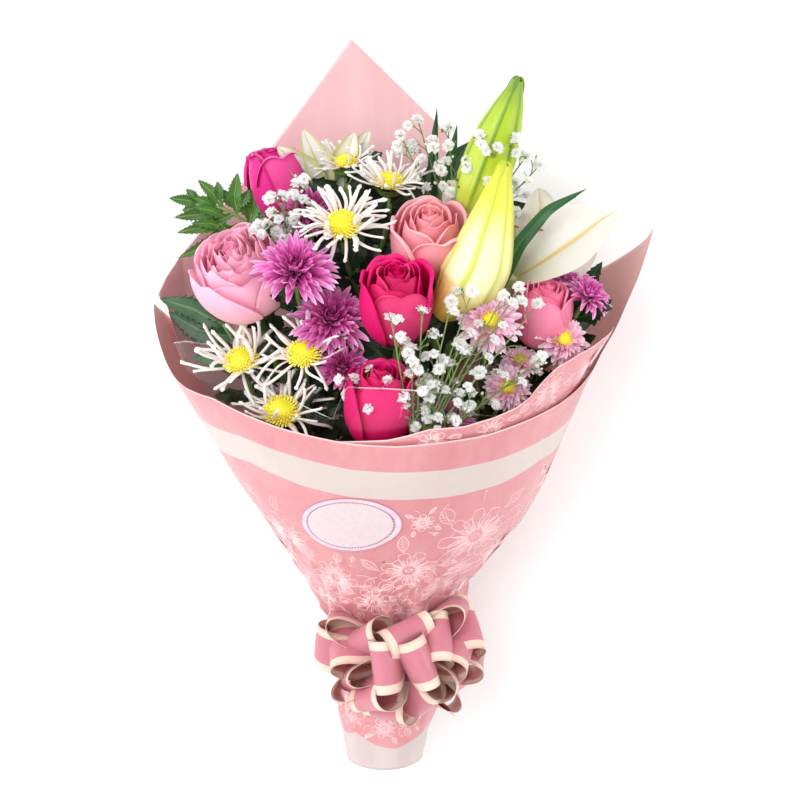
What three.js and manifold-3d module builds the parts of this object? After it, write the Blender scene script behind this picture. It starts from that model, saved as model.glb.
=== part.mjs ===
// Mixed flower bouquet, hand-tied and wrapped, lying on its back.
// Millimetres, +Z up, the stem end toward -Y and the heads toward +Y.
// Working axes of the bunch: x across, u along the axis from the stem end
// to the heads, v out of the front of the wrap.
import * as THREE from 'three';
import Module from 'manifold-3d';

const wasm = await Module();
wasm.setup();

// ---------------------------------------------------------------- dimensions
const TILT = THREE.MathUtils.degToRad(10);   // axis of the bunch above the table
const BASE_R = 29;                           // radius of the wrapped stem end
const FILM = 0.8;                            // modelled thickness of one sheet
const LAYER = 3.0;                           // step from one wrap layer to the next
const GAP = 0.3;                             // clearance kept between pieces
const BACK_RATIO = 0.85;                     // depth of the cone behind its axis / half width
const ROSE_STEM = 2.9, LILY_STEM = 3.6, SPRAY_STEM = 2.3, TWIG = 1.25;   // stem radii
const STEM_CUT_U = 6;                        // cut ends sit this far inside the wrap
const NECK_U = 92;                           // where the ribbon draws the wrap in
const TIE_HALF = 11.5;                       // half width of the ribbon round the neck
const RIBBON_W = 34, RIBBON_T = 0.9;         // bow ribbon
const LABEL_W = 68, LABEL_H = 45.4;            // blank oval label

const Z0 = BASE_R * Math.cos(TILT);
const CT = Math.cos(TILT), ST = Math.sin(TILT);
const DEG = Math.PI / 180;

// stations along the axis: left half width, right half width, front depth
const PROFILE = [
  [-2, 29, 29, 29], [16, 30.5, 31.5, 30.5], [37, 33.2, 35, 32.5], [60, 33, 34, 31.5],
  [80, 31.2, 32.6, 30], [92, 30.4, 32, 29.4], [104, 33, 38, 31], [120, 44, 55, 38], [138, 56, 61, 47],
  [165, 71, 82, 60], [190, 86, 101, 73.5], [225, 108, 118, 90], [261, 128, 132, 104],
  [290, 144, 143, 114], [312, 155.5, 153, 120], [333, 161.5, 165, 125], [350, 164, 172, 129],
  [370, 168, 180, 133], [386, 173, 185, 136], [405, 179, 190, 140], [430, 186, 196, 144]];

// piecewise monotone interpolation of one column of the table
function column(k) {
  const n = PROFILE.length, x = PROFILE.map(r => r[0]), y = PROFILE.map(r => r[k]);
  const d = [], m = new Array(n).fill(0);
  for (let i = 0; i < n - 1; i++) d.push((y[i + 1] - y[i]) / (x[i + 1] - x[i]));
  m[0] = d[0]; m[n - 1] = d[n - 2];
  for (let i = 1; i < n - 1; i++) {
    if (d[i - 1] * d[i] > 0) {
      const a = x[i + 1] - x[i], b = x[i] - x[i - 1];
      m[i] = 3 * (a + b) / ((2 * a + b) / d[i - 1] + (a + 2 * b) / d[i]);
    }
  }
  return u => {
    u = Math.min(Math.max(u, x[0]), x[n - 1]);
    let i = 0; while (i < n - 2 && u > x[i + 1]) i++;
    const h = x[i + 1] - x[i], t = (u - x[i]) / h, t2 = t * t, t3 = t2 * t;
    return (2 * t3 - 3 * t2 + 1) * y[i] + (t3 - 2 * t2 + t) * h * m[i]
      + (-2 * t3 + 3 * t2) * y[i + 1] + (t3 - t2) * h * m[i + 1];
  };
}
const WLEFT = column(1), WRIGHT = column(2), FRONT = column(3);
const smooth = (a, b, x) => { const t = Math.min(Math.max((x - a) / (b - a), 0), 1); return t * t * (3 - 2 * t); };
const table = (rows, x) => {
  if (x <= rows[0][0]) return rows[0][1];
  for (let i = 1; i < rows.length; i++)
    if (x <= rows[i][0]) return rows[i - 1][1] + (rows[i][1] - rows[i - 1][1]) * (x - rows[i - 1][0]) / (rows[i][0] - rows[i - 1][0]);
  return rows[rows.length - 1][1];
};

// Cone of the wrap: angle from the front in degrees, station u, offset outward.
// The back is pressed flat on the table.
function wrapPoint(deg, u, off) {
  const s = Math.sin(deg * DEG), c = Math.cos(deg * DEG);
  const W = s > 0 ? WRIGHT(u) : WLEFT(u), F = FRONT(u);
  let v;
  if (c >= 0) v = (F + off) * c;
  else {
    const k = smooth(82, 142, u);
    const B = (1 - k) * F + k * BACK_RATIO * 0.5 * (WLEFT(u) + WRIGHT(u));
    v = Math.max((B + off) * c, -(Z0 + u * ST) / CT - off);
  }
  return [(W + off) * s, u, v];
}
const toWorld = p => [p[0], p[1] * CT - p[2] * ST, Z0 + p[1] * ST + p[2] * CT];

// ---------------------------------------------------------------- solids
function solid(verts, tris) {
  const mk = t => new wasm.Manifold(new wasm.Mesh({ numProp: 3, vertProperties: new Float32Array(verts.flat()), triVerts: new Uint32Array(t.flat()) }));
  let m = mk(tris);
  if (m.volume() < 0) m = mk(tris.map(t => [t[0], t[2], t[1]]));
  return m;
}
// two-layer sheet over a grid of nc columns and nr rows; P(i, j, layer) is a point
function sheetSolid(nc, nr, P, closed = false) {
  const v = [], t = [], id = (i, j, l) => ((i % nc) * nr + j) * 2 + l;
  for (let i = 0; i < nc; i++) for (let j = 0; j < nr; j++) for (let l = 0; l < 2; l++) v.push(P(i, j, l));
  const quad = (a, b, c, d) => { t.push([a, b, c], [a, c, d]); };
  const last = closed ? nc : nc - 1;
  for (let i = 0; i < last; i++) for (let j = 0; j < nr - 1; j++) {
    quad(id(i, j, 0), id(i + 1, j, 0), id(i + 1, j + 1, 0), id(i, j + 1, 0));
    quad(id(i, j, 1), id(i, j + 1, 1), id(i + 1, j + 1, 1), id(i + 1, j, 1));
  }
  for (let i = 0; i < last; i++) {
    quad(id(i, 0, 0), id(i, 0, 1), id(i + 1, 0, 1), id(i + 1, 0, 0));
    quad(id(i, nr - 1, 0), id(i + 1, nr - 1, 0), id(i + 1, nr - 1, 1), id(i, nr - 1, 1));
  }
  if (!closed) for (let j = 0; j < nr - 1; j++) {
    quad(id(0, j, 0), id(0, j + 1, 0), id(0, j + 1, 1), id(0, j, 1));
    quad(id(nc - 1, j, 0), id(nc - 1, j, 1), id(nc - 1, j + 1, 1), id(nc - 1, j + 1, 0));
  }
  return solid(v, t);
}
const V = a => new THREE.Vector3(a[0], a[1], a[2]);
const A = v => [v.x, v.y, v.z];
function perp(d) {
  const r = Math.abs(d.y) < 0.9 ? new THREE.Vector3(0, 1, 0) : new THREE.Vector3(0, 0, 1);
  return r.cross(d).normalize();
}
// round bar through a list of points with a radius at each
function tube(pts, radii, sides = 6, g = 0) {
  const P = pts.map(V), v = [], t = [];
  let side = null;
  P.forEach((p, i) => {
    const d = P[Math.min(i + 1, P.length - 1)].clone().sub(P[Math.max(i - 1, 0)]).normalize();
    side = side ? side.sub(d.clone().multiplyScalar(side.dot(d))).normalize() : perp(d);
    const up = d.clone().cross(side), r = (Array.isArray(radii) ? radii[i] : radii) + g;
    const q = p.clone();
    if (i === 0) q.addScaledVector(d, -g); else if (i === P.length - 1) q.addScaledVector(d, g);
    for (let k = 0; k < sides; k++) {
      const a = 2 * Math.PI * k / sides;
      v.push(A(q.clone().addScaledVector(side, r * Math.cos(a)).addScaledVector(up, r * Math.sin(a))));
    }
  });
  const n = P.length;
  for (let i = 0; i < n - 1; i++) for (let k = 0; k < sides; k++) {
    const a = i * sides + k, b = i * sides + (k + 1) % sides;
    t.push([a, b, b + sides], [a, b + sides, a + sides]);
  }
  for (let k = 1; k < sides - 1; k++) { t.push([0, k + 1, k]); t.push([(n - 1) * sides, (n - 1) * sides + k, (n - 1) * sides + k + 1]); }
  return solid(v, t);
}
// body of revolution about an axis with a scalloped rim:
// rows of [height, radius, scallop]; first and last rows close on the axis
function bloomSolid(centre, axis, rows, segs, g = 0) {
  const n = V(axis).normalize(), a = perp(n), b = n.clone().cross(a), c = V(centre);
  const v = [], t = [];
  rows.forEach(([h, r, s]) => {
    const hh = h + (h < 0 ? -g : g);
    for (let k = 0; k < segs; k++) {
      const w = 2 * Math.PI * k / segs, rr = (r + g) * (k % 2 ? 1 - s : 1);
      v.push(A(c.clone().addScaledVector(n, hh).addScaledVector(a, rr * Math.cos(w)).addScaledVector(b, rr * Math.sin(w))));
    }
  });
  for (let j = 0; j < rows.length - 1; j++) for (let k = 0; k < segs; k++) {
    const p = j * segs + k, q = j * segs + (k + 1) % segs;
    t.push([p, q, q + segs], [p, q + segs, p + segs]);
  }
  const m = (rows.length - 1) * segs;
  for (let k = 1; k < segs - 1; k++) { t.push([0, k + 1, k]); t.push([m, m + k, m + k + 1]); }
  return solid(v, t);
}
// leaf or petal: a thin blade along a spine, folded a little along the midrib
function blade(spine, widths, face, thick = 0.9, fold = 0.15, g = 0) {
  const P = spine.map(V), N0 = V(face).normalize(), v = [], t = [];
  P.forEach((p, i) => {
    const d = P[Math.min(i + 1, P.length - 1)].clone().sub(P[Math.max(i - 1, 0)]).normalize();
    const s = d.clone().cross(N0).normalize(), n = s.clone().cross(d).normalize();
    const w = widths[i] / 2 + g, h = thick / 2 + g;
    for (const [x, y] of [[-w, fold * w], [0, 0], [w, fold * w]])
      for (const l of [-1, 1]) v.push(A(p.clone().addScaledVector(s, x).addScaledVector(n, y + l * h)));
  });
  const id = (i, j, l) => i * 6 + j * 2 + l, quad = (a, b, c, d) => t.push([a, b, c], [a, c, d]);
  for (let i = 0; i < P.length - 1; i++) {
    for (let j = 0; j < 2; j++) {
      quad(id(i, j, 1), id(i, j + 1, 1), id(i + 1, j + 1, 1), id(i + 1, j, 1));
      quad(id(i, j, 0), id(i + 1, j, 0), id(i + 1, j + 1, 0), id(i, j + 1, 0));
    }
    quad(id(i, 0, 0), id(i, 0, 1), id(i + 1, 0, 1), id(i + 1, 0, 0));
    quad(id(i, 2, 0), id(i + 1, 2, 0), id(i + 1, 2, 1), id(i, 2, 1));
  }
  const e = P.length - 1;
  for (let j = 0; j < 2; j++) {
    quad(id(0, j, 0), id(0, j + 1, 0), id(0, j + 1, 1), id(0, j, 1));
    quad(id(e, j, 0), id(e, j, 1), id(e, j + 1, 1), id(e, j + 1, 0));
  }
  return solid(v, t);
}
// closed pockets left inside a body where thin pieces cross are filled
function filled(m) {
  const q = m.getMesh(), n = q.vertProperties.length / q.numProp, up = Array.from({ length: n }, (_, i) => i);
  const find = i => { while (up[i] !== i) { up[i] = up[up[i]]; i = up[i]; } return i; };
  for (let i = 0; i < q.triVerts.length; i += 3) for (const k of [1, 2]) up[find(q.triVerts[i + k])] = find(q.triVerts[i]);
  const at = i => [q.vertProperties[i * q.numProp], q.vertProperties[i * q.numProp + 1], q.vertProperties[i * q.numProp + 2]];
  const vol = new Map(), tri = new Map();
  for (let i = 0; i < q.triVerts.length; i += 3) {
    const t = [...q.triVerts.slice(i, i + 3)], [a, b, c] = t.map(at), r = find(t[0]);
    vol.set(r, (vol.get(r) ?? 0) + (a[0] * (b[1] * c[2] - b[2] * c[1]) - a[1] * (b[0] * c[2] - b[2] * c[0]) + a[2] * (b[0] * c[1] - b[1] * c[0])) / 6);
    (tri.get(r) ?? tri.set(r, []).get(r)).push(t);
  }
  if (vol.size === 1) return m;
  const keep = [...vol].sort((a, b) => b[1] - a[1])[0][0], map = new Map(), v = [], t = [];
  for (const f of tri.get(keep)) t.push(f.map(i => { if (!map.has(i)) { map.set(i, v.length); v.push(at(i)); } return map.get(i); }));
  return solid(v, t);
}
const union = list => list.length === 1 ? list[0] : wasm.Manifold.union(list);
const bezier = (a, b, c, d, n) => {
  const out = [];
  for (let i = 0; i <= n; i++) {
    const t = i / n, s = 1 - t;
    out.push([0, 1, 2].map(k => s * s * s * a[k] + 3 * s * s * t * b[k] + 3 * s * t * t * c[k] + t * t * t * d[k]));
  }
  return out;
};
const add = (a, b, s = 1) => [a[0] + b[0] * s, a[1] + b[1] * s, a[2] + b[2] * s];
const sub = (a, b) => add(a, b, -1);
const len = a => Math.hypot(a[0], a[1], a[2]);
const unit = a => { const l = len(a); return [a[0] / l, a[1] / l, a[2] / l]; };

// ---------------------------------------------------------------- flowers
// name, kind, centre [x, u, v], facing, diameter, height
const BLOOMS = [
  ['rose_palepink', 'rose', [-99.1, 377.3, 20.0], [-0.281, 0.888, 0.365], 70, 62],
  ['rose_magenta', 'rose', [-75.6, 422.4, -50.0], [-0.151, 0.976, -0.158], 45, 56],
  ['rose_salmon', 'rose', [31.7, 398.5, 8.0], [0.0, 0.988, 0.153], 54, 60],
  ['rose_hotpink', 'rose', [9.6, 366.1, 52.0], [0.0, 0.988, 0.153], 52, 64],
  ['rose_hotpink_low', 'rose', [-2.0, 298.2, 72.0], [0.05, 0.997, -0.062], 50, 62],
  ['rose_pink_right', 'rose', [111.0, 347.7, 22.0], [0.152, 0.988, -0.002], 42, 52],
  ['mum_purple_top', 'mum', [-59.2, 393.1, 56.0], [0.0, 0.937, 0.35], 54, 26],
  ['mum_purple_mid', 'mum', [-35.5, 354.9, 50.0], [0.104, 0.796, 0.596], 52, 26],
  ['mum_purple_low', 'mum', [-27.1, 325.6, 66.0], [0.101, 0.821, 0.563], 34, 20],
  ['mum_purple_right', 'mum', [131.2, 370.2, 4.0], [0.352, 0.925, -0.142], 38, 20],
  ['mum_purple_right_low', 'mum', [144.5, 364.1, 24.0], [0.512, 0.859, -0.01], 34, 18],
  ['mum_purple_back', 'mum', [-51.2, 417.5, -8.0], [0.0, 0.97, 0.242], 42, 22],
  ['mum_purple_rim', 'mum', [42.9, 290.2, 76.0], [0.0, 0.976, 0.216], 38, 22],
  ['daisy_pink_mid', 'daisy', [72.8, 352.4, 56.0], [0.0, 0.669, 0.744], 45, 20],
  ['daisy_pink_right', 'daisy', [125.3, 334.2, 40.0], [0.458, 0.548, 0.7], 40, 20],
  ['daisy_pink_low', 'daisy', [85.5, 306.5, 62.0], [0.102, 0.583, 0.806], 34, 18],
  ['daisy_pink_small', 'daisy', [94.3, 321.7, 44.0], [0.0, 0.976, 0.216], 28, 16],
  ['spider_top', 'spider', [-28.0, 416.8, 28.0], [0.0, 0.963, 0.268], 60, 26],
  ['spider_peak', 'spider', [4.6, 434.3, -22.0], [0.0, 0.965, -0.261], 54, 26],
  ['spider_left', 'spider', [-98.8, 323.3, 42.0], [-0.203, 0.978, 0.056], 62, 26],
  ['spider_centre', 'spider', [-54.6, 333.2, 56.0], [-0.099, 0.984, 0.148], 54, 26],
  ['spider_low', 'spider', [-69.8, 294.8, 66.0], [-0.101, 0.971, 0.215], 56, 26],
  ['spider_back', 'spider', [-27.5, 441.7, -48.0], [-0.05, 0.95, -0.309], 50, 26]];

// profiles: height as a share of h, radius as a share of R, scallop of the rim
const SHAPES = {
  rose: { segs: 10, rows: [[-0.5, 0.12, 0], [-0.44, 0.3, 0], [-0.2, 0.82, 0], [0.1, 1, 0.04], [0.36, 0.88, 0.06], [0.5, 0.55, 0], [0.46, 0.2, 0]] },
  mum: { segs: 12, rows: [[-0.5, 0.16, 0], [-0.3, 0.62, 0.05], [-0.05, 1, 0.14], [0.22, 0.86, 0.12], [0.45, 0.45, 0], [0.5, 0.15, 0]] },
  daisy: { segs: 12, rows: [[-0.5, 0.16, 0], [-0.2, 0.66, 0.05], [0.05, 1, 0.16], [0.3, 0.8, 0.12], [0.5, 0.35, 0], [0.48, 0.12, 0]] },
  spider: { segs: 12, rows: [[-0.5, 0.14, 0], [-0.25, 0.55, 0.1], [0.1, 1, 0.38], [0.32, 0.72, 0.25], [0.5, 0.26, 0], [0.48, 0.1, 0]] }
};
const bloomByName = Object.fromEntries(BLOOMS.map(b => [b[0], b]));
// point under a bloom where its stem ends
const footOf = b => add(b[2], unit(b[3]), -b[5] * 0.5 - GAP - 0.1);

// stems in the neck: name, slot [x, v] at the ribbon, radius, what it carries
const STEMS = [
  ['stem_rose_palepink', [-17, 3], ROSE_STEM, ['rose_palepink']],
  ['stem_rose_magenta', [-9, -14], ROSE_STEM, ['rose_magenta']],
  ['stem_rose_salmon', [4, 0], ROSE_STEM, ['rose_salmon']],
  ['stem_rose_hotpink', [1, 9], ROSE_STEM, ['rose_hotpink']],
  ['stem_rose_hotpink_low', [0, 18], ROSE_STEM, ['rose_hotpink_low']],
  ['stem_rose_pink_right', [18, 2], ROSE_STEM, ['rose_pink_right']],
  ['stem_mum_purple_left', [-8, 6], SPRAY_STEM, ['mum_purple_top', 'mum_purple_mid', 'mum_purple_low', 'mum_purple_back'], [-38, 262, 18]],
  ['stem_mum_purple_right', [22, -5], SPRAY_STEM, ['mum_purple_right', 'mum_purple_right_low'], [96, 262, -2]],
  ['stem_mum_purple_rim', [8, 16], SPRAY_STEM, ['mum_purple_rim']],
  ['stem_daisy', [15, 10], SPRAY_STEM, ['daisy_pink_mid', 'daisy_pink_right', 'daisy_pink_low', 'daisy_pink_small'], [60, 230, 44]],
  ['stem_spider_upper', [-3, -8], SPRAY_STEM, ['spider_top', 'spider_peak', 'spider_back'], [-14, 330, -22]],
  ['stem_spider_lower', [-14, 12], SPRAY_STEM, ['spider_left', 'spider_centre', 'spider_low'], [-54, 225, 32]]];

const LILY_SLOTS = { low: [9, -8], high: [3, -17] };

const items = [];
const put = (name, build) => items.push({ name, body: build(0), cutter: build(GAP * 1.7) });

// path of one stem: cut end, neck slot, then a bend to the target
function stemPath(slot, target, dir, n = 6) {
  const a = [slot[0] * 0.95, STEM_CUT_U, slot[1] * 0.95], b = [slot[0], NECK_U - 10, slot[1]];
  const L = len(sub(target, b)), d = unit(sub(target, b));
  const c1 = add(b, unit(add([0, 1, 0], d, 1.6)), L * 0.3), c2 = add(target, unit(dir), -L * 0.22);
  return [a, ...bezier(b, c1, c2, target, n)];
}
function branchPath(from, target, dir, n = 4, bulge = 0) {
  const L = len(sub(target, from));
  const c1 = add(add(from, unit(add(unit(sub(target, from)), [0, 0.6, 0])), L * 0.3), [0, 0, bulge]);
  return bezier(from, c1, add(target, unit(dir), -L * 0.3), target, n);
}
for (const [name, slot, r, heads, fork] of STEMS) put(name, g => {
  if (!fork) {
    const b = bloomByName[heads[0]];
    return tube(stemPath(slot, footOf(b), b[3]), r, 6, g);
  }
  const mid = heads.map(h => footOf(bloomByName[h])).reduce((s, p) => add(s, p, 1 / heads.length), [0, 0, 0]);
  const list = [tube(stemPath(slot, fork, sub(mid, fork), 4), r, 6, g)];
  for (const h of heads) { const b = bloomByName[h]; list.push(tube(branchPath(fork, footOf(b), b[3]), r * 0.72, 5, g)); }
  return union(list);
});

// lilies: two tall buds, one open flower, one half open at the back
const BUD_FRONT = [[36.9, 352.1, 45], [45.1, 359.9, 45], [56.7, 371.7, 44], [65.4, 387.6, 43], [70, 405, 42.5], [74.5, 422.2, 42], [78.4, 439.2, 40.5], [82, 455.2, 38.5]];
const BUD_BACK = [[57, 408, -4], [61, 419, -2], [67, 434, 2], [74, 455, 6], [80, 474, 9], [86, 491, 10.5], [91.6, 507.7, 10]];
const BUD_R = [7, 14.5, 22.5, 22.2, 18.6, 14.2, 9.4, 4], BUD_BACK_R = [6, 13, 18.5, 18.5, 15, 9.5, 2.6];
const LILY_OPEN_FOOT = [86, 352, 2], LILY_BACK_FOOT = [-38, 400, -46];
const forkLow = [44, 290, 0], forkHigh = [4, 300, -34];
put('stem_lily_front', g => union([
  tube(stemPath(LILY_SLOTS.low, forkLow, [0.1, 1, 0.05], 4), LILY_STEM, 6, g),
  tube(branchPath(forkLow, [34.6, 346.6, 44.2], [0.1, 0.9, 0.2]), LILY_STEM * 0.75, 6, g),
  tube(branchPath(forkLow, [85.6, 351.2, 2], [0.2, 0.95, 0]), LILY_STEM * 0.75, 6, g),
  tube(branchPath(forkLow, [55, 402.6, -5.4], [0.3, 0.93, 0.1]), LILY_STEM * 0.75, 6, g)]));
put('stem_lily_back', g => tube([...stemPath(LILY_SLOTS.high, forkHigh, [-0.1, 1, -0.1], 4), [-18, 350, -42], [-37.6, 399.2, -46]], LILY_STEM * 0.85, 6, g));
put('lily_bud_front', g => tube(BUD_FRONT, BUD_R, 10, g));
put('lily_bud_back', g => tube(BUD_BACK, BUD_BACK_R, 10, g));
const petalSet = (foot, tubeTop, list) => g => union([
  tube([foot, add(foot, sub(tubeTop, foot), 0.5), tubeTop], [4.5, 7, 10], 8, g),
  ...list.map(([s, w, f]) => blade(s, w, f, 1.1, 0.12, g))]);
put('lily_open', petalSet(LILY_OPEN_FOOT, [89, 374, 4], [
  [[[89, 368, 6], [103, 385, 16], [122, 398, 23], [141, 407, 19], [161, 414, 5]], [14, 27, 32, 24, 3], [0, 0.35, 1]],
  [[[90, 370, 2], [104, 392, 2], [113, 410, -2], [109, 428, -9]], [14, 22, 20, 3], [-0.2, 0.5, 1]],
  [[[86, 368, 0], [70, 390, -8], [56, 412, -14], [42, 436, -18]], [14, 24, 27, 3], [0.1, 0.4, 1]],
  [[[91, 368, -3], [116, 388, -12], [138, 402, -18], [153, 413, -24]], [14, 24, 22, 3], [0, 0.5, 1]],
  [[[92, 366, 4], [112, 374, 8], [131, 380, 6], [148, 388, -2]], [12, 24, 20, 3], [-0.2, 0.5, 1]]]));
put('lily_back', petalSet(LILY_BACK_FOOT, [-40, 420, -47], [
  [[[-42, 416, -46], [-54, 430, -42], [-64, 441, -40], [-73, 449, -40]], [12, 18, 14, 3], [0.3, 0.4, 1]],
  [[[-41, 418, -47], [-48, 434, -45], [-53, 447, -45], [-57, 459, -46]], [12, 17, 13, 3], [0.1, 0.2, 1]],
  [[[-38, 416, -48], [-30, 432, -52], [-24, 444, -55], [-20, 455, -57]], [12, 18, 14, 3], [-0.1, 0.3, 1]],
  [[[-37, 414, -50], [-26, 430, -58], [-17, 444, -62], [-10, 458, -63]], [12, 18, 14, 3], [-0.3, 0.3, 1]]]));

for (const [name, kind, c, n, dia, h] of BLOOMS) put(name, g => {
  const S = SHAPES[kind];
  return bloomSolid(c, n, S.rows.map(([a, r, s]) => [a * h, r * dia / 2, s]), S.segs, g);
});

// gypsophila: airy sprays, a few florets on each
const GYP = {
  gypsophila_top: { slot: [14, -14], fork: [52, 372, -22], tips: [[12, 464, -20], [24, 474, -26], [45, 470, -18], [66, 472, 20], [78, 465, 28], [90, 470, 20], [108, 448, 4]] },
  gypsophila_left: { slot: [-20, -6], fork: [-66, 372, 4], tips: [[-69, 428, 10], [-59, 434, 0], [-77, 417, 14], [-85, 408, 18]] },
  gypsophila_right: { slot: [9, 22], fork: [22, 258, 88], bulge: 8, tips: [[5.6, 361.7, 86], [-18.6, 320.4, 88], [18.3, 342, 90], [26.3, 366.6, 84], [55.3, 338.4, 80], [58.7, 302, 90], [35, 317.4, 92], [81.2, 371.8, 66], [105.4, 327, 68]] }
};
for (const [name, { slot, fork, tips, bulge = 0 }] of Object.entries(GYP)) put(name, g => {
  const list = [tube(stemPath(slot, fork, [fork[0] * 0.002, 1, 0], 4), TWIG * 1.1, 5, g)];
  for (const p of tips) {
    list.push(tube(branchPath(fork, p, add(sub(p, fork), [0, 0, -bulge * 1.5]), bulge ? 3 : 2, bulge), TWIG * 0.75, 4, g));
    list.push(bloomSolid(p, [0.2, 1, 0.1], [[-4.6, 2.2, 0], [0, 5.6, 0], [4.6, 2.2, 0]], 5, g));
  }
  return union(list);
});

// foliage
const leafy = (slot, path, leaves, r = 1.5) => g => union([
  tube([...stemPath(slot, path[0], path[1] ? sub(path[1], path[0]) : [0, 1, 0], 3), ...path.slice(1)], r, 5, g),
  ...leaves.map(([s, w, f]) => blade(s, w, f, 1, 0.12, g))]);
put('fern_upper_left', leafy([-12, -18], [[-66, 330, -44], [-92, 392, -38], [-112, 408, -36], [-134, 410, -38]], [
  [[[-128, 410, -37], [-138, 413, -38], [-150, 414.5, -38]], [5, 8, 1.6], [0, 0.3, 1]],
  [[[-112, 408, -36], [-128, 404, -35], [-146.5, 402, -34]], [5, 9, 1.6], [0, 0.3, 1]],
  [[[-106, 404, -36], [-124, 396, -33], [-144.5, 392, -30]], [5, 9, 1.6], [0, 0.3, 1]],
  [[[-100, 397, -37], [-122, 384, -31], [-144, 375, -26]], [5, 10, 1.6], [0, 0.3, 1]],
  [[[-104, 404, -36.5], [-106, 416, -38], [-104, 430, -40]], [5, 10, 1.6], [0, 0.3, 1]],
  [[[-114, 409, -36], [-122, 419, -38], [-130, 426, -40]], [5, 8, 1.6], [0, 0.3, 1]],
  [[[-96, 394, -38], [-92, 412, -39], [-88, 426, -40]], [5, 11, 1.6], [0, 0.3, 1]]]));
put('leaf_lower_left', leafy([-22, 1], [[-92, 300, 8], [-112, 336, 12]], [
  [[[-110, 334, 12], [-134, 345, 4], [-158, 350, -5]], [6, 17, 2], [0.1, 0.3, 1]],
  [[[-104, 326, 12], [-130, 330, 6], [-152, 340, -4]], [6, 20, 2], [0.1, 0.1, 1]],
  [[[-100, 318, 11], [-118, 312, 14], [-134, 312, 12]], [6, 20, 2], [0, 0.2, 1]]]));
put('leaf_right', leafy([22, -12], [[108, 300, -18], [128, 340, -14]], [
  [[[126, 336, -14], [142, 356, -10], [154, 376, -8]], [6, 17, 2], [-0.1, 0.3, 1]],
  [[[124, 330, -14], [146, 338, -6], [161, 350, -2]], [6, 18, 2], [-0.1, 0.2, 1]],
  [[[118, 320, -16], [138, 318, -4], [150, 326, 6]], [6, 17, 2], [-0.1, 0.2, 1]]]));
put('lily_leaves', leafy([-2, -22], [[20, 340, -38], [34, 396, -30]], [
  [[[33, 392, -30], [33, 430, -27], [35, 458, -25], [37.3, 482.5, -22]], [5, 9, 7, 1.6], [0.6, 0, 1]],
  [[[34, 392, -31], [42, 424, -35], [48, 448, -36], [51.6, 468, -36]], [5, 11, 9, 1.6], [0.5, 0.2, 1]],
  [[[24, 352, -37], [64, 384, -32], [106, 406, -26], [136, 418, -28]], [5, 14, 12, 1.6], [0, 0.4, 1]]], 1.8));
put('lily_leaf_right', leafy([14, 2], [[70, 320, 22], [84, 372, 26]], [
  [[[82, 366, 26], [96, 398, 27], [114, 420, 26], [138, 432, 18]], [5, 11, 10, 1.6], [0, 0.5, 1]]], 1.6));
// broad filler leaves packed between and behind the heads
put('filler_leaves_back', leafy([4, -25], [[-10, 310, -62], [-6, 372, -72]], [
  [[[-6, 366, -72], [-30, 392, -74], [-62, 412, -76], [-96, 424, -78]], [8, 30, 28, 2], [0, 0.2, 1]],
  [[[-6, 370, -73], [-12, 402, -76], [-16, 432, -80], [-14, 458, -84]], [8, 30, 28, 2], [0.2, 0.2, 1]],
  [[[-5, 370, -73], [22, 398, -74], [44, 422, -78], [62, 446, -84]], [8, 30, 28, 2], [0, 0.2, 1]],
  [[[-6, 364, -71], [36, 384, -66], [78, 396, -66], [116, 400, -72]], [8, 30, 28, 2], [0, 0.2, 1]],
  [[[-10, 352, -69], [-50, 368, -66], [-88, 374, -68], [-120, 372, -72]], [8, 28, 26, 2], [0, 0.2, 1]]], 2));
put('filler_leaves_front', leafy([-4, 21], [[-22, 240, 56]], [
  [[[-22, 238, 56], [-20, 262, 74], [-16, 284, 86], [-14, 304, 92]], [6, 24, 24, 2], [0, -0.4, 1]],
  [[[-22, 238, 56], [-48, 262, 70], [-70, 276, 78], [-88, 290, 80]], [6, 24, 20, 2], [-0.2, -0.4, 1]],
  [[[-20, 238, 56], [14, 262, 76], [42, 276, 86], [66, 288, 84]], [6, 24, 24, 2], [0.1, -0.4, 1]]], 1.8));

// ---------------------------------------------------------------- wrap layers
// rim of each layer: angle from the front in degrees, station u
const RIM_OUTER = [[-180, 262], [-150, 265], [-130, 282], [-115, 306], [-102, 333], [-93, 346], [-89, 334], [-84, 314], [-76, 303],
  [-65, 301], [-50, 302], [-41, 296], [-29, 289], [-14, 283], [-8, 281], [4, 279.5], [16, 281], [30, 283], [45, 289], [57, 294],
  [66, 299], [76, 306], [84, 314], [87.5, 334], [90.5, 403], [95, 392], [102, 380], [110, 366], [118, 352], [130, 325], [145, 290], [160, 268], [180, 262]];
const OUTER_COLS = [-180, -160, -145, -130, -115, -108.5, -102, -93, -88, -84, -76, -63, -50, -38, -26, -14, -4, 6, 16, 28, 40, 52, 64, 75, 84, 87.5, 90.5, 96, 103, 111, 120, 132, 146, 163];
const OUTER_ROWS = [0, 18, 40, 66, 80, 92, 104, 121, 142, 180, 235];
const film = (cols, rows, rim, o, closed, low) => g => sheetSolid(cols.length, rows.length + 2, (i, j, l) => {
  const top = table(rim, cols[i]) + g, n = rows.length, last = Math.min(rows[n - 1], top - 8);
  let u = j < n ? Math.min(rows[j], last - (n - 1 - j)) : j === n ? (last + top) / 2 : top;
  if (j === 0) u = (low ?? rows[0]) - g;
  return wrapPoint(cols[i], u, l ? -o - FILM - g : -o + g);
}, closed);
put('wrap_outer', film(OUTER_COLS, OUTER_ROWS, RIM_OUTER, 0, true));
const RIM_PRINT = [[-60, 296], [-50, 298], [-41, 293], [-29, 286], [-14, 281], [-8.4, 282], [1.5, 283.5], [7.4, 287], [10, 289], [13, 291], [23, 291], [27, 293], [32, 295], [39, 300], [42.4, 305], [45, 316], [48, 325], [56, 331], [68, 335], [80, 336], [90, 334], [98, 330]];
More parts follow.
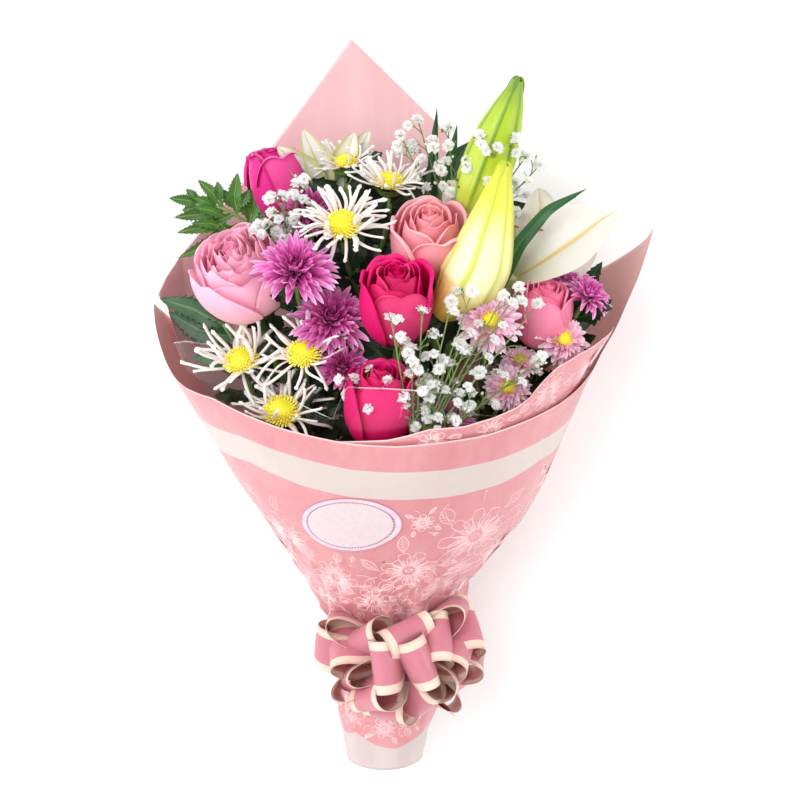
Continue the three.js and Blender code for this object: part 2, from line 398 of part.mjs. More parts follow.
put('wrap_inner_print', film([-63, -50, -38, -26, -14, -4, 6, 11, 16, 28, 40, 46, 52, 64, 75, 84], [112, 142, 180, 235], RIM_PRINT, LAYER, false));
const RIM_CLEAR = [[-110, 380], [-101, 374], [-92, 345], [-85, 322], [-72, 330], [-60, 338], [-45, 341], [-38, 335], [-31, 321], [-21, 305], [-14, 296], [-9, 322], [0, 322], [8, 320], [14, 317], [18, 316], [22, 309], [27, 297], [40, 291], [60, 298]];
put('wrap_clear_liner', film([-109, -102, -93, -84, -76, -63, -50, -38, -26, -18, -14, -9, -4, 6, 16, 22, 28, 40, 52, 64], [112, 142, 180, 235], RIM_CLEAR, 2 * LAYER + 2, false));
// back sheet: follows the cone, then lies out on the table to a corner beyond the heads
const BACK_EDGE = [[120, 151, 368, 27], [132, 122, 386, 6], [146, 84, 412, 1], [163, 40, 466, 0], [180, 2, 503, 0], [185, -24, 528, 0], [200, -58, 482, 0], [215, -90, 440, 1], [230, -118, 408, 5], [245, -148, 372, 31], [251.5, -156, 359, 49], [258, -161, 347, 68]];
put('wrap_back_sheet', g => sheetSolid(BACK_EDGE.length, 12, (i, j, l) => {
  const [deg, ex, ey, ez] = BACK_EDGE[i], off = l ? -LAYER - 0.4 - FILM - g : -LAYER - 0.4 + g;
  const gg = i === 0 ? -g / 3 : i === BACK_EDGE.length - 1 ? g / 3 : 0;
  const rim = table(RIM_OUTER, deg > 180 ? deg - 360 : deg) + 3, rows = [121 - g, 142, 180, 235, (470 + rim) / 3, (235 + 2 * rim) / 3, rim];
  if (j < 7) return wrapPoint(deg + gg, rows[j], off);
  const p = toWorld(wrapPoint(deg + gg, rim, off)), q = toWorld(wrapPoint(deg + gg, rim - 12, off)), t = (j - 6) / 5;
  const e = [ex, ey + g, ez + (l ? FILM + g : -g)], m = unit(sub(p, q)), L = len(sub(e, p)), out = unit([e[0] - p[0], e[1] - p[1], 0]);
  const w = [0, 1, 2].map(k => (2 * t ** 3 - 3 * t * t + 1) * p[k] + (t ** 3 - 2 * t * t + t) * L * m[k] + (3 * t * t - 2 * t ** 3) * e[k] + (t ** 3 - t * t) * L * out[k]);
  w[2] = Math.max(w[2], l ? FILM + g : -g);
  return [w[0], w[1] * CT + (w[2] - Z0) * ST, -w[1] * ST + (w[2] - Z0) * CT];
}));

// ---------------------------------------------------------------- ribbon
put('ribbon_tie', g => sheetSolid(OUTER_COLS.length, 3, (i, j, l) => wrapPoint(OUTER_COLS[i], NECK_U + (j - 1) * (TIE_HALF + g), l ? 0.7 - g : 0.7 + RIBBON_T + g), true));
const BOW = [13.6, 95, 40];
// loops: name, middle of the outer bend, direction and length of the ribbon width
const LOOPS = [
  ['L1', [17, 127.1, 67.4], [28.6, 10.1, -15.3]], ['L2', [-18.1, 116.7, 54], [23, 17.8, 17.6]], ['L3', [-35.8, 103.6, 47.7], [3.8, -15.5, 30]], ['L5', [-45.9, 103.5, 34], [-2.2, -31.6, -12.4]], ['L6', [-26.7, 83.2, 56.5], [16.3, 16.2, 25]], ['L8', [-1.7, 103.7, 79.2], [2, -33, 8.1]], ['L9', [28, 107.1, 80.2], [13.1, -31, 4.6]],
  ['L10', [43.4, 120.7, 63.2], [-2.9, -28.2, 18.7]], ['L11', [65.9, 116.6, 40], [5.8, -22.1, 25.2]], ['L12', [55.9, 132, 40], [-7.7, 4.6, 32.8]], ['L15', [53.9, 80.4, 57.3], [17.3, -7.2, -28.4]], ['L16', [68.3, 90.4, 43], [5.8, -1.2, 33.5]],
  ['L17', [-10.4, 70.8, 71], [21.1, 16, 21.3]], ['L18', [3.1, 56.4, 57.8], [28.8, 5.6, 17.2]], ['L19', [29.9, 64.9, 62.4], [15.9, 23, 19.3]]];
function loopSolid(M, w) {
  const d = unit(sub(M, BOW)), L = len(sub(M, BOW));
  let wv = unit(sub(w, d.map(x => x * (w[0] * d[0] + w[1] * d[1] + w[2] * d[2]))));
  const h = A(V(d).cross(V(wv)).normalize()), H = 10, P = [], N = 6;
  for (let i = 0; i <= N; i++) {
    const a = (-162 + 324 * i / N) * DEG, f = (1 + Math.cos(a)) / 2;
    P.push([add(add(BOW, d, L * f), h, H * Math.sin(a) * (0.35 + 0.65 * f)), RIBBON_W * (0.16 + 0.84 * Math.min(1, f * 1.7))]);
  }
  const v = [], t = [];
  P.forEach(([p, W], i) => {
    const a = P[Math.max(i - 1, 0)][0], b = P[Math.min(i + 1, N)][0], n = A(V(sub(b, a)).cross(V(wv)).normalize());
    for (const [s, l] of [[-1, -1], [1, -1], [1, 1], [-1, 1]]) v.push(add(add(p, wv, s * W / 2), n, l * RIBBON_T / 2));
  });
  for (let i = 0; i < N; i++) for (let k = 0; k < 4; k++) {
    const a = i * 4 + k, b = i * 4 + (k + 1) % 4;
    t.push([a, b, b + 4], [a, b + 4, a + 4]);
  }
  t.push([0, 2, 1], [0, 3, 2], [N * 4, N * 4 + 1, N * 4 + 2], [N * 4, N * 4 + 2, N * 4 + 3]);
  return solid(v, t);
}
{
  const core = bloomSolid([11.5, 94, 39.5], [0.35, 0, 0.94], [[-8, 5, 0], [-4, 12, 0], [8, 12, 0], [13, 5, 0]], 8);
  const body = union([core, ...LOOPS.map(([, M, w]) => loopSolid(M, w))]).simplify(0.35);
  items.push({ name: 'ribbon_bow', body, cutter: body });
}
// blank oval label on the front of the wrap
{
  const LU = 211.9, LD = -13.9, LC = Math.cos(0.25), LS = Math.sin(0.25);   // centre and turn
  put('label_oval', g => {
    const v = [], t = [], n = 24;
    for (let l = 0; l < 2; l++) {
      for (let ring = 0; ring < 3; ring++) for (let k = 0; k < (ring ? n : 1); k++) {
        const a = 2 * Math.PI * k / n, r = ring / 2;
        const lx = r * (LABEL_W / 2 + g) * Math.cos(a), ly = r * (LABEL_H / 2 + g) * Math.sin(a);
        const u = LU + lx * LS + ly * LC;
        const deg = LD + (lx * LC - ly * LS) / (0.5 * (WLEFT(u) + FRONT(u))) / DEG;
        v.push(wrapPoint(deg, u, l ? GAP + 0.9 + g : GAP - g));
      }
    }
    const m = 1 + 2 * n, at = (l, ring, k) => l * m + (ring ? 1 + (ring - 1) * n + (k % n) : 0);
    for (let k = 0; k < n; k++) {
      for (const l of [0, 1]) {
        const f = l ? (a, b, c) => t.push([a, b, c]) : (a, b, c) => t.push([a, c, b]);
        f(at(l, 0, 0), at(l, 1, k), at(l, 1, k + 1));
        f(at(l, 1, k), at(l, 2, k), at(l, 2, k + 1)); f(at(l, 1, k), at(l, 2, k + 1), at(l, 1, k + 1));
      }
      t.push([at(0, 2, k), at(1, 2, k + 1), at(1, 2, k)], [at(0, 2, k), at(0, 2, k + 1), at(1, 2, k + 1)]);
    }
    return solid(v, t);
  });
}

// ---------------------------------------------------------------- clearances
// the wrap keeps its shape, stems come next, then blooms, then sprays and leaves
const rank = n => n.startsWith('wrap') || n.startsWith('label') || n === 'ribbon_tie' ? 0 : n === 'ribbon_bow' ? 0.5 : n.startsWith('stem') ? 1 : n.startsWith('gyps') ? 1.5 : n.includes('leaf') || n.includes('leaves') || n.startsWith('fern') ? 4 : 2;
const order = items.map((it, i) => [rank(it.name), i]).sort((a, b) => a[0] - b[0] || a[1] - b[1]).map(a => items[a[1]]);
const hit = (p, q) => [0, 1, 2].every(k => p.min[k] < q.max[k] && q.min[k] < p.max[k]);
const done = [];
for (const it of order) {
  let m = it.body;
  const before = m.volume();
  if (rank(it.name) > 0) {
    const near = done.filter(d => hit(d.box, m.boundingBox()));
    for (const d of near) m = m.subtract(d.cutter);
    const pieces = m.decompose().sort((a, b) => b.volume() - a.volume());
    it.lost = 1 - pieces[0].volume() / before;
    it.split = pieces.map(p => p.volume().toFixed(0)).slice(0, 4).join('/');
    m = pieces[0];
  }
  it.final = filled(rank(it.name) > 0 ? m.simplify(0.03) : m);
  it.box = it.cutter.boundingBox();
  done.push(it);
}

// ---------------------------------------------------------------- meshes
const COLOURS = [[/^rose_palepink/, 0xf4b6cf], [/^rose_magenta/, 0xc21c74], [/^rose_salmon/, 0xf0a3ad], [/^rose_hotpink/, 0xe6196f], [/^rose_pink_right/, 0xee7ea6],
  [/^mum_purple/, 0xa94fa6], [/^daisy/, 0xe2a3cf], [/^spider/, 0xf7f3e2], [/^lily_bud_front/, 0xdfe27a], [/^lily_bud_back/, 0x9dc05a], [/^lily_(open|back)/, 0xf6f4ec],
  [/^gyps/, 0xf5f6f2], [/^stem/, 0x6d8f4a], [/lea(f|ves)|^fern/, 0x2f5f35], [/^wrap_outer/, 0xeea3a9], [/^wrap_inner/, 0xe9979f], [/^wrap_back/, 0xf4c0c2], [/^wrap_clear/, 0xe9eef0],
  [/^ribbon/, 0xd98493], [/^label/, 0xf3dde2]];
const group = new THREE.Group();
group.name = 'mixed_flower_bouquet';
const meshes = [];
for (const it of items) {
  const m = it.final.getMesh(), n = m.numProp, pos = new Float32Array(m.vertProperties.length / n * 3);
  for (let i = 0; i < pos.length / 3; i++) {
    const w = toWorld([m.vertProperties[i * n], m.vertProperties[i * n + 1], m.vertProperties[i * n + 2]]);
    pos.set(w, i * 3);
  }
  const geo = new THREE.BufferGeometry();
  geo.setAttribute('position', new THREE.BufferAttribute(pos, 3));
  geo.setIndex([...m.triVerts]);
  geo.computeVertexNormals();
  const colour = (COLOURS.find(([re]) => re.test(it.name)) ?? [0, 0x999999])[1];
  const mesh = new THREE.Mesh(geo, new THREE.MeshStandardMaterial({ color: colour, roughness: 0.6, side: THREE.DoubleSide }));
  mesh.name = it.name;
  meshes.push(mesh);
  group.add(mesh);
}
// footprint centred on the origin, underside on z = 0
const box = new THREE.Box3();
for (const m of meshes) { m.geometry.computeBoundingBox(); box.union(m.geometry.boundingBox); }
const shift = [-(box.min.x + box.max.x) / 2, -(box.min.y + box.max.y) / 2, -box.min.z];
for (const m of meshes) { m.geometry.translate(...shift); m.geometry.computeBoundingBox(); }

export { items, shift };
export default group;
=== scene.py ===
"""Mixed flower bouquet lying on its back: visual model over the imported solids.
Lengths are in millimetres in the working axes of the bunch (x across, u from
the stem end to the heads, v out of the front) and become metres on output."""
import json
import math
import bpy
import numpy as np
from mathutils import Matrix, Vector

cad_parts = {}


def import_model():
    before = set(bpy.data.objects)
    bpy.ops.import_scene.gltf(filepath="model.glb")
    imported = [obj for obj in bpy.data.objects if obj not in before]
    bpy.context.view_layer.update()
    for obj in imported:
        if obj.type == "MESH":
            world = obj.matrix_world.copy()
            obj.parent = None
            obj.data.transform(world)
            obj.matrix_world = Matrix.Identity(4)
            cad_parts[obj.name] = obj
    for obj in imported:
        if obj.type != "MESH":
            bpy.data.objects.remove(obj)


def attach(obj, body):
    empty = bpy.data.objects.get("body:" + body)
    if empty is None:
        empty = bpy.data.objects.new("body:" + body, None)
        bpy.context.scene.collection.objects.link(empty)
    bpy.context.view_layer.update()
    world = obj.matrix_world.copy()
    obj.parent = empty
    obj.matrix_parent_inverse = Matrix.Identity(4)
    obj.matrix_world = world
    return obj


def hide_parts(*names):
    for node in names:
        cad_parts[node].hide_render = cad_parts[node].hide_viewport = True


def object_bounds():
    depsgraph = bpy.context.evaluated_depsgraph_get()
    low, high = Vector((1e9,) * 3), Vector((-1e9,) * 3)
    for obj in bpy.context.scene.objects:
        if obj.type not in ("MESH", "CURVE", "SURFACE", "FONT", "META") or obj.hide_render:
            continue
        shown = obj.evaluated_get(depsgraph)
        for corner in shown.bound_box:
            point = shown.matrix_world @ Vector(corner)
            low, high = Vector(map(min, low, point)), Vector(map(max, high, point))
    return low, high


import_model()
CAD_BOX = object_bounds()

# ------------------------------------------------------------------ axes
TILT = math.radians(10)
CT, ST = math.cos(TILT), math.sin(TILT)
Z0 = 29 * CT
SHIFT = np.array([-13.160, -261.474, 0.0])     # centres the footprint, as in the solids
BACK_RATIO = 0.85


def world(p):
    p = np.asarray(p, float)
    x, u, v = p[..., 0], p[..., 1], p[..., 2]
    return np.stack([x + SHIFT[0], u * CT - v * ST + SHIFT[1], Z0 + u * ST + v * CT], -1) * 0.001


def unit(a):
    a = np.asarray(a, float)
    return a / max(np.linalg.norm(a), 1e-12)


def perp(d):
    r = np.array([0., 1, 0]) if abs(d[1]) < 0.9 else np.array([0., 0, 1])
    return unit(np.cross(r, d))


def smooth(a, b, x):
    t = np.clip((np.asarray(x, float) - a) / (b - a), 0, 1)
    return t * t * (3 - 2 * t)


def lerp(a, b, t):
    return a + (b - a) * t


def bez(p0, p1, p2, p3, t):
    t = np.asarray(t, float)[..., None]
    s = 1 - t
    p0, p1, p2, p3 = (np.asarray(p, float) for p in (p0, p1, p2, p3))
    return s ** 3 * p0 + 3 * s * s * t * p1 + 3 * s * t * t * p2 + t ** 3 * p3


class Ripple:
    """Smooth repeatable noise: a sum of sines in two or three variables."""

    def __init__(self, seed, n=9, dims=2, lo=0.6, hi=2.4):
        r = np.random.default_rng(seed)
        k = r.normal(size=(n, dims))
        self.k = k / np.linalg.norm(k, axis=1, keepdims=True) * r.uniform(lo, hi, (n, 1))
        self.p = r.uniform(0, 6.283, n)
        self.a = r.uniform(0.5, 1, n)
        self.a /= np.sqrt((self.a ** 2).sum() / 2) * 2

    def __call__(self, *xs):
        q = sum(np.asarray(x, float)[..., None] * self.k[:, i] for i, x in enumerate(xs))
        return (np.sin(q + self.p) * self.a).sum(-1)


# ------------------------------------------------------------------ mesh assembly
class Geo:
    """Collects patches: vertices, quads and triangles, a material number for each face,
    and for each vertex tone (along a petal), tint (one value a petal) and a UV."""

    def __init__(self):
        self.v, self.q, self.t3, self.qm, self.tm = [], [], [], [], []
        self.tone, self.tint, self.uv = [], [], []
        self.n = 0

    def _verts(self, P, tone, tint, uv):
        P = np.asarray(P, float).reshape(-1, 3)
        k = len(P)
        self.v.append(P)
        self.tone.append(np.broadcast_to(np.asarray(0. if tone is None else tone, float).reshape(-1) if np.size(tone) > 1 else float(tone or 0), (k,)).copy())
        self.tint.append(np.broadcast_to(np.asarray(tint, float).reshape(-1) if np.size(tint) > 1 else float(tint), (k,)).copy())
        self.uv.append(np.zeros((k, 2)) if uv is None else np.asarray(uv, float).reshape(-1, 2))
        s = self.n
        self.n += k
        return s

    def grid(self, P, mat=0, tone=None, tint=0., uv=None, closed=False, flip=False):
        a, b = P.shape[:2]
        if uv is None:
            i, j = np.meshgrid(np.linspace(0, 1, a), np.linspace(0, 1, b), indexing="ij")
            uv = np.stack([i, j], -1)
        s = self._verts(P, tone, tint, uv)
        idx = np.arange(a * b).reshape(a, b) + s
        if closed:
            idx = np.vstack([idx, idx[:1]])
        q = np.stack([idx[:-1, :-1], idx[1:, :-1], idx[1:, 1:], idx[:-1, 1:]], -1).reshape(-1, 4)
        if flip:
            q = q[:, ::-1]
        self.q.append(q)
        self.qm.append(np.broadcast_to(np.asarray(mat).reshape(-1) if np.size(mat) > 1 else mat, (len(q),)).astype(int))
        return idx

    def quads(self, q, mat=0):
        q = np.asarray(q, int).reshape(-1, 4)
        self.q.append(q)
        self.qm.append(np.full(len(q), mat))

    def tris(self, t, mat=0):
        t = np.asarray(t, int).reshape(-1, 3)
        self.t3.append(t)
        self.tm.append(np.full(len(t), mat))

    def tube(self, pts, rad, sides=8, mat=0, tone=None, tint=0., caps=True, squash=1.0, twist=0.0):
        pts = np.asarray(pts, float)
        n = len(pts)
        rad = np.broadcast_to(np.asarray(rad, float), (n,))
        d = np.gradient(pts, axis=0)
        d /= np.maximum(np.linalg.norm(d, axis=1, keepdims=True), 1e-9)
        side = perp(d[0])
        ang = np.arange(sides) / sides * 2 * np.pi
        P = np.zeros((sides, n, 3))
        for i in range(n):
            side = unit(side - d[i] * side.dot(d[i]))
            up = np.cross(d[i], side)
            a = ang + twist * i
            P[:, i] = pts[i] + rad[i] * (np.cos(a)[:, None] * side + squash * np.sin(a)[:, None] * up)
        if tone is None:
            tone = np.broadcast_to(np.linspace(0, 1, n), (sides, n))
        else:
            tone = np.broadcast_to(tone, (sides, n))
        idx = self.grid(P, mat, tone=tone, tint=tint, closed=True)
        if caps:
            for col, order in ((0, -1), (n - 1, 1)):
                s = self._verts(pts[col] + d[col] * (0.25 * rad[col] * (1 if col else -1)), tone[0, col], tint, [[0.5, 0.5]])
                ring = idx[:-1, col]
                nxt = np.roll(ring, -1)
                t = np.stack([ring, nxt, np.full(sides, s)], -1)
                self.tris(t if order > 0 else t[:, ::-1], mat)
        return idx

    def build(self, name, mats, solidify=0.0, subsurf=0, smooth_faces=True, local=True):
        v = np.concatenate(self.v)
        co = world(v) if local else v
        q = np.concatenate(self.q) if self.q else np.zeros((0, 4), int)
        t = np.concatenate(self.t3) if self.t3 else np.zeros((0, 3), int)
        qm = np.concatenate(self.qm) if self.qm else np.zeros(0, int)
        tm = np.concatenate(self.tm) if self.tm else np.zeros(0, int)
        loops = np.concatenate([q.ravel(), t.ravel()]).astype(np.int32)
        starts = np.concatenate([np.arange(len(q)) * 4, len(q) * 4 + np.arange(len(t)) * 3]).astype(np.int32)
        me = bpy.data.meshes.new(name)
        me.vertices.add(len(co))
        me.vertices.foreach_set("co", co.astype(np.float32).ravel())
        me.loops.add(len(loops))
        me.loops.foreach_set("vertex_index", loops)
        me.polygons.add(len(starts))
        me.polygons.foreach_set("loop_start", starts)
        me.polygons.foreach_set("material_index", np.concatenate([qm, tm]).astype(np.int32))
        me.polygons.foreach_set("use_smooth", np.full(len(starts), smooth_faces))
        uv = np.concatenate(self.uv)
        lay = me.uv_layers.new(name="UVMap")
        me.update(calc_edges=True)
        lay = me.uv_layers[0]
        lay.data.foreach_set("uv", uv[loops].astype(np.float32).ravel())
        for nm, arr in (("tone", self.tone), ("tint", self.tint)):
            at = me.attributes.new(nm, "FLOAT", "POINT")
            at.data.foreach_set("value", np.concatenate(arr).astype(np.float32))
        me.validate()
        for m in mats:
            me.materials.append(m)
        ob = bpy.data.objects.new(name, me)
        bpy.context.scene.collection.objects.link(ob)
        if subsurf:
            md = ob.modifiers.new("sub", "SUBSURF")
            md.levels = md.render_levels = subsurf
        if solidify:
            md = ob.modifiers.new("thick", "SOLIDIFY")
            md.thickness = solidify * 0.001
            md.offset = 0
        return ob


def finish_piece(ob, slot, *nodes):
    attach(ob, "root")
    if nodes:
        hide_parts(*nodes)
    return ob


# ------------------------------------------------------------------ materials
def lin(c):
    """sRGB 0-255 to linear."""
    out = []
    for x in c:
        x = x / 255.0
        out.append(x / 12.92 if x <= 0.04045 else ((x + 0.055) / 1.055) ** 2.4)
    return (*out, 1.0)


class Mat:
    """Small helper for a Principled material built from nodes."""

    def __init__(self, name, color=(200, 200, 200), rough=0.5, **sockets):
        self.m = bpy.data.materials.new(name)
        self.m.use_nodes = True
        self.nt = self.m.node_tree
        self.p = self.nt.nodes["Principled BSDF"]
        self.p.inputs["Base Color"].default_value = lin(color)
        self.p.inputs["Roughness"].default_value = rough
        for k, val in sockets.items():
            self.p.inputs[k.replace("_", " ")].default_value = val

    def node(self, kind, **kw):
        n = self.nt.nodes.new(kind)
        for k, val in kw.items():
            setattr(n, k, val)
        return n

    def link(self, a, b):
        self.nt.links.new(a, b)

    def put(self, node, socket, value):
        if hasattr(value, "links") or hasattr(value, "is_linked"):
            self.link(value, node.inputs[socket])
        else:
            node.inputs[socket].default_value = value

    def attr(self, name):
        n = self.node("ShaderNodeAttribute", attribute_name=name)
        return n.outputs["Fac"]

    def uv(self):
        return self.node("ShaderNodeUVMap", uv_map="UVMap").outputs["UV"]

    def split(self, vec):
        n = self.node("ShaderNodeSeparateXYZ")
        self.link(vec, n.inputs[0])
        return n.outputs["X"], n.outputs["Y"]

    def obj(self):
        return self.node("ShaderNodeTexCoord").outputs["Object"]

    def math(self, op, a, b=0.0, clamp=False):
        n = self.node("ShaderNodeMath", operation=op, use_clamp=clamp)
        self.put(n, 0, a)
        self.put(n, 1, b)
        return n.outputs[0]

    def noise(self, scale, detail=3.0, rough=0.55, vec=None, dist=0.0):
        n = self.node("ShaderNodeTexNoise")
        n.inputs["Scale"].default_value = scale
        n.inputs["Detail"].default_value = detail
        n.inputs["Roughness"].default_value = rough
        n.inputs["Distortion"].default_value = dist
        self.link(vec if vec is not None else self.obj(), n.inputs["Vector"])
        return n.outputs["Fac"]

    def stretch(self, vec, s):
        n = self.node("ShaderNodeMapping")
        self.link(vec, n.inputs["Vector"])
        n.inputs["Scale"].default_value = s
        return n.outputs["Vector"]

    def ramp(self, fac, stops, mode="LINEAR"):
        n = self.node("ShaderNodeValToRGB")
        n.color_ramp.interpolation = mode
        e = n.color_ramp.elements
        while len(e) < len(stops):
            e.new(0.5)
        for i, (pos, col) in enumerate(stops):
            e[i].position = pos
            e[i].color = lin(col) if len(col) == 3 else col
        self.link(fac, n.inputs[0])
        return n.outputs["Color"]

    def mix(self, fac, a, b, blend="MIX"):
        n = self.node("ShaderNodeMix", data_type="RGBA", blend_type=blend)
        self.put(n, 0, fac)
        for s, val in ((6, a), (7, b)):
            if isinstance(val, tuple):
                n.inputs[s].default_value = lin(val) if len(val) == 3 else val
            else:
                self.link(val, n.inputs[s])
        return n.outputs[2]

    def hue(self, color, hue=0.5, sat=1.0, val=1.0):
        n = self.node("ShaderNodeHueSaturation")
        self.put(n, "Hue", hue)
        self.put(n, "Saturation", sat)
        self.put(n, "Value", val)
        self.link(color, n.inputs["Color"])
        return n.outputs["Color"]

    def bump(self, height, strength=0.3, dist=0.001):
        n = self.node("ShaderNodeBump")
        n.inputs["Strength"].default_value = strength
        n.inputs["Distance"].default_value = dist
        self.link(height, n.inputs["Height"])
        self.link(n.outputs["Normal"], self.p.inputs["Normal"])

    def base(self, c):
        self.link(c, self.p.inputs["Base Color"])
        return self

    def rough(self, f, lo, hi):
        n = self.node("ShaderNodeMapRange")
        self.link(f, n.inputs["Value"])
        n.inputs["To Min"].default_value = lo
        n.inputs["To Max"].default_value = hi
        self.link(n.outputs[0], self.p.inputs["Roughness"])


def petal_mat(name, stops, rough=0.55, vein=0.35, veins=26, sss=0.12, var=0.10, sheen=0.15, thin=0.0):
    """Petal: colour runs along the petal by tone, shifts a little from petal to petal, with fine
    lengthwise veins from the UV that also lift the surface."""
    m = Mat(name, rough=rough)
    tone, tint = m.attr("tone"), m.attr("tint")
    uv = m.uv()
    x, y = m.split(uv)
    fine = m.noise(1.0, 3, 0.6, m.stretch(uv, (veins, 2.2, 1)))
    blot = m.noise(140, 3, 0.6)
    t = m.math("ADD", tone, m.math("MULTIPLY", m.math("SUBTRACT", blot, 0.5), 0.22))
    t = m.math("ADD", t, m.math("MULTIPLY", m.math("SUBTRACT", fine, 0.5), 0.16), clamp=True)
    col = m.ramp(t, stops)
    val = m.math("ADD", m.math("MULTIPLY", m.math("SUBTRACT", tint, 0.5), var * 2), 1.0)
    val = m.math("MULTIPLY", val, m.math("ADD", 0.94, m.math("MULTIPLY", fine, 0.12)))
    col = m.hue(col, sat=m.math("SUBTRACT", 1.06, m.math("MULTIPLY", tint, 0.12)), val=val)
    m.base(col)
    m.bump(m.math("ADD", fine, m.math("MULTIPLY", m.noise(420, 2), 0.35)), vein, 0.0006)
    m.p.inputs["Subsurface Weight"].default_value = sss
    m.p.inputs["Subsurface Radius"].default_value = (0.004, 0.002, 0.002)
    m.p.inputs["Subsurface Scale"].default_value = 0.6
    m.p.inputs["Sheen Weight"].default_value = sheen
    m.p.inputs["Specular IOR Level"].default_value = 0.35
    see_through(m, col, thin)
    return m.m


def see_through(m, col, share):
    """Mixes in light that comes through from behind, as in a thin petal or a film."""
    if share <= 0:
        return
    nt = m.m.node_tree
    out = next(n for n in nt.nodes if n.type == "OUTPUT_MATERIAL")
    tl = nt.nodes.new("ShaderNodeBsdfTranslucent")
    mx = nt.nodes.new("ShaderNodeMixShader")
    mx.inputs[0].default_value = share
    nt.links.new(col, tl.inputs["Color"])
    nt.links.new(m.p.outputs[0], mx.inputs[1])
    nt.links.new(tl.outputs[0], mx.inputs[2])
    nt.links.new(mx.outputs[0], out.inputs["Surface"])


def leaf_mat(name, dark, light, vein, rough=0.38):
    m = Mat(name, rough=rough)
    tone, tint = m.attr("tone"), m.attr("tint")
    x, y = m.split(m.uv())
    # x runs across the blade from 0 to 1, y along it
    off = m.math("ABSOLUTE", m.math("SUBTRACT", x, 0.5))
    rib = m.math("LESS_THAN", off, 0.035)
    side = m.math("SINE", m.math("MULTIPLY", m.math("SUBTRACT", y, m.math("MULTIPLY", off, 0.55)), 75.0))
    side = m.math("GREATER_THAN", side, 0.93)
    blot = m.noise(90, 4, 0.6)
    f = m.math("ADD", m.math("MULTIPLY", blot, 0.7), m.math("MULTIPLY", tint, 0.45), clamp=True)
    col = m.ramp(f, [(0.15, dark), (0.85, light)])
    col = m.mix(m.math("MULTIPLY", side, 0.35), col, vein)
    col = m.mix(m.math("MULTIPLY", rib, 0.6), col, vein)
    m.base(col)
    h = m.math("ADD", m.math("MULTIPLY", side, -0.5), m.math("MULTIPLY", rib, -1.0))
    m.bump(m.math("ADD", h, m.math("MULTIPLY", m.noise(500, 2), 0.3)), 0.4, 0.0005)
    m.p.inputs["Specular IOR Level"].default_value = 0.45
    m.p.inputs["Subsurface Weight"].default_value = 0.05
    m.p.inputs["Subsurface Radius"].default_value = (0.001, 0.002, 0.001)
    return m.m


def stem_mat(name, dark, light, rough=0.45):
    m = Mat(name, rough=rough)
    g = m.noise(1.0, 4, 0.6, m.stretch(m.obj(), (900, 60, 900)))
    b = m.noise(45, 3)
    f = m.math("ADD", m.math("MULTIPLY", g, 0.5), m.math("MULTIPLY", b, 0.5))
    m.base(m.ramp(f, [(0.3, dark), (0.7, light)]))
    m.bump(g, 0.25, 0.0004)
    return m.m


# ------------------------------------------------------------------ flowers
# name: kind, centre [x, u, v], facing, diameter, height (as in the solids)
BLOOMS = {
    "rose_palepink": ([-99.1, 377.3, 20.0], [-0.281, 0.888, 0.365], 70, 62),
    "rose_magenta": ([-75.6, 422.4, -50.0], [-0.151, 0.976, -0.158], 45, 56),
    "rose_salmon": ([31.7, 398.5, 8.0], [0.0, 0.988, 0.153], 54, 60),
    "rose_hotpink": ([9.6, 366.1, 52.0], [0.0, 0.988, 0.153], 52, 64),
    "rose_hotpink_low": ([-2.0, 298.2, 72.0], [0.05, 0.997, -0.062], 50, 62),
    "rose_pink_right": ([111.0, 347.7, 22.0], [0.152, 0.988, -0.002], 42, 52),
    "mum_purple_top": ([-59.2, 393.1, 56.0], [0.0, 0.937, 0.35], 54, 26),
    "mum_purple_mid": ([-35.5, 354.9, 50.0], [0.104, 0.796, 0.596], 52, 26),
    "mum_purple_low": ([-27.1, 325.6, 66.0], [0.101, 0.821, 0.563], 34, 20),
    "mum_purple_right": ([131.2, 370.2, 4.0], [0.352, 0.925, -0.142], 38, 20),
    "mum_purple_right_low": ([144.5, 364.1, 24.0], [0.512, 0.859, -0.01], 34, 18),
    "mum_purple_back": ([-51.2, 417.5, -8.0], [0.0, 0.97, 0.242], 42, 22),
    "mum_purple_rim": ([42.9, 290.2, 76.0], [0.0, 0.976, 0.216], 38, 22),
    "daisy_pink_mid": ([72.8, 352.4, 56.0], [0.0, 0.669, 0.744], 45, 20),
    "daisy_pink_right": ([125.3, 334.2, 40.0], [0.458, 0.548, 0.7], 40, 20),
    "daisy_pink_low": ([85.5, 306.5, 62.0], [0.102, 0.583, 0.806], 34, 18),
    "daisy_pink_small": ([94.3, 321.7, 44.0], [0.0, 0.976, 0.216], 28, 16),
    "spider_top": ([-28.0, 416.8, 28.0], [0.0, 0.963, 0.268], 60, 26),
    "spider_peak": ([4.6, 434.3, -22.0], [0.0, 0.965, -0.261], 54, 26),
    "spider_left": ([-98.8, 323.3, 42.0], [-0.203, 0.978, 0.056], 62, 26),
    "spider_centre": ([-54.6, 333.2, 56.0], [-0.099, 0.984, 0.148], 54, 26),
    "spider_low": ([-69.8, 294.8, 66.0], [-0.101, 0.971, 0.215], 56, 26),
    "spider_back": ([-27.5, 441.7, -48.0], [-0.05, 0.95, -0.309], 50, 26),
}
CAM_DIR = np.array([0, 0.309, 0.951])          # toward the viewer, in working axes


class Axes:
    """Frame of a bloom: z along its facing, x turned as near the viewer as it will go."""

    def __init__(self, centre, n, turn=0.0):
        self.c = np.asarray(centre, float)
        self.n = unit(n)
        x = CAM_DIR - self.n * CAM_DIR.dot(self.n)
        x = unit(x)
        y = np.cross(self.n, x)
        c, s = math.cos(turn), math.sin(turn)
        self.x, self.y = c * x + s * y, -s * x + c * y

    def __call__(self, p):
        p = np.asarray(p, float)
        return self.c + p[..., 0:1] * self.x + p[..., 1:2] * self.y + p[..., 2:3] * self.n


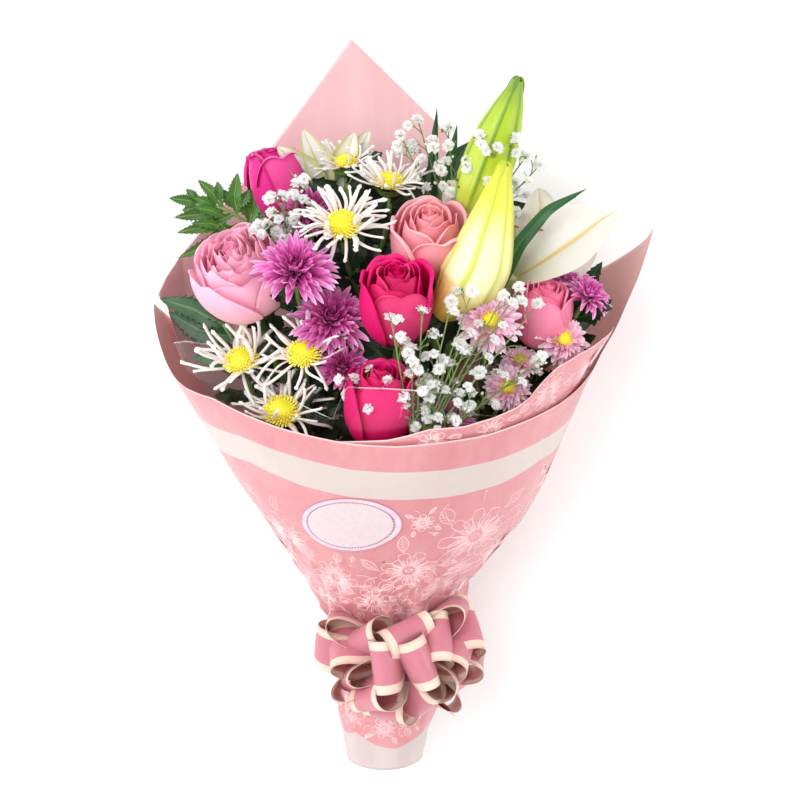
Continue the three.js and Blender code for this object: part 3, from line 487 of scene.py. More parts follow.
def cyl(rho, th, z):
    return np.stack([rho * np.cos(th), rho * np.sin(th), z], -1)


def bloom_axes(name, lean, turn=0.0):
    """The bloom sits on its own stem and nods from there toward the viewer by lean."""
    c, n, dia, h = BLOOMS[name]
    n = unit(n)
    n2 = unit(n + lean * CAM_DIR)
    foot = np.asarray(c, float) - n * h / 2
    return Axes(foot + n2 * h / 2, n2, turn), dia / 2, h


def rose_petal(geo, ax, R, h, th_c, f, half, rt, rb, zt, drop, roll, rip, i, mat, ruffle, tuck, tint, ns=25, nt=28, claw=0.10):
    """One rose petal: it rises from a narrow claw, swells with the cup, and its rim rolls out."""
    s = np.linspace(-1, 1, ns)[:, None]
    t = np.linspace(0, 1, nt)[None, :]
    body = np.clip(t / 0.82, 0, 1)
    e = np.clip((t - 0.82) / 0.18, 0, 1)
    notch = 0.035 * np.exp(-(s / 0.16) ** 2) * f
    tt = body * (1 - drop * np.abs(s) ** 4.2 - notch) + 0 * s
    zb = h * lerp(0.12, 0.02, f)

    def path(q):
        B = bez([R * claw, 0, -h * 0.47], [rb * 1.02, 0, -h * 0.47], [rb * 1.17, 0, zb], [rt, 0, zt], q)
        return B[..., 0], B[..., 2]
    rho, z = path(tt)
    q1 = 1 - drop * np.abs(s) ** 4.2 - notch
    r1, z1 = path(q1)
    r0, z0 = path(q1 - 0.04)
    dr, dz = r1 - r0, z1 - z0
    dl = np.hypot(dr, dz)
    dr, dz = dr / dl, dz / dl
    rc = R * roll[0] * (1 + 0.35 * rip(s * 1.6 + i, 0 * s + 2))
    phi = e * roll[1] * (1 - 0.15 * s ** 2) * (1 + 0.35 * rip(s * 1.1 + 2 * i, 0 * s))
    rho = rho + rc * (np.sin(phi) * dr + (1 - np.cos(phi)) * dz)
    z = z + rc * (np.sin(phi) * dz - (1 - np.cos(phi)) * dr)
    # soft folds, and waves near the rim
    rho = rho + R * (0.014 + 0.085 * ruffle) * rip(s * 1.8 + 3 * i, t * 1.7 + i) * t * (0.35 + f)
    z = z + h * (0.006 + 0.075 * ruffle) * rip(s * 3.2 + 5 * i, t * 0.8 + i) * t ** 4 + h * 0.020 * ruffle * np.sin(s * 11 + 3 * i) * t ** 8
    th_ = th_c + s * half * (0.80 + 0.20 * np.sin(np.pi * np.clip(t * 0.9, 0, 1))) + 0.05 * rip(t * 2 + i, 0 * s) * t
    rho = np.maximum(rho * (1 + tuck * s * np.clip(t * 2, 0, 1)), R * 0.02)
    # painted light in the tone: the rolled rim (e) is lifted as a painted edge highlight, and the petal foot and the
    # inner petals stay low, which the darker ramps turn into painted shade deep in the folds
    tone = np.clip(0.02 + 0.70 * tt + 0.22 * e * (0.5 + 0.5 * f) + 0.10 * (f - 0.5), 0, 1) + 0 * s
    geo.grid(ax(cyl(rho, th_, z)), mat, tone=tone, tint=tint,
             uv=np.stack(np.broadcast_arrays((s + 1) / 2 + i * 0.37, t), -1))


def rose(geo, name, seed, open_=0.5, turn=0.0, lean=0.3, ruffle=0.0, layers=None, mat=0, green=1, heart=1.0):
    ax, R, h = bloom_axes(name, lean, turn)
    rng = np.random.default_rng(seed)
    rip = Ripple(seed, 7, 2, 1.2, 3.4)
    # heart: two petals wound on each other
    for k in range(2):
        m, q = 84, 14
        a = np.linspace(0, 1, m)[:, None]
        b = np.linspace(0, 1, q)[None, :]
        th = a * 2 * math.pi * 1.7 + k * math.pi + seed
        r = R * heart * (0.030 + 0.190 * a) * (1 + 0.16 * np.sin(b * math.pi * 0.8) - 0.16 * b ** 2 + 0.10 * b ** 8)
        top = h * (0.475 - 0.030 * a + 0.010 * np.sin(th * 1.5 + k))
        z = -h * 0.05 + (top + h * 0.05) * b
        geo.grid(ax(cyl(r, th, z)), mat, tone=0.20 + 0.55 * b + 0 * a, tint=0.35, uv=np.stack(np.broadcast_arrays(a * 3, b), -1))
    layers = layers or [(3, 0.12), (3, 0.30), (3, 0.50), (3, 0.72), (4, 0.97)]
    th0 = rng.uniform(0, 6.28)
    i = 0
    for cnt, f0 in layers:
        th0 += math.radians(62) + rng.uniform(-0.15, 0.15)
        for j in range(cnt):
            f = float(np.clip(f0 + rng.uniform(-0.035, 0.035), 0.02, 1.0))
            half = math.radians(lerp(104, 64, f ** 0.8)) * rng.uniform(0.94, 1.06) * (3.4 / cnt if cnt > 4 else 1)
            w_ = rng.uniform(0.94, 1.05)
            rb = R * lerp(0.20, 0.96, f) * w_
            rt = R * lerp(0.12, 0.80, f ** 1.05) * (1 + 0.22 * open_ * f ** 2) * w_
            zt = h * (0.465 - 0.035 * f - (0.03 + 0.18 * open_) * f ** 2.2) * rng.uniform(0.965 - 0.05 * ruffle, 1.02) * (1 - 0.06 * ruffle * rng.uniform(0, 1))
            drop = lerp(0.08, 0.34, f)
            soft = 1 - 0.45 * min(1.0, ruffle)
            roll = (lerp(0.014, 0.092, f ** 0.8) * (0.8 + 0.4 * open_) * soft, lerp(0.8, 2.5, f ** 0.7) * rng.uniform(0.7, 1.1) * soft)
            rose_petal(geo, ax, R, h, th0 + j * 2 * math.pi / cnt + rng.normal(0, 0.09), f, half, rt, rb, zt, drop, roll, rip, i, mat,
                       ruffle * (1.4 - f), 0.075 * (1 - 0.35 * f), rng.uniform(0, 1))
            i += 1
    return ax, R, h, rng, rip, i


def calyx(geo, ax, R, h, rng, green=1):
    k = 14
    th = np.linspace(0, 2 * np.pi, k, endpoint=False)[:, None]
    zz = np.array([-0.50, -0.495, -0.47, -0.43, -0.39])[None, :] * h
    rr = np.array([2.6, 4.6, 6.2, 6.4, 5.6])[None, :] * (R / 27)
    geo.grid(ax(cyl(rr + 0 * th, th, zz + 0 * th)), green, tone=0.4, tint=0.4, closed=True)
    for j in range(5):
        a0 = j * 2 * np.pi / 5 + rng.uniform(-0.15, 0.15)
        u_ = np.linspace(0, 1, 14)[None, :]
        w_ = np.linspace(-1, 1, 7)[:, None]
        wid = 0.40 * (1 - u_ ** 1.4) + 0.02
        r_ = R * (0.16 + 0.62 * np.sin(u_ * 1.45)) + R * 0.05 + R * 0.10 * rng.uniform(0.2, 1) * u_ ** 3
        z_ = -h * 0.455 + h * 0.26 * u_ ** 1.8 * rng.uniform(0.6, 1.0) - 0.015 * h * (w_ ** 2)
        geo.grid(ax(cyl(np.maximum(r_, R * 0.12) + 0 * w_, a0 + w_ * wid, z_ + 0 * w_)), green, tone=0.4, tint=rng.uniform(0.2, 0.8))


def strap(geo, ax, th, path, width, mat=0, tint=0.5, cup=0.25, ns=5, tone=None, tip=0.5, twist=0.0, side=0.0, uoff=0.0, base=0.45, point=0.0, rim=0.0):
    """Narrow petal: path rows of (rho, z) at heading th, half width over its length, a channel
    of depth cup times the width, a rounded tip, and a sideways drift."""
    path = np.asarray(path, float)
    nt = len(path)
    t = np.linspace(0, 1, nt)[None, :]
    s = np.linspace(-1, 1, ns)[:, None]
    w = width * (base + (1 - base) * np.sin(np.pi * np.clip(t * 0.5 / max(tip, 0.01), 0, 1) * 1.0 if tip >= 0.5 else np.pi * np.clip(t * 0.62, 0, 1)))
    w = w * np.sqrt(np.clip(1 - np.clip((t - 0.86) / 0.14, 0, 1) ** 2.2, 0.02, 1))
    w = w * (1 - point * np.clip((t - 0.5) / 0.5, 0, 1) ** 1.4)
    d = np.gradient(path, axis=0)
    d /= np.maximum(np.linalg.norm(d, axis=1, keepdims=True), 1e-9)
    nr, nz = -d[:, 1][None, :], d[:, 0][None, :]
    off = cup * w * (np.abs(s) ** 1.7)
    rho = path[:, 0][None, :] + nr * off
    z = path[:, 1][None, :] + nz * off
    lat = s * w * math.cos(twist) + side * t ** 1.5
    e_r, e_t = np.array([math.cos(th), math.sin(th)]), np.array([-math.sin(th), math.cos(th)])
    P = np.stack([rho * e_r[0] + lat * e_t[0], rho * e_r[1] + lat * e_t[1], z + s * w * math.sin(twist)], -1)
    if tone is None:
        tone = t + 0 * s
    tone = np.clip(tone + rim * np.abs(s) ** 3, 0, 1)
    geo.grid(ax(P), mat, tone=np.broadcast_to(tone, (ns, nt)), tint=tint,
             uv=np.stack(np.broadcast_arrays((s + 1) / 2 + uoff, t), -1), closed=False)


def sweep(start, ang, length):
    """Points of a path that leaves start at the angles ang above the flat, evenly spaced."""
    d = np.stack([np.cos(ang), np.sin(ang)], 1) * (length / (len(ang) - 1))
    return np.vstack([start, d[:-1]]).cumsum(0)


def mum(geo, name, seed, rings=7, mat=0, green=1, lean=0.35, wide=1.0, turn=0.0, dark=0.16):
    """Chrysanthemum: loose rings of cupped petals with blunt tips, the outer ones spread wide and
    the inner ones standing round a small dark heart."""
    ax, R, h = bloom_axes(name, lean, turn)
    rng = np.random.default_rng(seed)
    for k in range(rings):
        f = k / (rings - 1)
        count = int(round(lerp(10, 31, f ** 0.7)))
        for j in range(count):
            th = (j + 0.5 * (k % 2)) * 2 * math.pi / count + rng.normal(0, 0.11)
            l = R * lerp(0.30, 0.99, f ** 0.72) * rng.uniform(0.84, 1.06)
            u = np.linspace(0, 1, 15)
            a0 = math.radians(lerp(78, 6, f ** 0.8) + rng.normal(0, 7))
            # most tips turn up and in, a few of the outer ones hang
            bend = math.radians(lerp(-34, -6, f) + rng.normal(0, 15)) if rng.random() > 0.22 * f else math.radians(34 + rng.normal(0, 10))
            path = sweep([R * (0.06 + 0.10 * f), -h * 0.34 + h * 0.16 * (1 - f)], a0 - bend * u ** 1.6, l)
            tone = 0.02 + (0.40 + 0.24 * f) * u + 0.18 * f + 0.16 * u ** 4 - dark * (1 - f) ** 1.5
            strap(geo, ax, th, path, wide * R * lerp(0.062, 0.094, f) * rng.uniform(0.86, 1.14), mat, tint=rng.uniform(0, 1), cup=0.75,
                  tone=np.clip(tone, 0, 1)[None, :], side=rng.normal(0, 0.12) * l, uoff=j * 0.31, base=0.50, point=0.06, rim=0.34, ns=7, twist=rng.normal(0, 0.22))
    # closed florets in the very middle
    for j in range(16):
        th = j * 2.39996
        q = math.sqrt((j + 0.5) / 16)
        path = sweep([R * 0.12 * q, -h * 0.16], np.radians(np.linspace(84, 118, 7)), R * 0.20)
        strap(geo, ax, th, path, R * 0.034, mat, tint=0.2, cup=0.8, tone=0.0 + 0.14 * np.linspace(0, 1, 7)[None, :], base=0.6, point=0.3)
    underside(geo, ax, R, h, green, rng)


def underside(geo, ax, R, h, green, rng, share=0.42):
    """Green cup of small bracts that closes a composite flower below."""
    k = 16
    th = np.linspace(0, 2 * np.pi, k, endpoint=False)[:, None]
    zz = np.array([-0.50, -0.49, -0.44, -0.36, -0.27])[None, :] * h
    rr = np.array([0.10, 0.22, 0.36, 0.43, 0.42])[None, :] * R * share / 0.42
    geo.grid(ax(cyl(rr + 0 * th, th, zz + 0 * th)), green, tone=0.4, tint=0.4, closed=True)
    for row in range(3):
        for j in range(14):
            a0 = (j + 0.5 * row) * 2 * np.pi / 14
            u_ = np.linspace(0, 1, 5)[None, :]
            w_ = np.linspace(-1, 1, 3)[:, None]
            r_ = R * share * (0.55 + 0.22 * row + 0.42 * u_)
            z_ = h * (-0.46 + 0.055 * row + 0.15 * u_)
            geo.grid(ax(cyl(r_ + 0 * w_, a0 + w_ * 0.20 * (1 - u_ ** 2), z_ + 0 * w_)), green, tone=0.3 + 0.3 * u_ + 0 * w_, tint=rng.uniform(0.2, 0.8))


def disc(geo, ax, r, z0, dome, count, mat, rng, size=0.13, tone0=0.0):
    """Heart of a daisy: small florets laid out on a sunflower spiral."""
    k = 14
    th = np.linspace(0, 2 * np.pi, k, endpoint=False)[:, None]
    a = np.linspace(0, 1, 6)[None, :]
    geo.grid(ax(cyl(r * (1 - a * 0.98) + 0 * th, th, z0 + dome * (1 - (1 - a) ** 2) + 0 * th)), mat, tone=0.15, tint=0.5, closed=True)
    for i in range(count):
        q = math.sqrt((i + 0.5) / count)
        th_ = i * 2.39996
        p = np.array([r * q * math.cos(th_), r * q * math.sin(th_), z0 + dome * (1 - q * q)])
        nrm = unit([p[0] * 0.9 * dome / r, p[1] * 0.9 * dome / r, r * 0.5 + 0.01])
        sz = r * size * lerp(0.75, 1.15, q) * rng.uniform(0.85, 1.15)
        tip = p + nrm * sz * lerp(1.1, 2.2, q) + rng.normal(0, 0.06, 3) * r * 0.3
        sd = perp(nrm)
        up = np.cross(nrm, sd)
        m = 5
        ang = np.arange(m) / m * 2 * np.pi
        ring0 = p + sz * 0.5 * (np.cos(ang)[:, None] * sd + np.sin(ang)[:, None] * up)
        ring1 = tip + sz * 0.55 * (np.cos(ang)[:, None] * sd + np.sin(ang)[:, None] * up)
        top = np.repeat((tip + nrm * sz * 0.35)[None], m, 0)
        geo.grid(ax(np.stack([ring0, ring1, top], 1)), mat, tone=np.array([0.25, 0.9, 1.0])[None, :] * lerp(0.9, 0.75, q) + 0 * ang[:, None] + tone0, tint=rng.uniform(0, 1), closed=True)


def heart_dome(geo, ax, r, z0, dome, count, mat, rng, core=0.25, loose=0.10):
    """Raised yellow heart: short tubes packed on a spiral, still closed and green in the middle."""
    k = 18
    th = np.linspace(0, 2 * np.pi, k, endpoint=False)[:, None]
    a = np.linspace(0, 1, 8)[None, :]
    rr = r * 0.94 * np.cos(a * math.pi / 2 * 0.99)
    zz = z0 + dome * 0.92 * np.sin(a * math.pi / 2)
    geo.grid(ax(cyl(rr + 0 * th, th, zz + 0 * th)), mat, tone=0.25, tint=0.5, closed=True)
    for i in range(count):
        q = math.sqrt((i + 0.5) / count)
        th_ = i * 2.39996
        el = q * math.pi / 2 * 0.98
        p = np.array([r * math.sin(el) * math.cos(th_), r * math.sin(el) * math.sin(th_), z0 + dome * math.cos(el) - dome * core * 0.5 * math.exp(-(q / 0.32) ** 2)]) * 1.0
        nrm = unit([math.sin(el) * math.cos(th_), math.sin(el) * math.sin(th_), math.cos(el) + 0.35])
        sz = r * 1.45 / math.sqrt(count) * lerp(0.62, 1.12, q) * rng.uniform(0.85, 1.15)
        tip = p + nrm * sz * lerp(0.8, 2.1, q) * rng.uniform(0.8, 1.25) + rng.normal(0, loose, 3) * sz
        sd = perp(nrm)
        up = np.cross(nrm, sd)
        m = 5
        ang = np.arange(m) / m * 2 * np.pi + i
        c0, s0 = np.cos(ang)[:, None], np.sin(ang)[:, None]
        ring0 = p - nrm * sz * 0.5 + sz * 0.42 * (c0 * sd + s0 * up)
        ring1 = tip + sz * 0.58 * (c0 * sd + s0 * up)
        ring2 = tip + nrm * sz * 0.10 + sz * 0.30 * (c0 * sd + s0 * up)
        top = np.repeat((tip - nrm * sz * 0.15)[None], m, 0)
        tn = lerp(0.30, 0.88, min(1, q * 1.5))
        geo.grid(ax(np.stack([ring0, ring1, ring2, top], 1)), mat, tone=np.array([0.5, 1.0, 0.9, 0.55])[None, :] * tn + 0 * ang[:, None], tint=rng.uniform(0, 1), closed=True)


def daisy(geo, name, seed, rings=5, mat=0, heart=1, green=2, turn=0.0, lean=0.4, push=0.0):
    ax, R, h = bloom_axes(name, lean, turn)
    ax.c = ax.c + push * CAM_DIR
    rng = np.random.default_rng(seed)
    for k in range(rings):
        f = k / (rings - 1)
        count = int(lerp(22, 30, f))
        for j in range(count):
            th = (j + 0.5 * (k % 2)) * 2 * math.pi / count + rng.normal(0, 0.06)
            l = R * lerp(0.36, 0.88, f ** 0.85) * rng.uniform(0.92, 1.05)
            u = np.linspace(0, 1, 14)
            a0 = math.radians(lerp(58, 8, f ** 0.9) + rng.normal(0, 7))
            bend = math.radians(lerp(-10, 22, f) + rng.normal(0, 13))
            path = sweep([R * 0.15, -h * 0.22 + h * 0.12 * (1 - f)], a0 - bend * u ** 1.4, l)
            tone = 0.10 + 0.66 * u + 0.22 * f * u
            strap(geo, ax, th, path, R * lerp(0.076, 0.108, f) * rng.uniform(0.9, 1.1), mat, tint=rng.uniform(0, 1), cup=0.70,
                  tone=np.clip(tone, 0, 1)[None, :], side=rng.normal(0, 0.06) * l, uoff=j * 0.31, base=0.5, point=0.03, rim=0.24, ns=7, twist=rng.normal(0, 0.15))
    heart_dome(geo, ax, R * 0.33, -h * 0.06, h * 0.26, 130, heart, rng, core=1.3)
    underside(geo, ax, R, h, green, rng, 0.36)


def spider(geo, name, seed, mat=0, heart=1, green=2, turn=0.0, count=34, lean=0.6, lift=(6, 66), reach=1.0, hook=1.0, dome=0.36, flat=0.62, thin=0.45):
    """Spider chrysanthemum: a fat yellow heart and a loose crown of rolled quills, each ending
    in a small spoon."""
    ax, R, h = bloom_axes(name, lean, turn)
    rng = np.random.default_rng(seed)
    th = rng.uniform(0, 6)
    for i in range(count):
        f = i / (count - 1)
        th += 2.39996
        # fewer hang down in front of the heart
        if math.cos(th) > 0.45 and rng.random() < thin:
            continue
        l = R * rng.uniform(0.70, 1.04) * reach * lerp(0.84, 1.05, f) * (1 - 0.18 * max(0, math.cos(th)))
        a0 = math.radians(lerp(lift[1], lift[0], f ** 0.8) + rng.normal(0, 8))
        m = 16
        u = np.linspace(0, 1, m)
        bend = math.radians(rng.normal(10, 34))
        ang = a0 - bend * u ** 1.2 + math.radians(rng.normal(0, 14)) * np.sin(u * 3.1)
        ang = ang + hook * rng.choice([1, 1, -0.6]) * 1.5 * np.clip((u - 0.84) / 0.16, 0, 1) ** 2
        path = sweep([R * dome * 0.72, -h * 0.20], ang, l)
        side = rng.normal(0, 0.24) * l * u ** 1.8 + rng.normal(0, 0.06) * l * np.sin(u * 4)
        e_r, e_t = np.array([math.cos(th), math.sin(th)]), np.array([-math.sin(th), math.cos(th)])
        pts = np.stack([path[:, 0] * e_r[0] + side * e_t[0], path[:, 0] * e_r[1] + side * e_t[1], path[:, 1]], 1)
        w = R * 0.048 * (0.74 + 0.26 * np.sin(u * 3.1)) * rng.uniform(0.8, 1.2)
        w = w * (1 + rng.uniform(0.25, 0.85) * np.exp(-((u - 0.95) / 0.055) ** 2))
        w[-1] *= 0.45
        geo.tube(np.array([keep_in(p, 5.0) for p in ax(pts)]), w, 7, mat, tone=np.clip(0.12 + 0.95 * u, 0, 1), tint=rng.uniform(0, 1), squash=flat)
    heart_dome(geo, ax, R * dome, -h * 0.20, h * 0.40 * dome / 0.36, 190, heart, rng, core=1.1, loose=0.30)
    underside(geo, ax, R, h, green, rng, 0.34)


def lathe_bud(geo, spine, radii, seed, mat=0, ridges=3, deep=0.10, sides=72, rows=80, turn=0.0, side_green=0.0, rib_wide=1.0, seam_wide=1.0):
    """Lily bud: three broad outer tepals that meet in grooves, each with a raised midrib, and a
    nose where their tips close on each other."""
    spine, radii = np.asarray(spine, float), np.asarray(radii, float)
    s = np.concatenate([[0], np.cumsum(np.linalg.norm(np.diff(spine, axis=0), axis=1))])
    s /= s[-1]
    q = np.linspace(0, 1, rows) ** 0.9
    P = np.stack([np.interp(q, s, spine[:, k]) for k in range(3)], 1)
    for _ in range(10):
        P[1:-1] = 0.25 * P[:-2] + 0.5 * P[1:-1] + 0.25 * P[2:]
    r = np.interp(q, s, radii)
    for _ in range(8):
        r[1:-1] = 0.25 * r[:-2] + 0.5 * r[1:-1] + 0.25 * r[2:]
    d = np.gradient(P, axis=0)
    d /= np.linalg.norm(d, axis=1, keepdims=True)
    side = unit(CAM_DIR - d[0] * d[0].dot(CAM_DIR))
    ang = np.arange(sides) / sides * 2 * np.pi
    out = np.zeros((sides, rows, 3))
    rip = Ripple(seed, 6, 2, 1, 3)
    for i in range(rows):
        side = unit(side - d[i] * side.dot(d[i]))
        up = np.cross(d[i], side)
        a = ang + math.pi + turn
        ph = (a * ridges / (2 * np.pi)) % 1.0
        groove = np.exp(-(np.minimum(ph, 1 - ph) / 0.035) ** 2)
        rib = np.exp(-((ph - 0.5) / 0.032) ** 2)
        beside = np.exp(-((np.abs(ph - 0.5) - 0.085) / 0.035) ** 2)
        fine = np.cos(a * ridges * 8)
        k = math.sin(math.pi * min(1, 0.10 + q[i] * 0.86)) ** 0.5
        # three-sided toward the nose
        tri = 0.05 * np.cos(a * ridges + math.pi) * (0.3 + q[i])
        R = r[i] * (1 + tri - deep * groove * k + 0.055 * rib * k - 0.030 * beside * k + 0.006 * fine * k + 0.010 * rip(a, q[i] * 3))
        out[:, i] = P[i] + R[:, None] * (np.cos(ang)[:, None] * side + np.sin(ang)[:, None] * up)
    ph = (((ang[:, None] + math.pi + turn + 0 * q[None, :]) * ridges / (2 * np.pi)) % 1.0)
    near = np.minimum(ph, 1 - ph)
    # tint 1 on the midrib, 0 on the seam, 0.5 between
    mid = np.exp(-((ph - 0.5) / (rib_wide * (0.030 + 0.05 * np.clip(q[None, :] - 0.55, 0, 1)))) ** 2)
    mid = mid * (0.25 + 0.75 * smooth(0.05, 0.35, q[None, :]))
    turned = smooth(0.30, 0.52, np.abs(((ang[:, None] + math.pi + turn) / (2 * np.pi)) % 1.0 - 0.5) * 2) * side_green
    edge = np.maximum(np.exp(-(near / (0.10 * seam_wide)) ** 2) / seam_wide ** 0.5, turned * (1 - mid))
    geo.grid(out, mat, tone=q[None, :] + 0 * ang[:, None], tint=0.5 + 0.5 * mid - 0.5 * edge, closed=True,
             uv=np.stack(np.broadcast_arrays(ph, q[None, :]), -1))
    # the three tips stand a little proud at the nose
    for j in range(3):
        a = (j + 0.5) * 2 * np.pi / 3 - math.pi - turn
        i0 = rows - 9
        side_ = unit(side - d[-1] * side.dot(d[-1]))
        up_ = np.cross(d[-1], side_)
        o = math.cos(a) * side_ + math.sin(a) * up_
        pts = [P[i0] + o * r[i0] * 0.92, P[-4] + o * r[-4] * 1.0, P[-1] + o * r[-1] * 0.9 + d[-1] * 1.0, P[-1] + d[-1] * 2.4 + o * r[-1] * 0.2]
        geo.tube(bez(*[np.array(x) for x in pts], np.linspace(0, 1, 10)), np.array([0.5, 0.9, 1.2, 1.4, 1.5, 1.5, 1.5, 1.4, 1.1, 0.6]) * max(r[-1], 2.4) / 3.0, 8, mat, tone=0.98, tint=0.85)


def tepal(geo, spine, widths, face, seed, mat=0, ns=17, nt=30, ruffle=0.10, cup=0.12, keel=0.05, back=0.0):
    """Broad lily petal along a spine: channelled midrib, raised side ridges, wavy rim, recurved tip."""
    spine = np.asarray(spine, float)
    sp = np.concatenate([[0], np.cumsum(np.linalg.norm(np.diff(spine, axis=0), axis=1))])
    L = sp[-1]
    sp /= L
    q = np.linspace(0, 1, nt)
    P = np.stack([np.interp(q, sp, spine[:, k]) for k in range(3)], 1)
    for _ in range(8):
        P[1:-1] = 0.25 * P[:-2] + 0.5 * P[1:-1] + 0.25 * P[2:]
    w = np.interp(q, np.linspace(0, 1, len(widths)), widths) / 2
    for _ in range(5):
        w[1:-1] = 0.25 * w[:-2] + 0.5 * w[1:-1] + 0.25 * w[2:]
    w = w * np.sqrt(np.clip(1 - np.clip((q - 0.90) / 0.10, 0, 1) ** 2, 0.01, 1))
    N0 = unit(face)
    rip = Ripple(seed, 8, 2, 1.5, 4)
    s = np.linspace(-1, 1, ns)
    out = np.zeros((ns, nt, 3))
    d = np.gradient(P, axis=0)
    d /= np.linalg.norm(d, axis=1, keepdims=True)
    for i in range(nt):
        sd = unit(np.cross(d[i], N0))
        nn = np.cross(sd, d[i])
        a = np.abs(s)
        z = w[i] * (cup * a ** 2 - keel * np.exp(-(s / 0.10) ** 2) + 0.03 * np.exp(-((a - 0.35) / 0.12) ** 2))
        z = z + w[i] * ruffle * a ** 3 * rip(s * 0.6 + 1, q[i] * 9) * (1 if q[i] > 0.1 else 0)
        z = z - back * L * max(0, q[i] - 0.72) ** 2 * 3
        out[:, i] = P[i] + s[:, None] * w[i] * sd + z[:, None] * nn
    geo.grid(out, mat, tone=q[None, :] + 0 * s[:, None], tint=0.5,
             uv=np.stack(np.broadcast_arrays((s[:, None] + 1) / 2, q[None, :]), -1))


# ------------------------------------------------------------------ foliage, sprays, stems
def leaf(geo, spine, width, face, seed, mat=0, ns=11, nt=28, serrate=0.0, teeth=11, fold=0.22, wave=0.06, shape=(0.10, 1.0, 0.05), peak=0.42, curl=0.0):
    """Leaf blade along a spine, folded along the midrib, with a serrated or plain edge."""
    spine = np.asarray(spine, float)
    sp = np.concatenate([[0], np.cumsum(np.linalg.norm(np.diff(spine, axis=0), axis=1))])
    L = sp[-1]
    sp /= L
    q = np.linspace(0, 1, nt)
    P = np.stack([np.interp(q, sp, spine[:, k]) for k in range(3)], 1)
    for _ in range(6):
        P[1:-1] = 0.25 * P[:-2] + 0.5 * P[1:-1] + 0.25 * P[2:]
    lo = np.interp(q, [0, peak], [0, 1])
    w = np.where(q < peak, shape[0] + (1 - shape[0]) * np.sin(lo * math.pi / 2) ** 0.8,
                 np.cos(np.clip((q - peak) / (1 - peak), 0, 1) * math.pi / 2) ** 0.85) * width / 2
    w = np.maximum(w, 0.25)
    saw = ((q * teeth) % 1.0)
    w_edge = w * (1 - serrate * saw)
    N0 = unit(face)
    rip = Ripple(seed, 7, 2, 1.2, 3.2)
    s = np.linspace(-1, 1, ns)
    out = np.zeros((ns, nt, 3))
    d = np.gradient(P, axis=0)
    d /= np.maximum(np.linalg.norm(d, axis=1, keepdims=True), 1e-9)
    for i in range(nt):
        sd = unit(np.cross(d[i], N0))
        nn = np.cross(sd, d[i])
        a = np.abs(s)
        ww = w[i] * (1 - a ** 6) + w_edge[i] * a ** 6
        z = w[i] * (fold * a + curl * a ** 2) + w[i] * wave * rip(s + seed, q[i] * 6) * 2 * a
        out[:, i] = P[i] + (s * ww)[:, None] * sd + z[:, None] * nn + sd * 0.0
    rng = np.random.default_rng(seed)
    geo.grid(out, mat, tone=q[None, :] + 0 * s[:, None], tint=rng.uniform(0, 1),
             uv=np.stack(np.broadcast_arrays((s[:, None] + 1) / 2, q[None, :]), -1))


def floret(geo, p, axis, r, seed, mat=0, green=1, petals=None):
    """Baby's breath floret: two or three whorls of minute petals in a green cup."""
    rng = np.random.default_rng(seed)
    ax = Axes(p, axis, rng.uniform(0, 6))
    for k, (cnt, l, lift) in enumerate(((10, 0.98, -0.10), (10, 1.0, 0.30), (9, 0.94, 0.68), (7, 0.86, 1.05), (4, 0.74, 1.40))):
        for j in range(cnt):
            th = (j + 0.5 * k) * 2 * math.pi / cnt + rng.normal(0, 0.25)
            u = np.linspace(0, 1, 5)
            ll = r * l * rng.uniform(0.80, 1.12)
            a = lift + rng.normal(0, 0.16)
            rho = r * 0.04 + ll * math.cos(a) * u
            z = -r * 0.24 + ll * 0.92 * math.sin(a) * u + r * 0.16 * np.sin(u * 2.8) + r * 0.10 * rng.uniform(-1, 1) * u ** 2
            w = r * 0.27 * np.array([0.35, 0.8, 1.1, 1.12, 0.7])[None, :]
            s = np.array([-1., -0.5, 0, 0.5, 1])[:, None]
            e_r, e_t = np.array([math.cos(th), math.sin(th)]), np.array([-math.sin(th), math.cos(th)])
            lat = s * w
            rr = rho[None, :] + r * 0.05 * np.cos(s * 6) * (u[None, :] > 0.9)
            zz = z[None, :] + 0.40 * w * s ** 2 * rng.uniform(0.2, 1.3) + r * 0.05 * rng.normal(0, 1, (5, 1)) * u[None, :] ** 2
            P = np.stack([rr * e_r[0] + lat * e_t[0], rr * e_r[1] + lat * e_t[1], zz], -1)
            geo.grid(ax(P), mat, tone=0.30 + 0.70 * u[None, :] + 0 * s, tint=rng.uniform(0, 1))
    th = np.linspace(0, 2 * np.pi, 6, endpoint=False)[:, None]
    zz = np.array([-0.62, -0.48, -0.22])[None, :] * r
    rr = np.array([0.10, 0.26, 0.30])[None, :] * r
    geo.grid(ax(cyl(rr + 0 * th, th, zz + 0 * th)), green, tone=0.5, tint=0.5, closed=True)


def budlet(geo, p, axis, r, mat=1):
    ax = Axes(p, axis)
    th = np.linspace(0, 2 * np.pi, 6, endpoint=False)[:, None]
    zz = np.array([-1.0, -0.6, 0.1, 0.8, 1.1])[None, :] * r
    rr = np.array([0.2, 0.8, 1.0, 0.6, 0.1])[None, :] * r * 0.8
    geo.grid(ax(cyl(rr + 0 * th, th, zz + 0 * th)), mat, tone=0.6 + 0.4 * np.linspace(0, 1, 5)[None, :] + 0 * th, tint=0.5, closed=True)


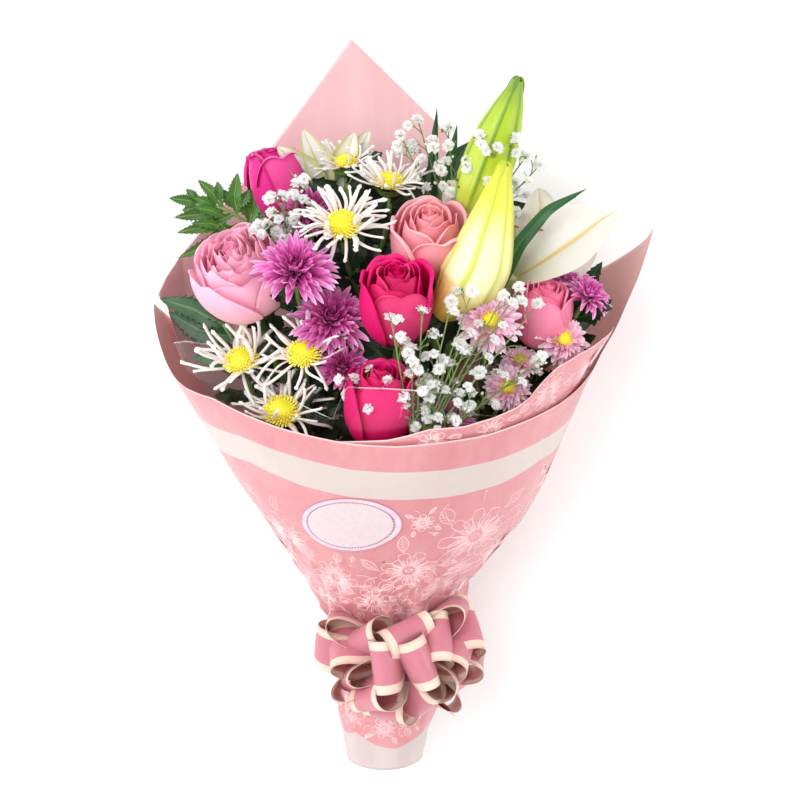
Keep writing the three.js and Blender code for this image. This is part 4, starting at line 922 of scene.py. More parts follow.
# stems in the neck: slot [x, v] at the ribbon, radius, heads, fork (as in the solids)
ROSE_STEM, LILY_STEM, SPRAY_STEM, TWIG = 2.9, 3.6, 2.3, 1.25
STEM_CUT_U, NECK_U, TIE_HALF = 6, 92, 11.5
STEMS = {
    "stem_rose_palepink": ([-17, 3], ROSE_STEM, ["rose_palepink"], None),
    "stem_rose_magenta": ([-9, -14], ROSE_STEM, ["rose_magenta"], None),
    "stem_rose_salmon": ([4, 0], ROSE_STEM, ["rose_salmon"], None),
    "stem_rose_hotpink": ([1, 9], ROSE_STEM, ["rose_hotpink"], None),
    "stem_rose_hotpink_low": ([0, 18], ROSE_STEM, ["rose_hotpink_low"], None),
    "stem_rose_pink_right": ([18, 2], ROSE_STEM, ["rose_pink_right"], None),
    "stem_mum_purple_left": ([-8, 6], SPRAY_STEM, ["mum_purple_top", "mum_purple_mid", "mum_purple_low", "mum_purple_back"], [-38, 262, 18]),
    "stem_mum_purple_right": ([22, -5], SPRAY_STEM, ["mum_purple_right", "mum_purple_right_low"], [96, 262, -2]),
    "stem_mum_purple_rim": ([8, 16], SPRAY_STEM, ["mum_purple_rim"], None),
    "stem_daisy": ([15, 10], SPRAY_STEM, ["daisy_pink_mid", "daisy_pink_right", "daisy_pink_low", "daisy_pink_small"], [60, 230, 44]),
    "stem_spider_upper": ([-3, -8], SPRAY_STEM, ["spider_top", "spider_peak", "spider_back"], [-14, 330, -22]),
    "stem_spider_lower": ([-14, 12], SPRAY_STEM, ["spider_left", "spider_centre", "spider_low"], [-54, 225, 32]),
}


def foot_of(name):
    c, n, dia, h = BLOOMS[name]
    return np.asarray(c, float) - unit(n) * (h * 0.5 + 0.4)


def stem_path(slot, target, direction, n=24):
    a = np.array([slot[0] * 0.95, STEM_CUT_U, slot[1] * 0.95])
    b = np.array([slot[0], NECK_U - 10.0, slot[1]])
    target = np.asarray(target, float)
    L = np.linalg.norm(target - b)
    d = unit(target - b)
    c1 = b + unit(np.array([0, 1, 0]) + 1.6 * d) * L * 0.3
    c2 = target - unit(direction) * L * 0.22
    lead = a + (b - a) * np.linspace(0, 1, 7)[:-1, None]
    return np.vstack([lead, bez(b, c1, c2, target, np.linspace(0, 1, n + 1))])


def branch_path(f, target, direction, n=12, bulge=0.0):
    f, target = np.asarray(f, float), np.asarray(target, float)
    L = np.linalg.norm(target - f)
    c1 = f + unit(unit(target - f) + np.array([0, 0.6, 0])) * L * 0.3 + np.array([0, 0, bulge])
    return bez(f, c1, target - unit(direction) * L * 0.3, target, np.linspace(0, 1, n + 1))


def node_swell(pts, r, rng, gap=26.0, amt=0.16):
    """Radius along a stem with the slight swellings where leaves were stripped."""
    s = np.concatenate([[0], np.cumsum(np.linalg.norm(np.diff(pts, axis=0), axis=1))])
    ph = rng.uniform(0, gap)
    k = np.exp(-((((s + ph) % gap) - gap / 2) / 2.4) ** 2)
    return r * (1 + amt * k - 0.02)


def resample(pts, step=4.0):
    pts = np.asarray(pts, float)
    s = np.concatenate([[0], np.cumsum(np.linalg.norm(np.diff(pts, axis=0), axis=1))])
    n = max(3, int(s[-1] / step) + 1)
    q = np.linspace(0, s[-1], n)
    return np.stack([np.interp(q, s, pts[:, k]) for k in range(3)], 1)


def stem(geo, pts, r, rng, sides=10, mat=0, cut=True, ribs=True, gap=26.0):
    pts = resample(pts)
    rad = node_swell(pts, r, rng, gap)
    geo.tube(pts, rad, sides, mat, tint=rng.uniform(0, 1), caps=True)
    if cut:
        # pale pith on the sloping cut
        d = unit(pts[0] - pts[1])
        sd = perp(d)
        up = np.cross(d, sd)
        ang = np.arange(14) / 14 * 2 * np.pi
        c = pts[0] + d * (0.25 * r + 0.12)
        P = []
        for k in (1.0, 0.72, 0.68, 0.02):
            P.append(c + d * (0.0 if k > 0.7 else 0.10) + r * 0.97 * k * (np.cos(ang)[:, None] * sd + np.sin(ang)[:, None] * up) + d * 0.9 * r * 0.35 * (np.cos(ang)[:, None] * k))
        geo.grid(np.stack(P, 1), mat + 1, tone=np.array([0.2, 0.3, 0.8, 1.0])[None, :] + 0 * ang[:, None], closed=True)


GYP = {
    "gypsophila_top": ([14, -14], [52, 372, -22], [[12, 464, -20], [24, 474, -26], [45, 470, -18], [66, 472, 20], [78, 465, 28], [90, 470, 20], [108, 448, 4]], 0),
    "gypsophila_left": ([-20, -6], [-66, 372, 4], [[-69, 428, 10], [-59, 434, 0], [-77, 417, 14], [-85, 408, 18]], 0),
    "gypsophila_right": ([9, 22], [22, 258, 88], [[5.6, 361.7, 86], [-18.6, 320.4, 88], [18.3, 342, 90], [26.3, 366.6, 84], [55.3, 338.4, 80], [58.7, 302, 90], [35, 317.4, 92], [81.2, 371.8, 66], [105.4, 327, 68]], 8),
}

# ------------------------------------------------------------------ shape of the cone
PROFILE = np.array([
    [-2, 29, 29, 29], [16, 30.5, 31.5, 30.5], [37, 33.2, 35, 32.5], [60, 33, 34, 31.5],
    [80, 31.2, 32.6, 30], [92, 30.4, 32, 29.4], [104, 33, 38, 31], [120, 44, 55, 38], [138, 56, 61, 47],
    [165, 71, 82, 60], [190, 86, 101, 73.5], [225, 108, 118, 90], [261, 128, 132, 104],
    [290, 144, 143, 114], [312, 155.5, 153, 120], [333, 161.5, 165, 125], [350, 164, 172, 129],
    [370, 168, 180, 133], [386, 173, 185, 136], [405, 179, 190, 140], [430, 186, 196, 144]], float)


def column(k):
    x, y = PROFILE[:, 0], PROFILE[:, k]
    n = len(x)
    d = np.diff(y) / np.diff(x)
    m = np.zeros(n)
    m[0], m[-1] = d[0], d[-1]
    for i in range(1, n - 1):
        if d[i - 1] * d[i] > 0:
            a, b = x[i + 1] - x[i], x[i] - x[i - 1]
            m[i] = 3 * (a + b) / ((2 * a + b) / d[i - 1] + (a + 2 * b) / d[i])

    def f(u):
        u = np.clip(u, x[0], x[-1])
        i = np.clip(np.searchsorted(x, u, side="left") - 1, 0, n - 2)
        h = x[i + 1] - x[i]
        t = (u - x[i]) / h
        t2, t3 = t * t, t * t * t
        return (2 * t3 - 3 * t2 + 1) * y[i] + (t3 - 2 * t2 + t) * h * m[i] + (-2 * t3 + 3 * t2) * y[i + 1] + (t3 - t2) * h * m[i + 1]
    return f


WLEFT, WRIGHT, FRONT = column(1), column(2), column(3)


def wrap_point(deg, u, off):
    deg, u, off = np.broadcast_arrays(np.asarray(deg, float), np.asarray(u, float), np.asarray(off, float))
    s, c = np.sin(np.radians(deg)), np.cos(np.radians(deg))
    W = np.where(s > 0, WRIGHT(u), WLEFT(u))
    F = FRONT(u)
    k = smooth(82, 142, u)
    B = (1 - k) * F + k * BACK_RATIO * 0.5 * (WLEFT(u) + WRIGHT(u))
    low = -(Z0 + u * ST) / CT - off
    v = np.where(c >= 0, (F + off) * c, np.maximum((B + off) * c, low))
    return np.stack([(W + off) * s, u, v], -1)



def keep_in(p, margin=9.0):
    """Draws a point of a leaf in so that it stays inside the cone of film."""
    p = np.array(p, float)
    if p[1] > 330:
        return p
    W = float(WRIGHT(p[1]) if p[0] > 0 else WLEFT(p[1])) - margin
    F = float(FRONT(p[1])) - margin
    B = BACK_RATIO * 0.5 * float(WLEFT(p[1]) + WRIGHT(p[1])) - margin
    V = F if p[2] >= 0 else B
    r = math.hypot(p[0] / W, p[2] / V)
    if r > 1:
        p[0] /= r
        p[2] /= r
    low = -(Z0 + p[1] * ST) / CT + 5
    p[2] = max(p[2], low)
    return p


def stem_leaves(geo, path, rng, count, length, width, start, stop, mat=2, serrate=0.30, teeth=7, front=0.35, spread=0.85):
    """Leaves left along the upper part of a stem, on a spiral, kept clear of the film."""
    pts = resample(path, 2.0)
    m = len(pts)
    for k in range(count):
        i = m - 1 - int(lerp(start, stop, k / max(count - 1, 1)) / 2.0)
        if i < 4:
            break
        d = unit(pts[i] - pts[i - 3])
        A = unit(np.cross(d, CAM_DIR))
        B = np.cross(A, d)
        az = k * 2.39996 + rng.normal(0, 0.35)
        o = unit(math.cos(az) * A + front * math.sin(az) * B - 0.12 * B)
        L = length * rng.uniform(0.8, 1.15)
        mid = keep_in(pts[i] + d * L * 0.40 + o * L * 0.45 * spread + CAM_DIR * L * 0.05)
        tip = keep_in(pts[i] + d * L * 0.60 + o * L * 0.85 * spread - CAM_DIR * L * 0.06)
        leaf(geo, [pts[i], mid, tip], width * rng.uniform(0.85, 1.1), unit(CAM_DIR + rng.normal(0, 0.35, 3)), int(rng.integers(1e6)), mat=mat, ns=9, nt=30,
             serrate=serrate, teeth=teeth, fold=0.24, wave=0.10, shape=(0.12, 1, 0), peak=0.5)


# ------------------------------------------------------------------ materials in use
def composite(name, dark, mid, tip, green_stops=None, **kw):
    return petal_mat(name, [(0.0, dark), (0.45, mid), (1.0, tip)], **kw)


M = {}
M["rose_pale"] = petal_mat("petal_rose_pale", [(0.0, (254, 220, 194)), (0.22, (255, 212, 206)), (0.46, (255, 190, 208)), (0.78, (255, 190, 216)), (1.0, (255, 210, 230))], veins=30, vein=0.18, sss=0.12, var=0.04, thin=0.25)
# the dark foot of this ramp is painted shade deep in the folds of the bloom
M["rose_magenta"] = petal_mat("petal_rose_magenta", [(0.0, (150, 14, 84)), (0.4, (206, 20, 122)), (0.8, (222, 38, 140)), (1.0, (236, 84, 168))], veins=30, vein=0.22, var=0.06)
M["rose_salmon"] = petal_mat("petal_rose_salmon", [(0.0, (252, 176, 154)), (0.35, (255, 166, 172)), (0.75, (255, 176, 188)), (1.0, (255, 202, 208))], veins=30, vein=0.20, sss=0.12, var=0.05, thin=0.22)
# the dark foot of this ramp is painted shade deep in the folds of the bloom
M["rose_hot"] = petal_mat("petal_rose_hot", [(0.0, (138, 2, 66)), (0.35, (210, 2, 96)), (0.75, (224, 5, 110)), (1.0, (238, 30, 130))], veins=30, vein=0.20, rough=0.6, var=0.06, sheen=0.0, thin=0.12)
M["rose_pink"] = petal_mat("petal_rose_pink", [(0.0, (246, 142, 156)), (0.4, (254, 136, 174)), (0.8, (255, 150, 188)), (1.0, (255, 184, 208))], veins=30, vein=0.20, var=0.05, thin=0.22)
M["purple"] = petal_mat("petal_purple", [(0.0, (116, 14, 72)), (0.22, (188, 44, 136)), (0.52, (222, 92, 182)), (0.80, (240, 140, 212)), (1.0, (252, 206, 241))], veins=5, vein=0.35, rough=0.5, var=0.12, thin=0.2)
M["purple_deep"] = petal_mat("petal_purple_deep", [(0.0, (92, 8, 56)), (0.34, (172, 34, 118)), (0.72, (208, 76, 162)), (1.0, (243, 170, 220))], veins=5, vein=0.35, var=0.12, thin=0.15)
M["lilac"] = petal_mat("petal_lilac", [(0.0, (226, 104, 160)), (0.30, (249, 164, 206)), (0.66, (255, 200, 226)), (1.0, (255, 238, 247))], veins=5, vein=0.35, var=0.08, thin=0.2)
M["cream"] = petal_mat("petal_cream", [(0.0, (250, 238, 196)), (0.22, (252, 232, 222)), (0.55, (254, 247, 243)), (1.0, (255, 253, 250))], veins=5, vein=0.2, rough=0.42, sss=0.15, var=0.03, thin=0.25)
M["heart"] = petal_mat("floret_yellow", [(0.0, (196, 204, 30)), (0.30, (240, 228, 36)), (0.60, (255, 238, 60)), (1.0, (255, 248, 150))], veins=3, vein=0.1, rough=0.55, var=0.05)
M["heart_green"] = petal_mat("floret_green", [(0.0, (134, 156, 30)), (0.5, (212, 210, 60)), (1.0, (244, 232, 110))], veins=3, vein=0.1, rough=0.6, var=0.10)
M["lily_white"] = petal_mat("petal_lily_white", [(0.0, (196, 206, 130)), (0.18, (236, 236, 214)), (0.5, (247, 244, 240)), (1.0, (248, 243, 236))], veins=26, vein=0.35, rough=0.38, sss=0.22, var=0.02)
M["gyp"] = petal_mat("gypsophila_white", [(0.0, (240, 244, 226)), (0.25, (255, 255, 251)), (1.0, (255, 255, 255))], veins=3, vein=0.12, sss=0.1, var=0.01, thin=0.5)
M["bract"] = leaf_mat("bract_green", (66, 92, 38), (104, 132, 58), (140, 158, 88), 0.5)
M["leaf"] = leaf_mat("leaf_green", (12, 46, 26), (34, 84, 40), (84, 124, 70), 0.34)
M["leaf_dark"] = leaf_mat("leaf_dark", (10, 28, 16), (30, 58, 32), (62, 90, 54), 0.40)
M["blade"] = leaf_mat("lily_blade", (14, 60, 30), (38, 96, 44), (84, 136, 74), 0.3)
M["fern"] = leaf_mat("fern_green", (16, 58, 8), (64, 120, 30), (118, 156, 66), 0.36)
M["stem"] = stem_mat("stem_green", (70, 104, 46), (122, 150, 78))
M["stem_cut"] = stem_mat("stem_cut", (196, 204, 140), (232, 232, 190), 0.7)
M["stem_lily"] = stem_mat("stem_lily", (86, 128, 56), (136, 168, 88))
M["twig"] = stem_mat("twig_green", (96, 122, 62), (142, 160, 98), 0.5)


def lily_bud_mat(name, stops, seam, rib, streak, edge_=0.80):
    """Bud colour runs from the neck to the nose, greener along the seams and on the midribs."""
    m = Mat(name, rough=0.34)
    tone, tint = m.attr("tone"), m.attr("tint")
    uv = m.uv()
    fine = m.noise(1.0, 4, 0.6, m.stretch(uv, (60, 2.5, 1)))
    blot = m.noise(46, 4, 0.6)
    t = m.math("ADD", tone, m.math("MULTIPLY", m.math("SUBTRACT", blot, 0.5), 0.20))
    t = m.math("ADD", t, m.math("MULTIPLY", m.math("SUBTRACT", fine, 0.5), 0.22), clamp=True)
    col = m.ramp(t, stops)
    line = m.ramp(fine, [(0.52, (0, 0, 0)), (0.74, (255, 255, 255))])
    col = m.mix(m.math("MULTIPLY", line, 0.30), col, streak)
    e = m.ramp(tint, [(0.04, (255, 255, 255)), (0.24, (150, 150, 150)), (0.47, (0, 0, 0))])
    g = m.ramp(tint, [(0.54, (0, 0, 0)), (0.80, (235, 235, 235)), (1.0, (255, 255, 255))])
    # green creeps in from the seams and toward the nose
    col = m.mix(m.math("MULTIPLY", e, edge_), col, seam)
    col = m.mix(m.math("MULTIPLY", g, 0.85), col, rib)
    m.base(col)
    m.bump(m.math("ADD", fine, m.math("MULTIPLY", m.noise(300, 2), 0.25)), 0.35, 0.0006)
    m.p.inputs["Subsurface Weight"].default_value = 0.12
    m.p.inputs["Subsurface Radius"].default_value = (0.003, 0.003, 0.001)
    m.p.inputs["Coat Weight"].default_value = 0.12
    return m.m


M["bud_yellow"] = lily_bud_mat("lily_bud_yellow", [(0.0, (206, 176, 70)), (0.14, (232, 210, 120)), (0.32, (250, 243, 190)), (0.55, (252, 245, 184)), (0.78, (238, 228, 70)), (1.0, (204, 206, 34))], (188, 196, 30), (184, 196, 36), (228, 218, 84), 0.85)
M["bud_green"] = lily_bud_mat("lily_bud_green", [(0.0, (190, 208, 96)), (0.25, (188, 208, 70)), (0.55, (176, 200, 30)), (0.82, (158, 188, 16)), (1.0, (112, 146, 12))], (112, 150, 14), (86, 128, 12), (150, 178, 20))


def lily_petal_mat(name, mid, rim=None):
    """White lily petal: a yellow-green midrib that fades to the tip, faint pink-brown rim shading."""
    m = Mat(name, rough=0.36)
    uv = m.uv()
    x, y = m.split(uv)
    fine = m.noise(1.0, 3, 0.55, m.stretch(uv, (34, 3, 1)))
    off = m.math("ABSOLUTE", m.math("SUBTRACT", x, 0.5))
    rib = m.ramp(off, [(0.0, (255, 255, 255)), (0.022, (235, 235, 235)), (0.050, (0, 0, 0))])
    fade = m.ramp(y, [(0.0, (255, 255, 255)), (0.93, (235, 235, 235)), (1.0, (170, 170, 170))])
    body = m.ramp(y, [(0.0, (184, 196, 116)), (0.16, (222, 224, 198)), (0.45, (234, 230, 224)), (1.0, (230, 223, 216))])
    body = m.mix(m.math("MULTIPLY", fine, 0.22), body, (214, 208, 204))
    col = m.mix(m.math("MULTIPLY", m.math("MULTIPLY", rib, fade), 0.85), body, mid)
    if rim:
        g = m.ramp(off, [(0.30, (0, 0, 0)), (0.46, (245, 245, 245))])
        col = m.mix(m.math("MULTIPLY", g, 0.8), col, rim)
    m.base(col)
    m.bump(m.math("SUBTRACT", fine, m.math("MULTIPLY", rib, 0.8)), 0.35, 0.0008)
    m.p.inputs["Subsurface Weight"].default_value = 0.2
    m.p.inputs["Subsurface Radius"].default_value = (0.004, 0.003, 0.002)
    return m.m


M["lily_open"] = lily_petal_mat("petal_lily_open", (224, 186, 70))
M["lily_young"] = lily_petal_mat("petal_lily_young", (186, 196, 48), (182, 192, 44))
M["filament"] = stem_mat("lily_filament", (196, 210, 140), (226, 230, 180), 0.4)
M["anther"] = stem_mat("lily_anther", (150, 74, 24), (196, 112, 40), 0.8)

# ------------------------------------------------------------------ blooms
RUFFLED = [(3, 0.16), (4, 0.34), (5, 0.52), (4, 0.70), (3, 0.86), (3, 1.0)]
for nm, key, seed, op, tn, ln, rf, lay, hs in (
        ("rose_palepink", "rose_pale", 11, 0.55, 0.3, 0.26, 0.95, RUFFLED, 0.8), ("rose_magenta", "rose_magenta", 12, 0.1, 1.1, 0.1, 0.0, None, 1.0),
        ("rose_salmon", "rose_salmon", 13, 0.60, 2.0, 0.40, 0.22, None, 0.9), ("rose_hotpink", "rose_hot", 14, 0.35, 0.8, 0.34, 0.10, None, 1.15),
        ("rose_hotpink_low", "rose_hot", 15, 0.2, 2.6, 0.26, 0.05, None, 1.15), ("rose_pink_right", "rose_pink", 16, 0.4, 0.2, 0.22, 0.12, None, 1.0)):
    g = Geo()
    ax_, R_, h_, rng, _, _ = rose(g, nm, seed, op, tn, ln, rf, lay, heart=hs)
    calyx(g, ax_, R_, h_, rng)
    finish_piece(g.build("v_" + nm, [M[key], M["bract"]]), "petal_" + key, nm)

for nm, seed, rings, key, wide, ln in (
        ("mum_purple_top", 21, 7, "purple", 1.0, 0.35), ("mum_purple_mid", 22, 7, "purple", 1.0, 0.22), ("mum_purple_low", 23, 6, "purple_deep", 1.1, 0.5),
        ("mum_purple_right", 24, 7, "purple", 1.1, 0.35), ("mum_purple_right_low", 25, 7, "purple", 1.1, 0.35),
        ("mum_purple_back", 26, 7, "purple_deep", 1.1, 0.35), ("mum_purple_rim", 27, 7, "purple_deep", 1.1, 0.2)):
    g = Geo()
    mum(g, nm, seed, rings, wide=wide, lean=ln)
    finish_piece(g.build("v_" + nm, [M[key], M["bract"]]), "petal_purple", nm)

for nm, seed, key, ln, ps in (("daisy_pink_mid", 31, "heart", 0.6, 5.0), ("daisy_pink_right", 32, "heart", 0.3, 0.0), ("daisy_pink_low", 33, "heart", 0.3, 2.0), ("daisy_pink_small", 34, "heart_green", 0.5, -2.0)):
    g = Geo()
    daisy(g, nm, seed, lean=ln, push=ps)
    finish_piece(g.build("v_" + nm, [M["lilac"], M[key], M["bract"]]), "petal_lilac", nm)

for nm, seed, cnt, ln, lf, rc, dm, fl in (
        ("spider_top", 41, 66, 0.75, (-4, 62), 1.0, 0.34, 0.6), ("spider_peak", 42, 56, 0.55, (4, 62), 1.0, 0.32, 0.6),
        ("spider_left", 43, 40, 0.55, (0, 70), 1.12, 0.34, 0.7), ("spider_centre", 44, 38, 0.60, (-6, 66), 1.15, 0.38, 0.7),
        ("spider_low", 45, 42, 0.65, (-6, 72), 1.12, 0.40, 0.7), ("spider_back", 46, 48, 0.3, (6, 66), 1.0, 0.31, 0.6)):
    g = Geo()
    spider(g, nm, seed, count=cnt, lean=ln, lift=lf, reach=rc, dome=dm, flat=fl)
    finish_piece(g.build("v_" + nm, [M["cream"], M["heart"], M["bract"]]), "petal_cream", nm)

BUD_FRONT = [[36.9, 352.1, 45], [45.1, 359.9, 45], [56.7, 371.7, 44], [65.4, 387.6, 43], [70, 405, 42.5], [74.5, 422.2, 42], [78.4, 439.2, 40.5], [82, 455.2, 38.5]]
BUD_BACK = [[57, 408, -4], [61, 419, -2], [67, 434, 2], [74, 455, 6], [80, 474, 9], [86, 491, 10.5], [91.6, 507.7, 10]]
g = Geo()
lathe_bud(g, BUD_FRONT, [7, 14.5, 22.5, 22.2, 18.6, 14.2, 9.4, 4.0], 51, turn=0.06, side_green=0.75, rib_wide=1.7, seam_wide=1.9)
finish_piece(g.build("v_lily_bud_front", [M["bud_yellow"]]), "lily_bud_yellow", "lily_bud_front")
g = Geo()
lathe_bud(g, BUD_BACK, [6, 12.5, 17.5, 17.8, 14.8, 10, 3.6], 52, turn=0.12)
finish_piece(g.build("v_lily_bud_back", [M["bud_green"]]), "lily_bud_green", "lily_bud_back")

LILY_OPEN = [
    ([[89, 366, 6], [103, 377, 15], [118, 389, 19], [136, 402, 19], [151, 413, 15], [162, 416, 6]], [10, 26, 46, 54, 34, 3], [-0.48, 0.48, 0.74]),
    ([[90, 368, 2], [102, 392, 3], [110, 411, 0], [108, 429, -8]], [10, 28, 33, 27, 9], [-0.15, 0.35, 1]),
    ([[86, 366, 0], [71, 390, -6], [58, 411, -11], [45, 433, -14]], [10, 30, 38, 32, 11], [0.1, 0.35, 1]),
    ([[91, 366, -3], [116, 386, -10], [137, 398, -14], [153, 406, -22]], [10, 28, 34, 27, 8], [0, 0.4, 1]),
    ([[92, 364, 4], [113, 372, 9], [133, 379, 7], [149, 389, -3]], [9, 27, 31, 22, 7], [-0.2, 0.5, 1]),
    ([[88, 366, -2], [84, 390, -18], [82, 410, -26], [80, 428, -32]], [10, 24, 26, 18, 6], [0.0, 0.2, 1])]
g = Geo()
for i, (sp, w, f) in enumerate(LILY_OPEN):
    tepal(g, sp, w, f, 60 + i, ruffle=0.20 if i == 0 else 0.12, cup=0.46 if i == 0 else 0.18)
g.tube(bez([86, 352, 2], [86.5, 358, 2.5], [87.5, 364, 3], [89, 370, 4], np.linspace(0, 1, 10)), np.linspace(3.6, 8.0, 10), 16, 1, tone=0.2)
for i in range(6):
    rng = np.random.default_rng(600 + i)
    a = i * math.pi / 3
    tip = np.array([96 + 11 * math.cos(a), 404 + 5 * math.sin(a), 14 + 8 * math.sin(a)]) + rng.normal(0, 1.2, 3)
    fil = bez([89, 368, 4], [90, 384, 6], [94, 394, 10], tip, np.linspace(0, 1, 14))
    g.tube(fil, np.linspace(0.9, 0.55, 14), 6, 1)
    d = unit(np.array([math.cos(a), 0.2, math.sin(a)]))
    an = tip + np.linspace(-4.5, 4.5, 9)[:, None] * d + (np.linspace(-1, 1, 9) ** 2)[:, None] * np.array([0, -1.0, 0])
    g.tube(an, 1.15 * np.sqrt(np.clip(1 - np.linspace(-1, 1, 9) ** 4, 0.05, 1)), 7, 2, squash=0.7)
pis = bez([89, 368, 4], [92, 388, 8], [98, 402, 12], [104, 413, 14], np.linspace(0, 1, 16))
g.tube(pis, np.r_[np.full(13, 1.1), 1.5, 2.2, 1.6], 8, 1)
finish_piece(g.build("v_lily_open", [M["lily_open"], M["filament"], M["anther"]]), "petal_lily_white", "lily_open")

LILY_BACK = [
    ([[-42, 414, -46], [-54, 431, -40], [-66, 444, -37], [-75, 452, -37]], [9, 18, 22, 15, 5], [0.35, 0.3, 1]),
    ([[-41, 416, -47], [-46, 436, -43], [-52, 451, -42], [-57, 463, -43]], [9, 18, 21, 14, 5], [0.15, 0.2, 1]),
    ([[-38, 414, -48], [-30, 433, -49], [-25, 447, -50], [-21, 459, -53]], [9, 18, 22, 15, 5], [-0.1, 0.3, 1]),
    ([[-37, 412, -50], [-26, 430, -55], [-17, 445, -58], [-10, 459, -60]], [9, 17, 21, 14, 5], [-0.3, 0.3, 1]),
    ([[-40, 414, -50], [-42, 430, -58], [-42, 442, -63], [-42, 452, -66]], [8, 15, 17, 11, 5], [0.0, 0.0, 1])]
g = Geo()
for i, (sp, w, f) in enumerate(LILY_BACK):
    tepal(g, sp, w, f, 70 + i, cup=0.55, ruffle=0.06)
g.tube(bez([-38, 400, -46], [-38.5, 407, -46.5], [-39, 412, -47], [-40, 420, -47], np.linspace(0, 1, 10)), np.linspace(3.4, 7.5, 10), 14, 1, tone=0.2)
finish_piece(g.build("v_lily_back", [M["lily_young"], M["filament"]]), "petal_lily_white", "lily_back")

# ------------------------------------------------------------------ stems
for i, (nm, (slot, r, heads, fork)) in enumerate(STEMS.items()):
    rng = np.random.default_rng(100 + i)
    g = Geo()
    if fork is None:
        stem(g, stem_path(slot, foot_of(heads[0]), BLOOMS[heads[0]][1]), r, rng)
    else:
        mid = sum(foot_of(x) for x in heads) / len(heads)
        stem(g, stem_path(slot, fork, mid - np.array(fork)), r, rng)
        for x in heads:
            stem(g, branch_path(fork, foot_of(x), BLOOMS[x][1]), r * 0.72, rng, 8, cut=False, gap=19)
            # a small leaf where the side shoot leaves the stem
            b = branch_path(fork, foot_of(x), BLOOMS[x][1])
            k = len(b) // 2
            d = unit(b[k + 1] - b[k])
            o = perp(d) * rng.choice([-1, 1])
            leaf(g, [b[k], b[k] + d * 9 + o * 4, b[k] + d * 16 + o * 9], 6.5, np.cross(d, o), 900 + i, mat=2, ns=7, nt=12, serrate=0.25, teeth=5)
    # foliage left under the blooms
    rose_ = nm.startswith("stem_rose")
    for x in heads:
        pth = stem_path(slot, foot_of(x), BLOOMS[x][1]) if fork is None else np.vstack([stem_path(slot, fork, mid - np.array(fork))[:-1], branch_path(fork, foot_of(x), BLOOMS[x][1])])
        big = BLOOMS[x][2] > 45
        stem_leaves(g, pth, rng, 8 if big else 6, 40 if rose_ else (34 if big else 27), 23 if rose_ else (19 if big else 15), 9, 105 if big else 80, mat=2,
                    serrate=0.16 if rose_ else 0.42, teeth=12 if rose_ else 6)
    # leaves left along a rose stem
    if rose_:
        p = stem_path(slot, foot_of(heads[0]), BLOOMS[heads[0]][1])
        for k, sgn in ((14, 1), (19, -1), (24, 1)):
            d = unit(p[k + 1] - p[k - 1])
            o = unit(np.cross(d, [0, 0, 1])) * sgn
            L = 26 if k < 20 else 30
            leaf(g, [p[k], p[k] + d * L * 0.5 + o * L * 0.35 + np.array([0, 0, 1.5]), p[k] + d * L * 0.85 + o * L * 0.75], 14, [0.1 * sgn, 0, 1], 800 + i * 5 + k, mat=2, ns=9, nt=20, serrate=0.16, teeth=9)
    finish_piece(g.build("v_" + nm, [M["stem"], M["stem_cut"], M["leaf_dark"]]), "stem_green", nm)

LILY_LOW, LILY_HIGH = [9, -8], [3, -17]
fork_low, fork_high = [44, 290, 0], [4, 300, -34]
g = Geo()
rng = np.random.default_rng(130)
stem(g, stem_path(LILY_LOW, fork_low, [0.1, 1, 0.05]), LILY_STEM, rng, 12)
for tgt, dr in (([34.6, 346.6, 44.2], [0.1, 0.9, 0.2]), ([85.6, 351.2, 2], [0.2, 0.95, 0]), ([55, 402.6, -5.4], [0.3, 0.93, 0.1])):
    b = branch_path(fork_low, tgt, dr)
    g.tube(resample(b), LILY_STEM * 0.75, 10, 0, tint=0.5)
    g.tube(b[-2:], [LILY_STEM * 0.78, LILY_STEM * 1.35], 10, 0)
finish_piece(g.build("v_stem_lily_front", [M["stem_lily"], M["stem_cut"]]), "stem_green", "stem_lily_front")
g = Geo()
stem(g, np.vstack([stem_path(LILY_HIGH, fork_high, [-0.1, 1, -0.1]), [[-18, 350, -42], [-37.6, 399.2, -46]]]), LILY_STEM * 0.85, np.random.default_rng(131), 12)
finish_piece(g.build("v_stem_lily_back", [M["stem_lily"], M["stem_cut"]]), "stem_green", "stem_lily_back")

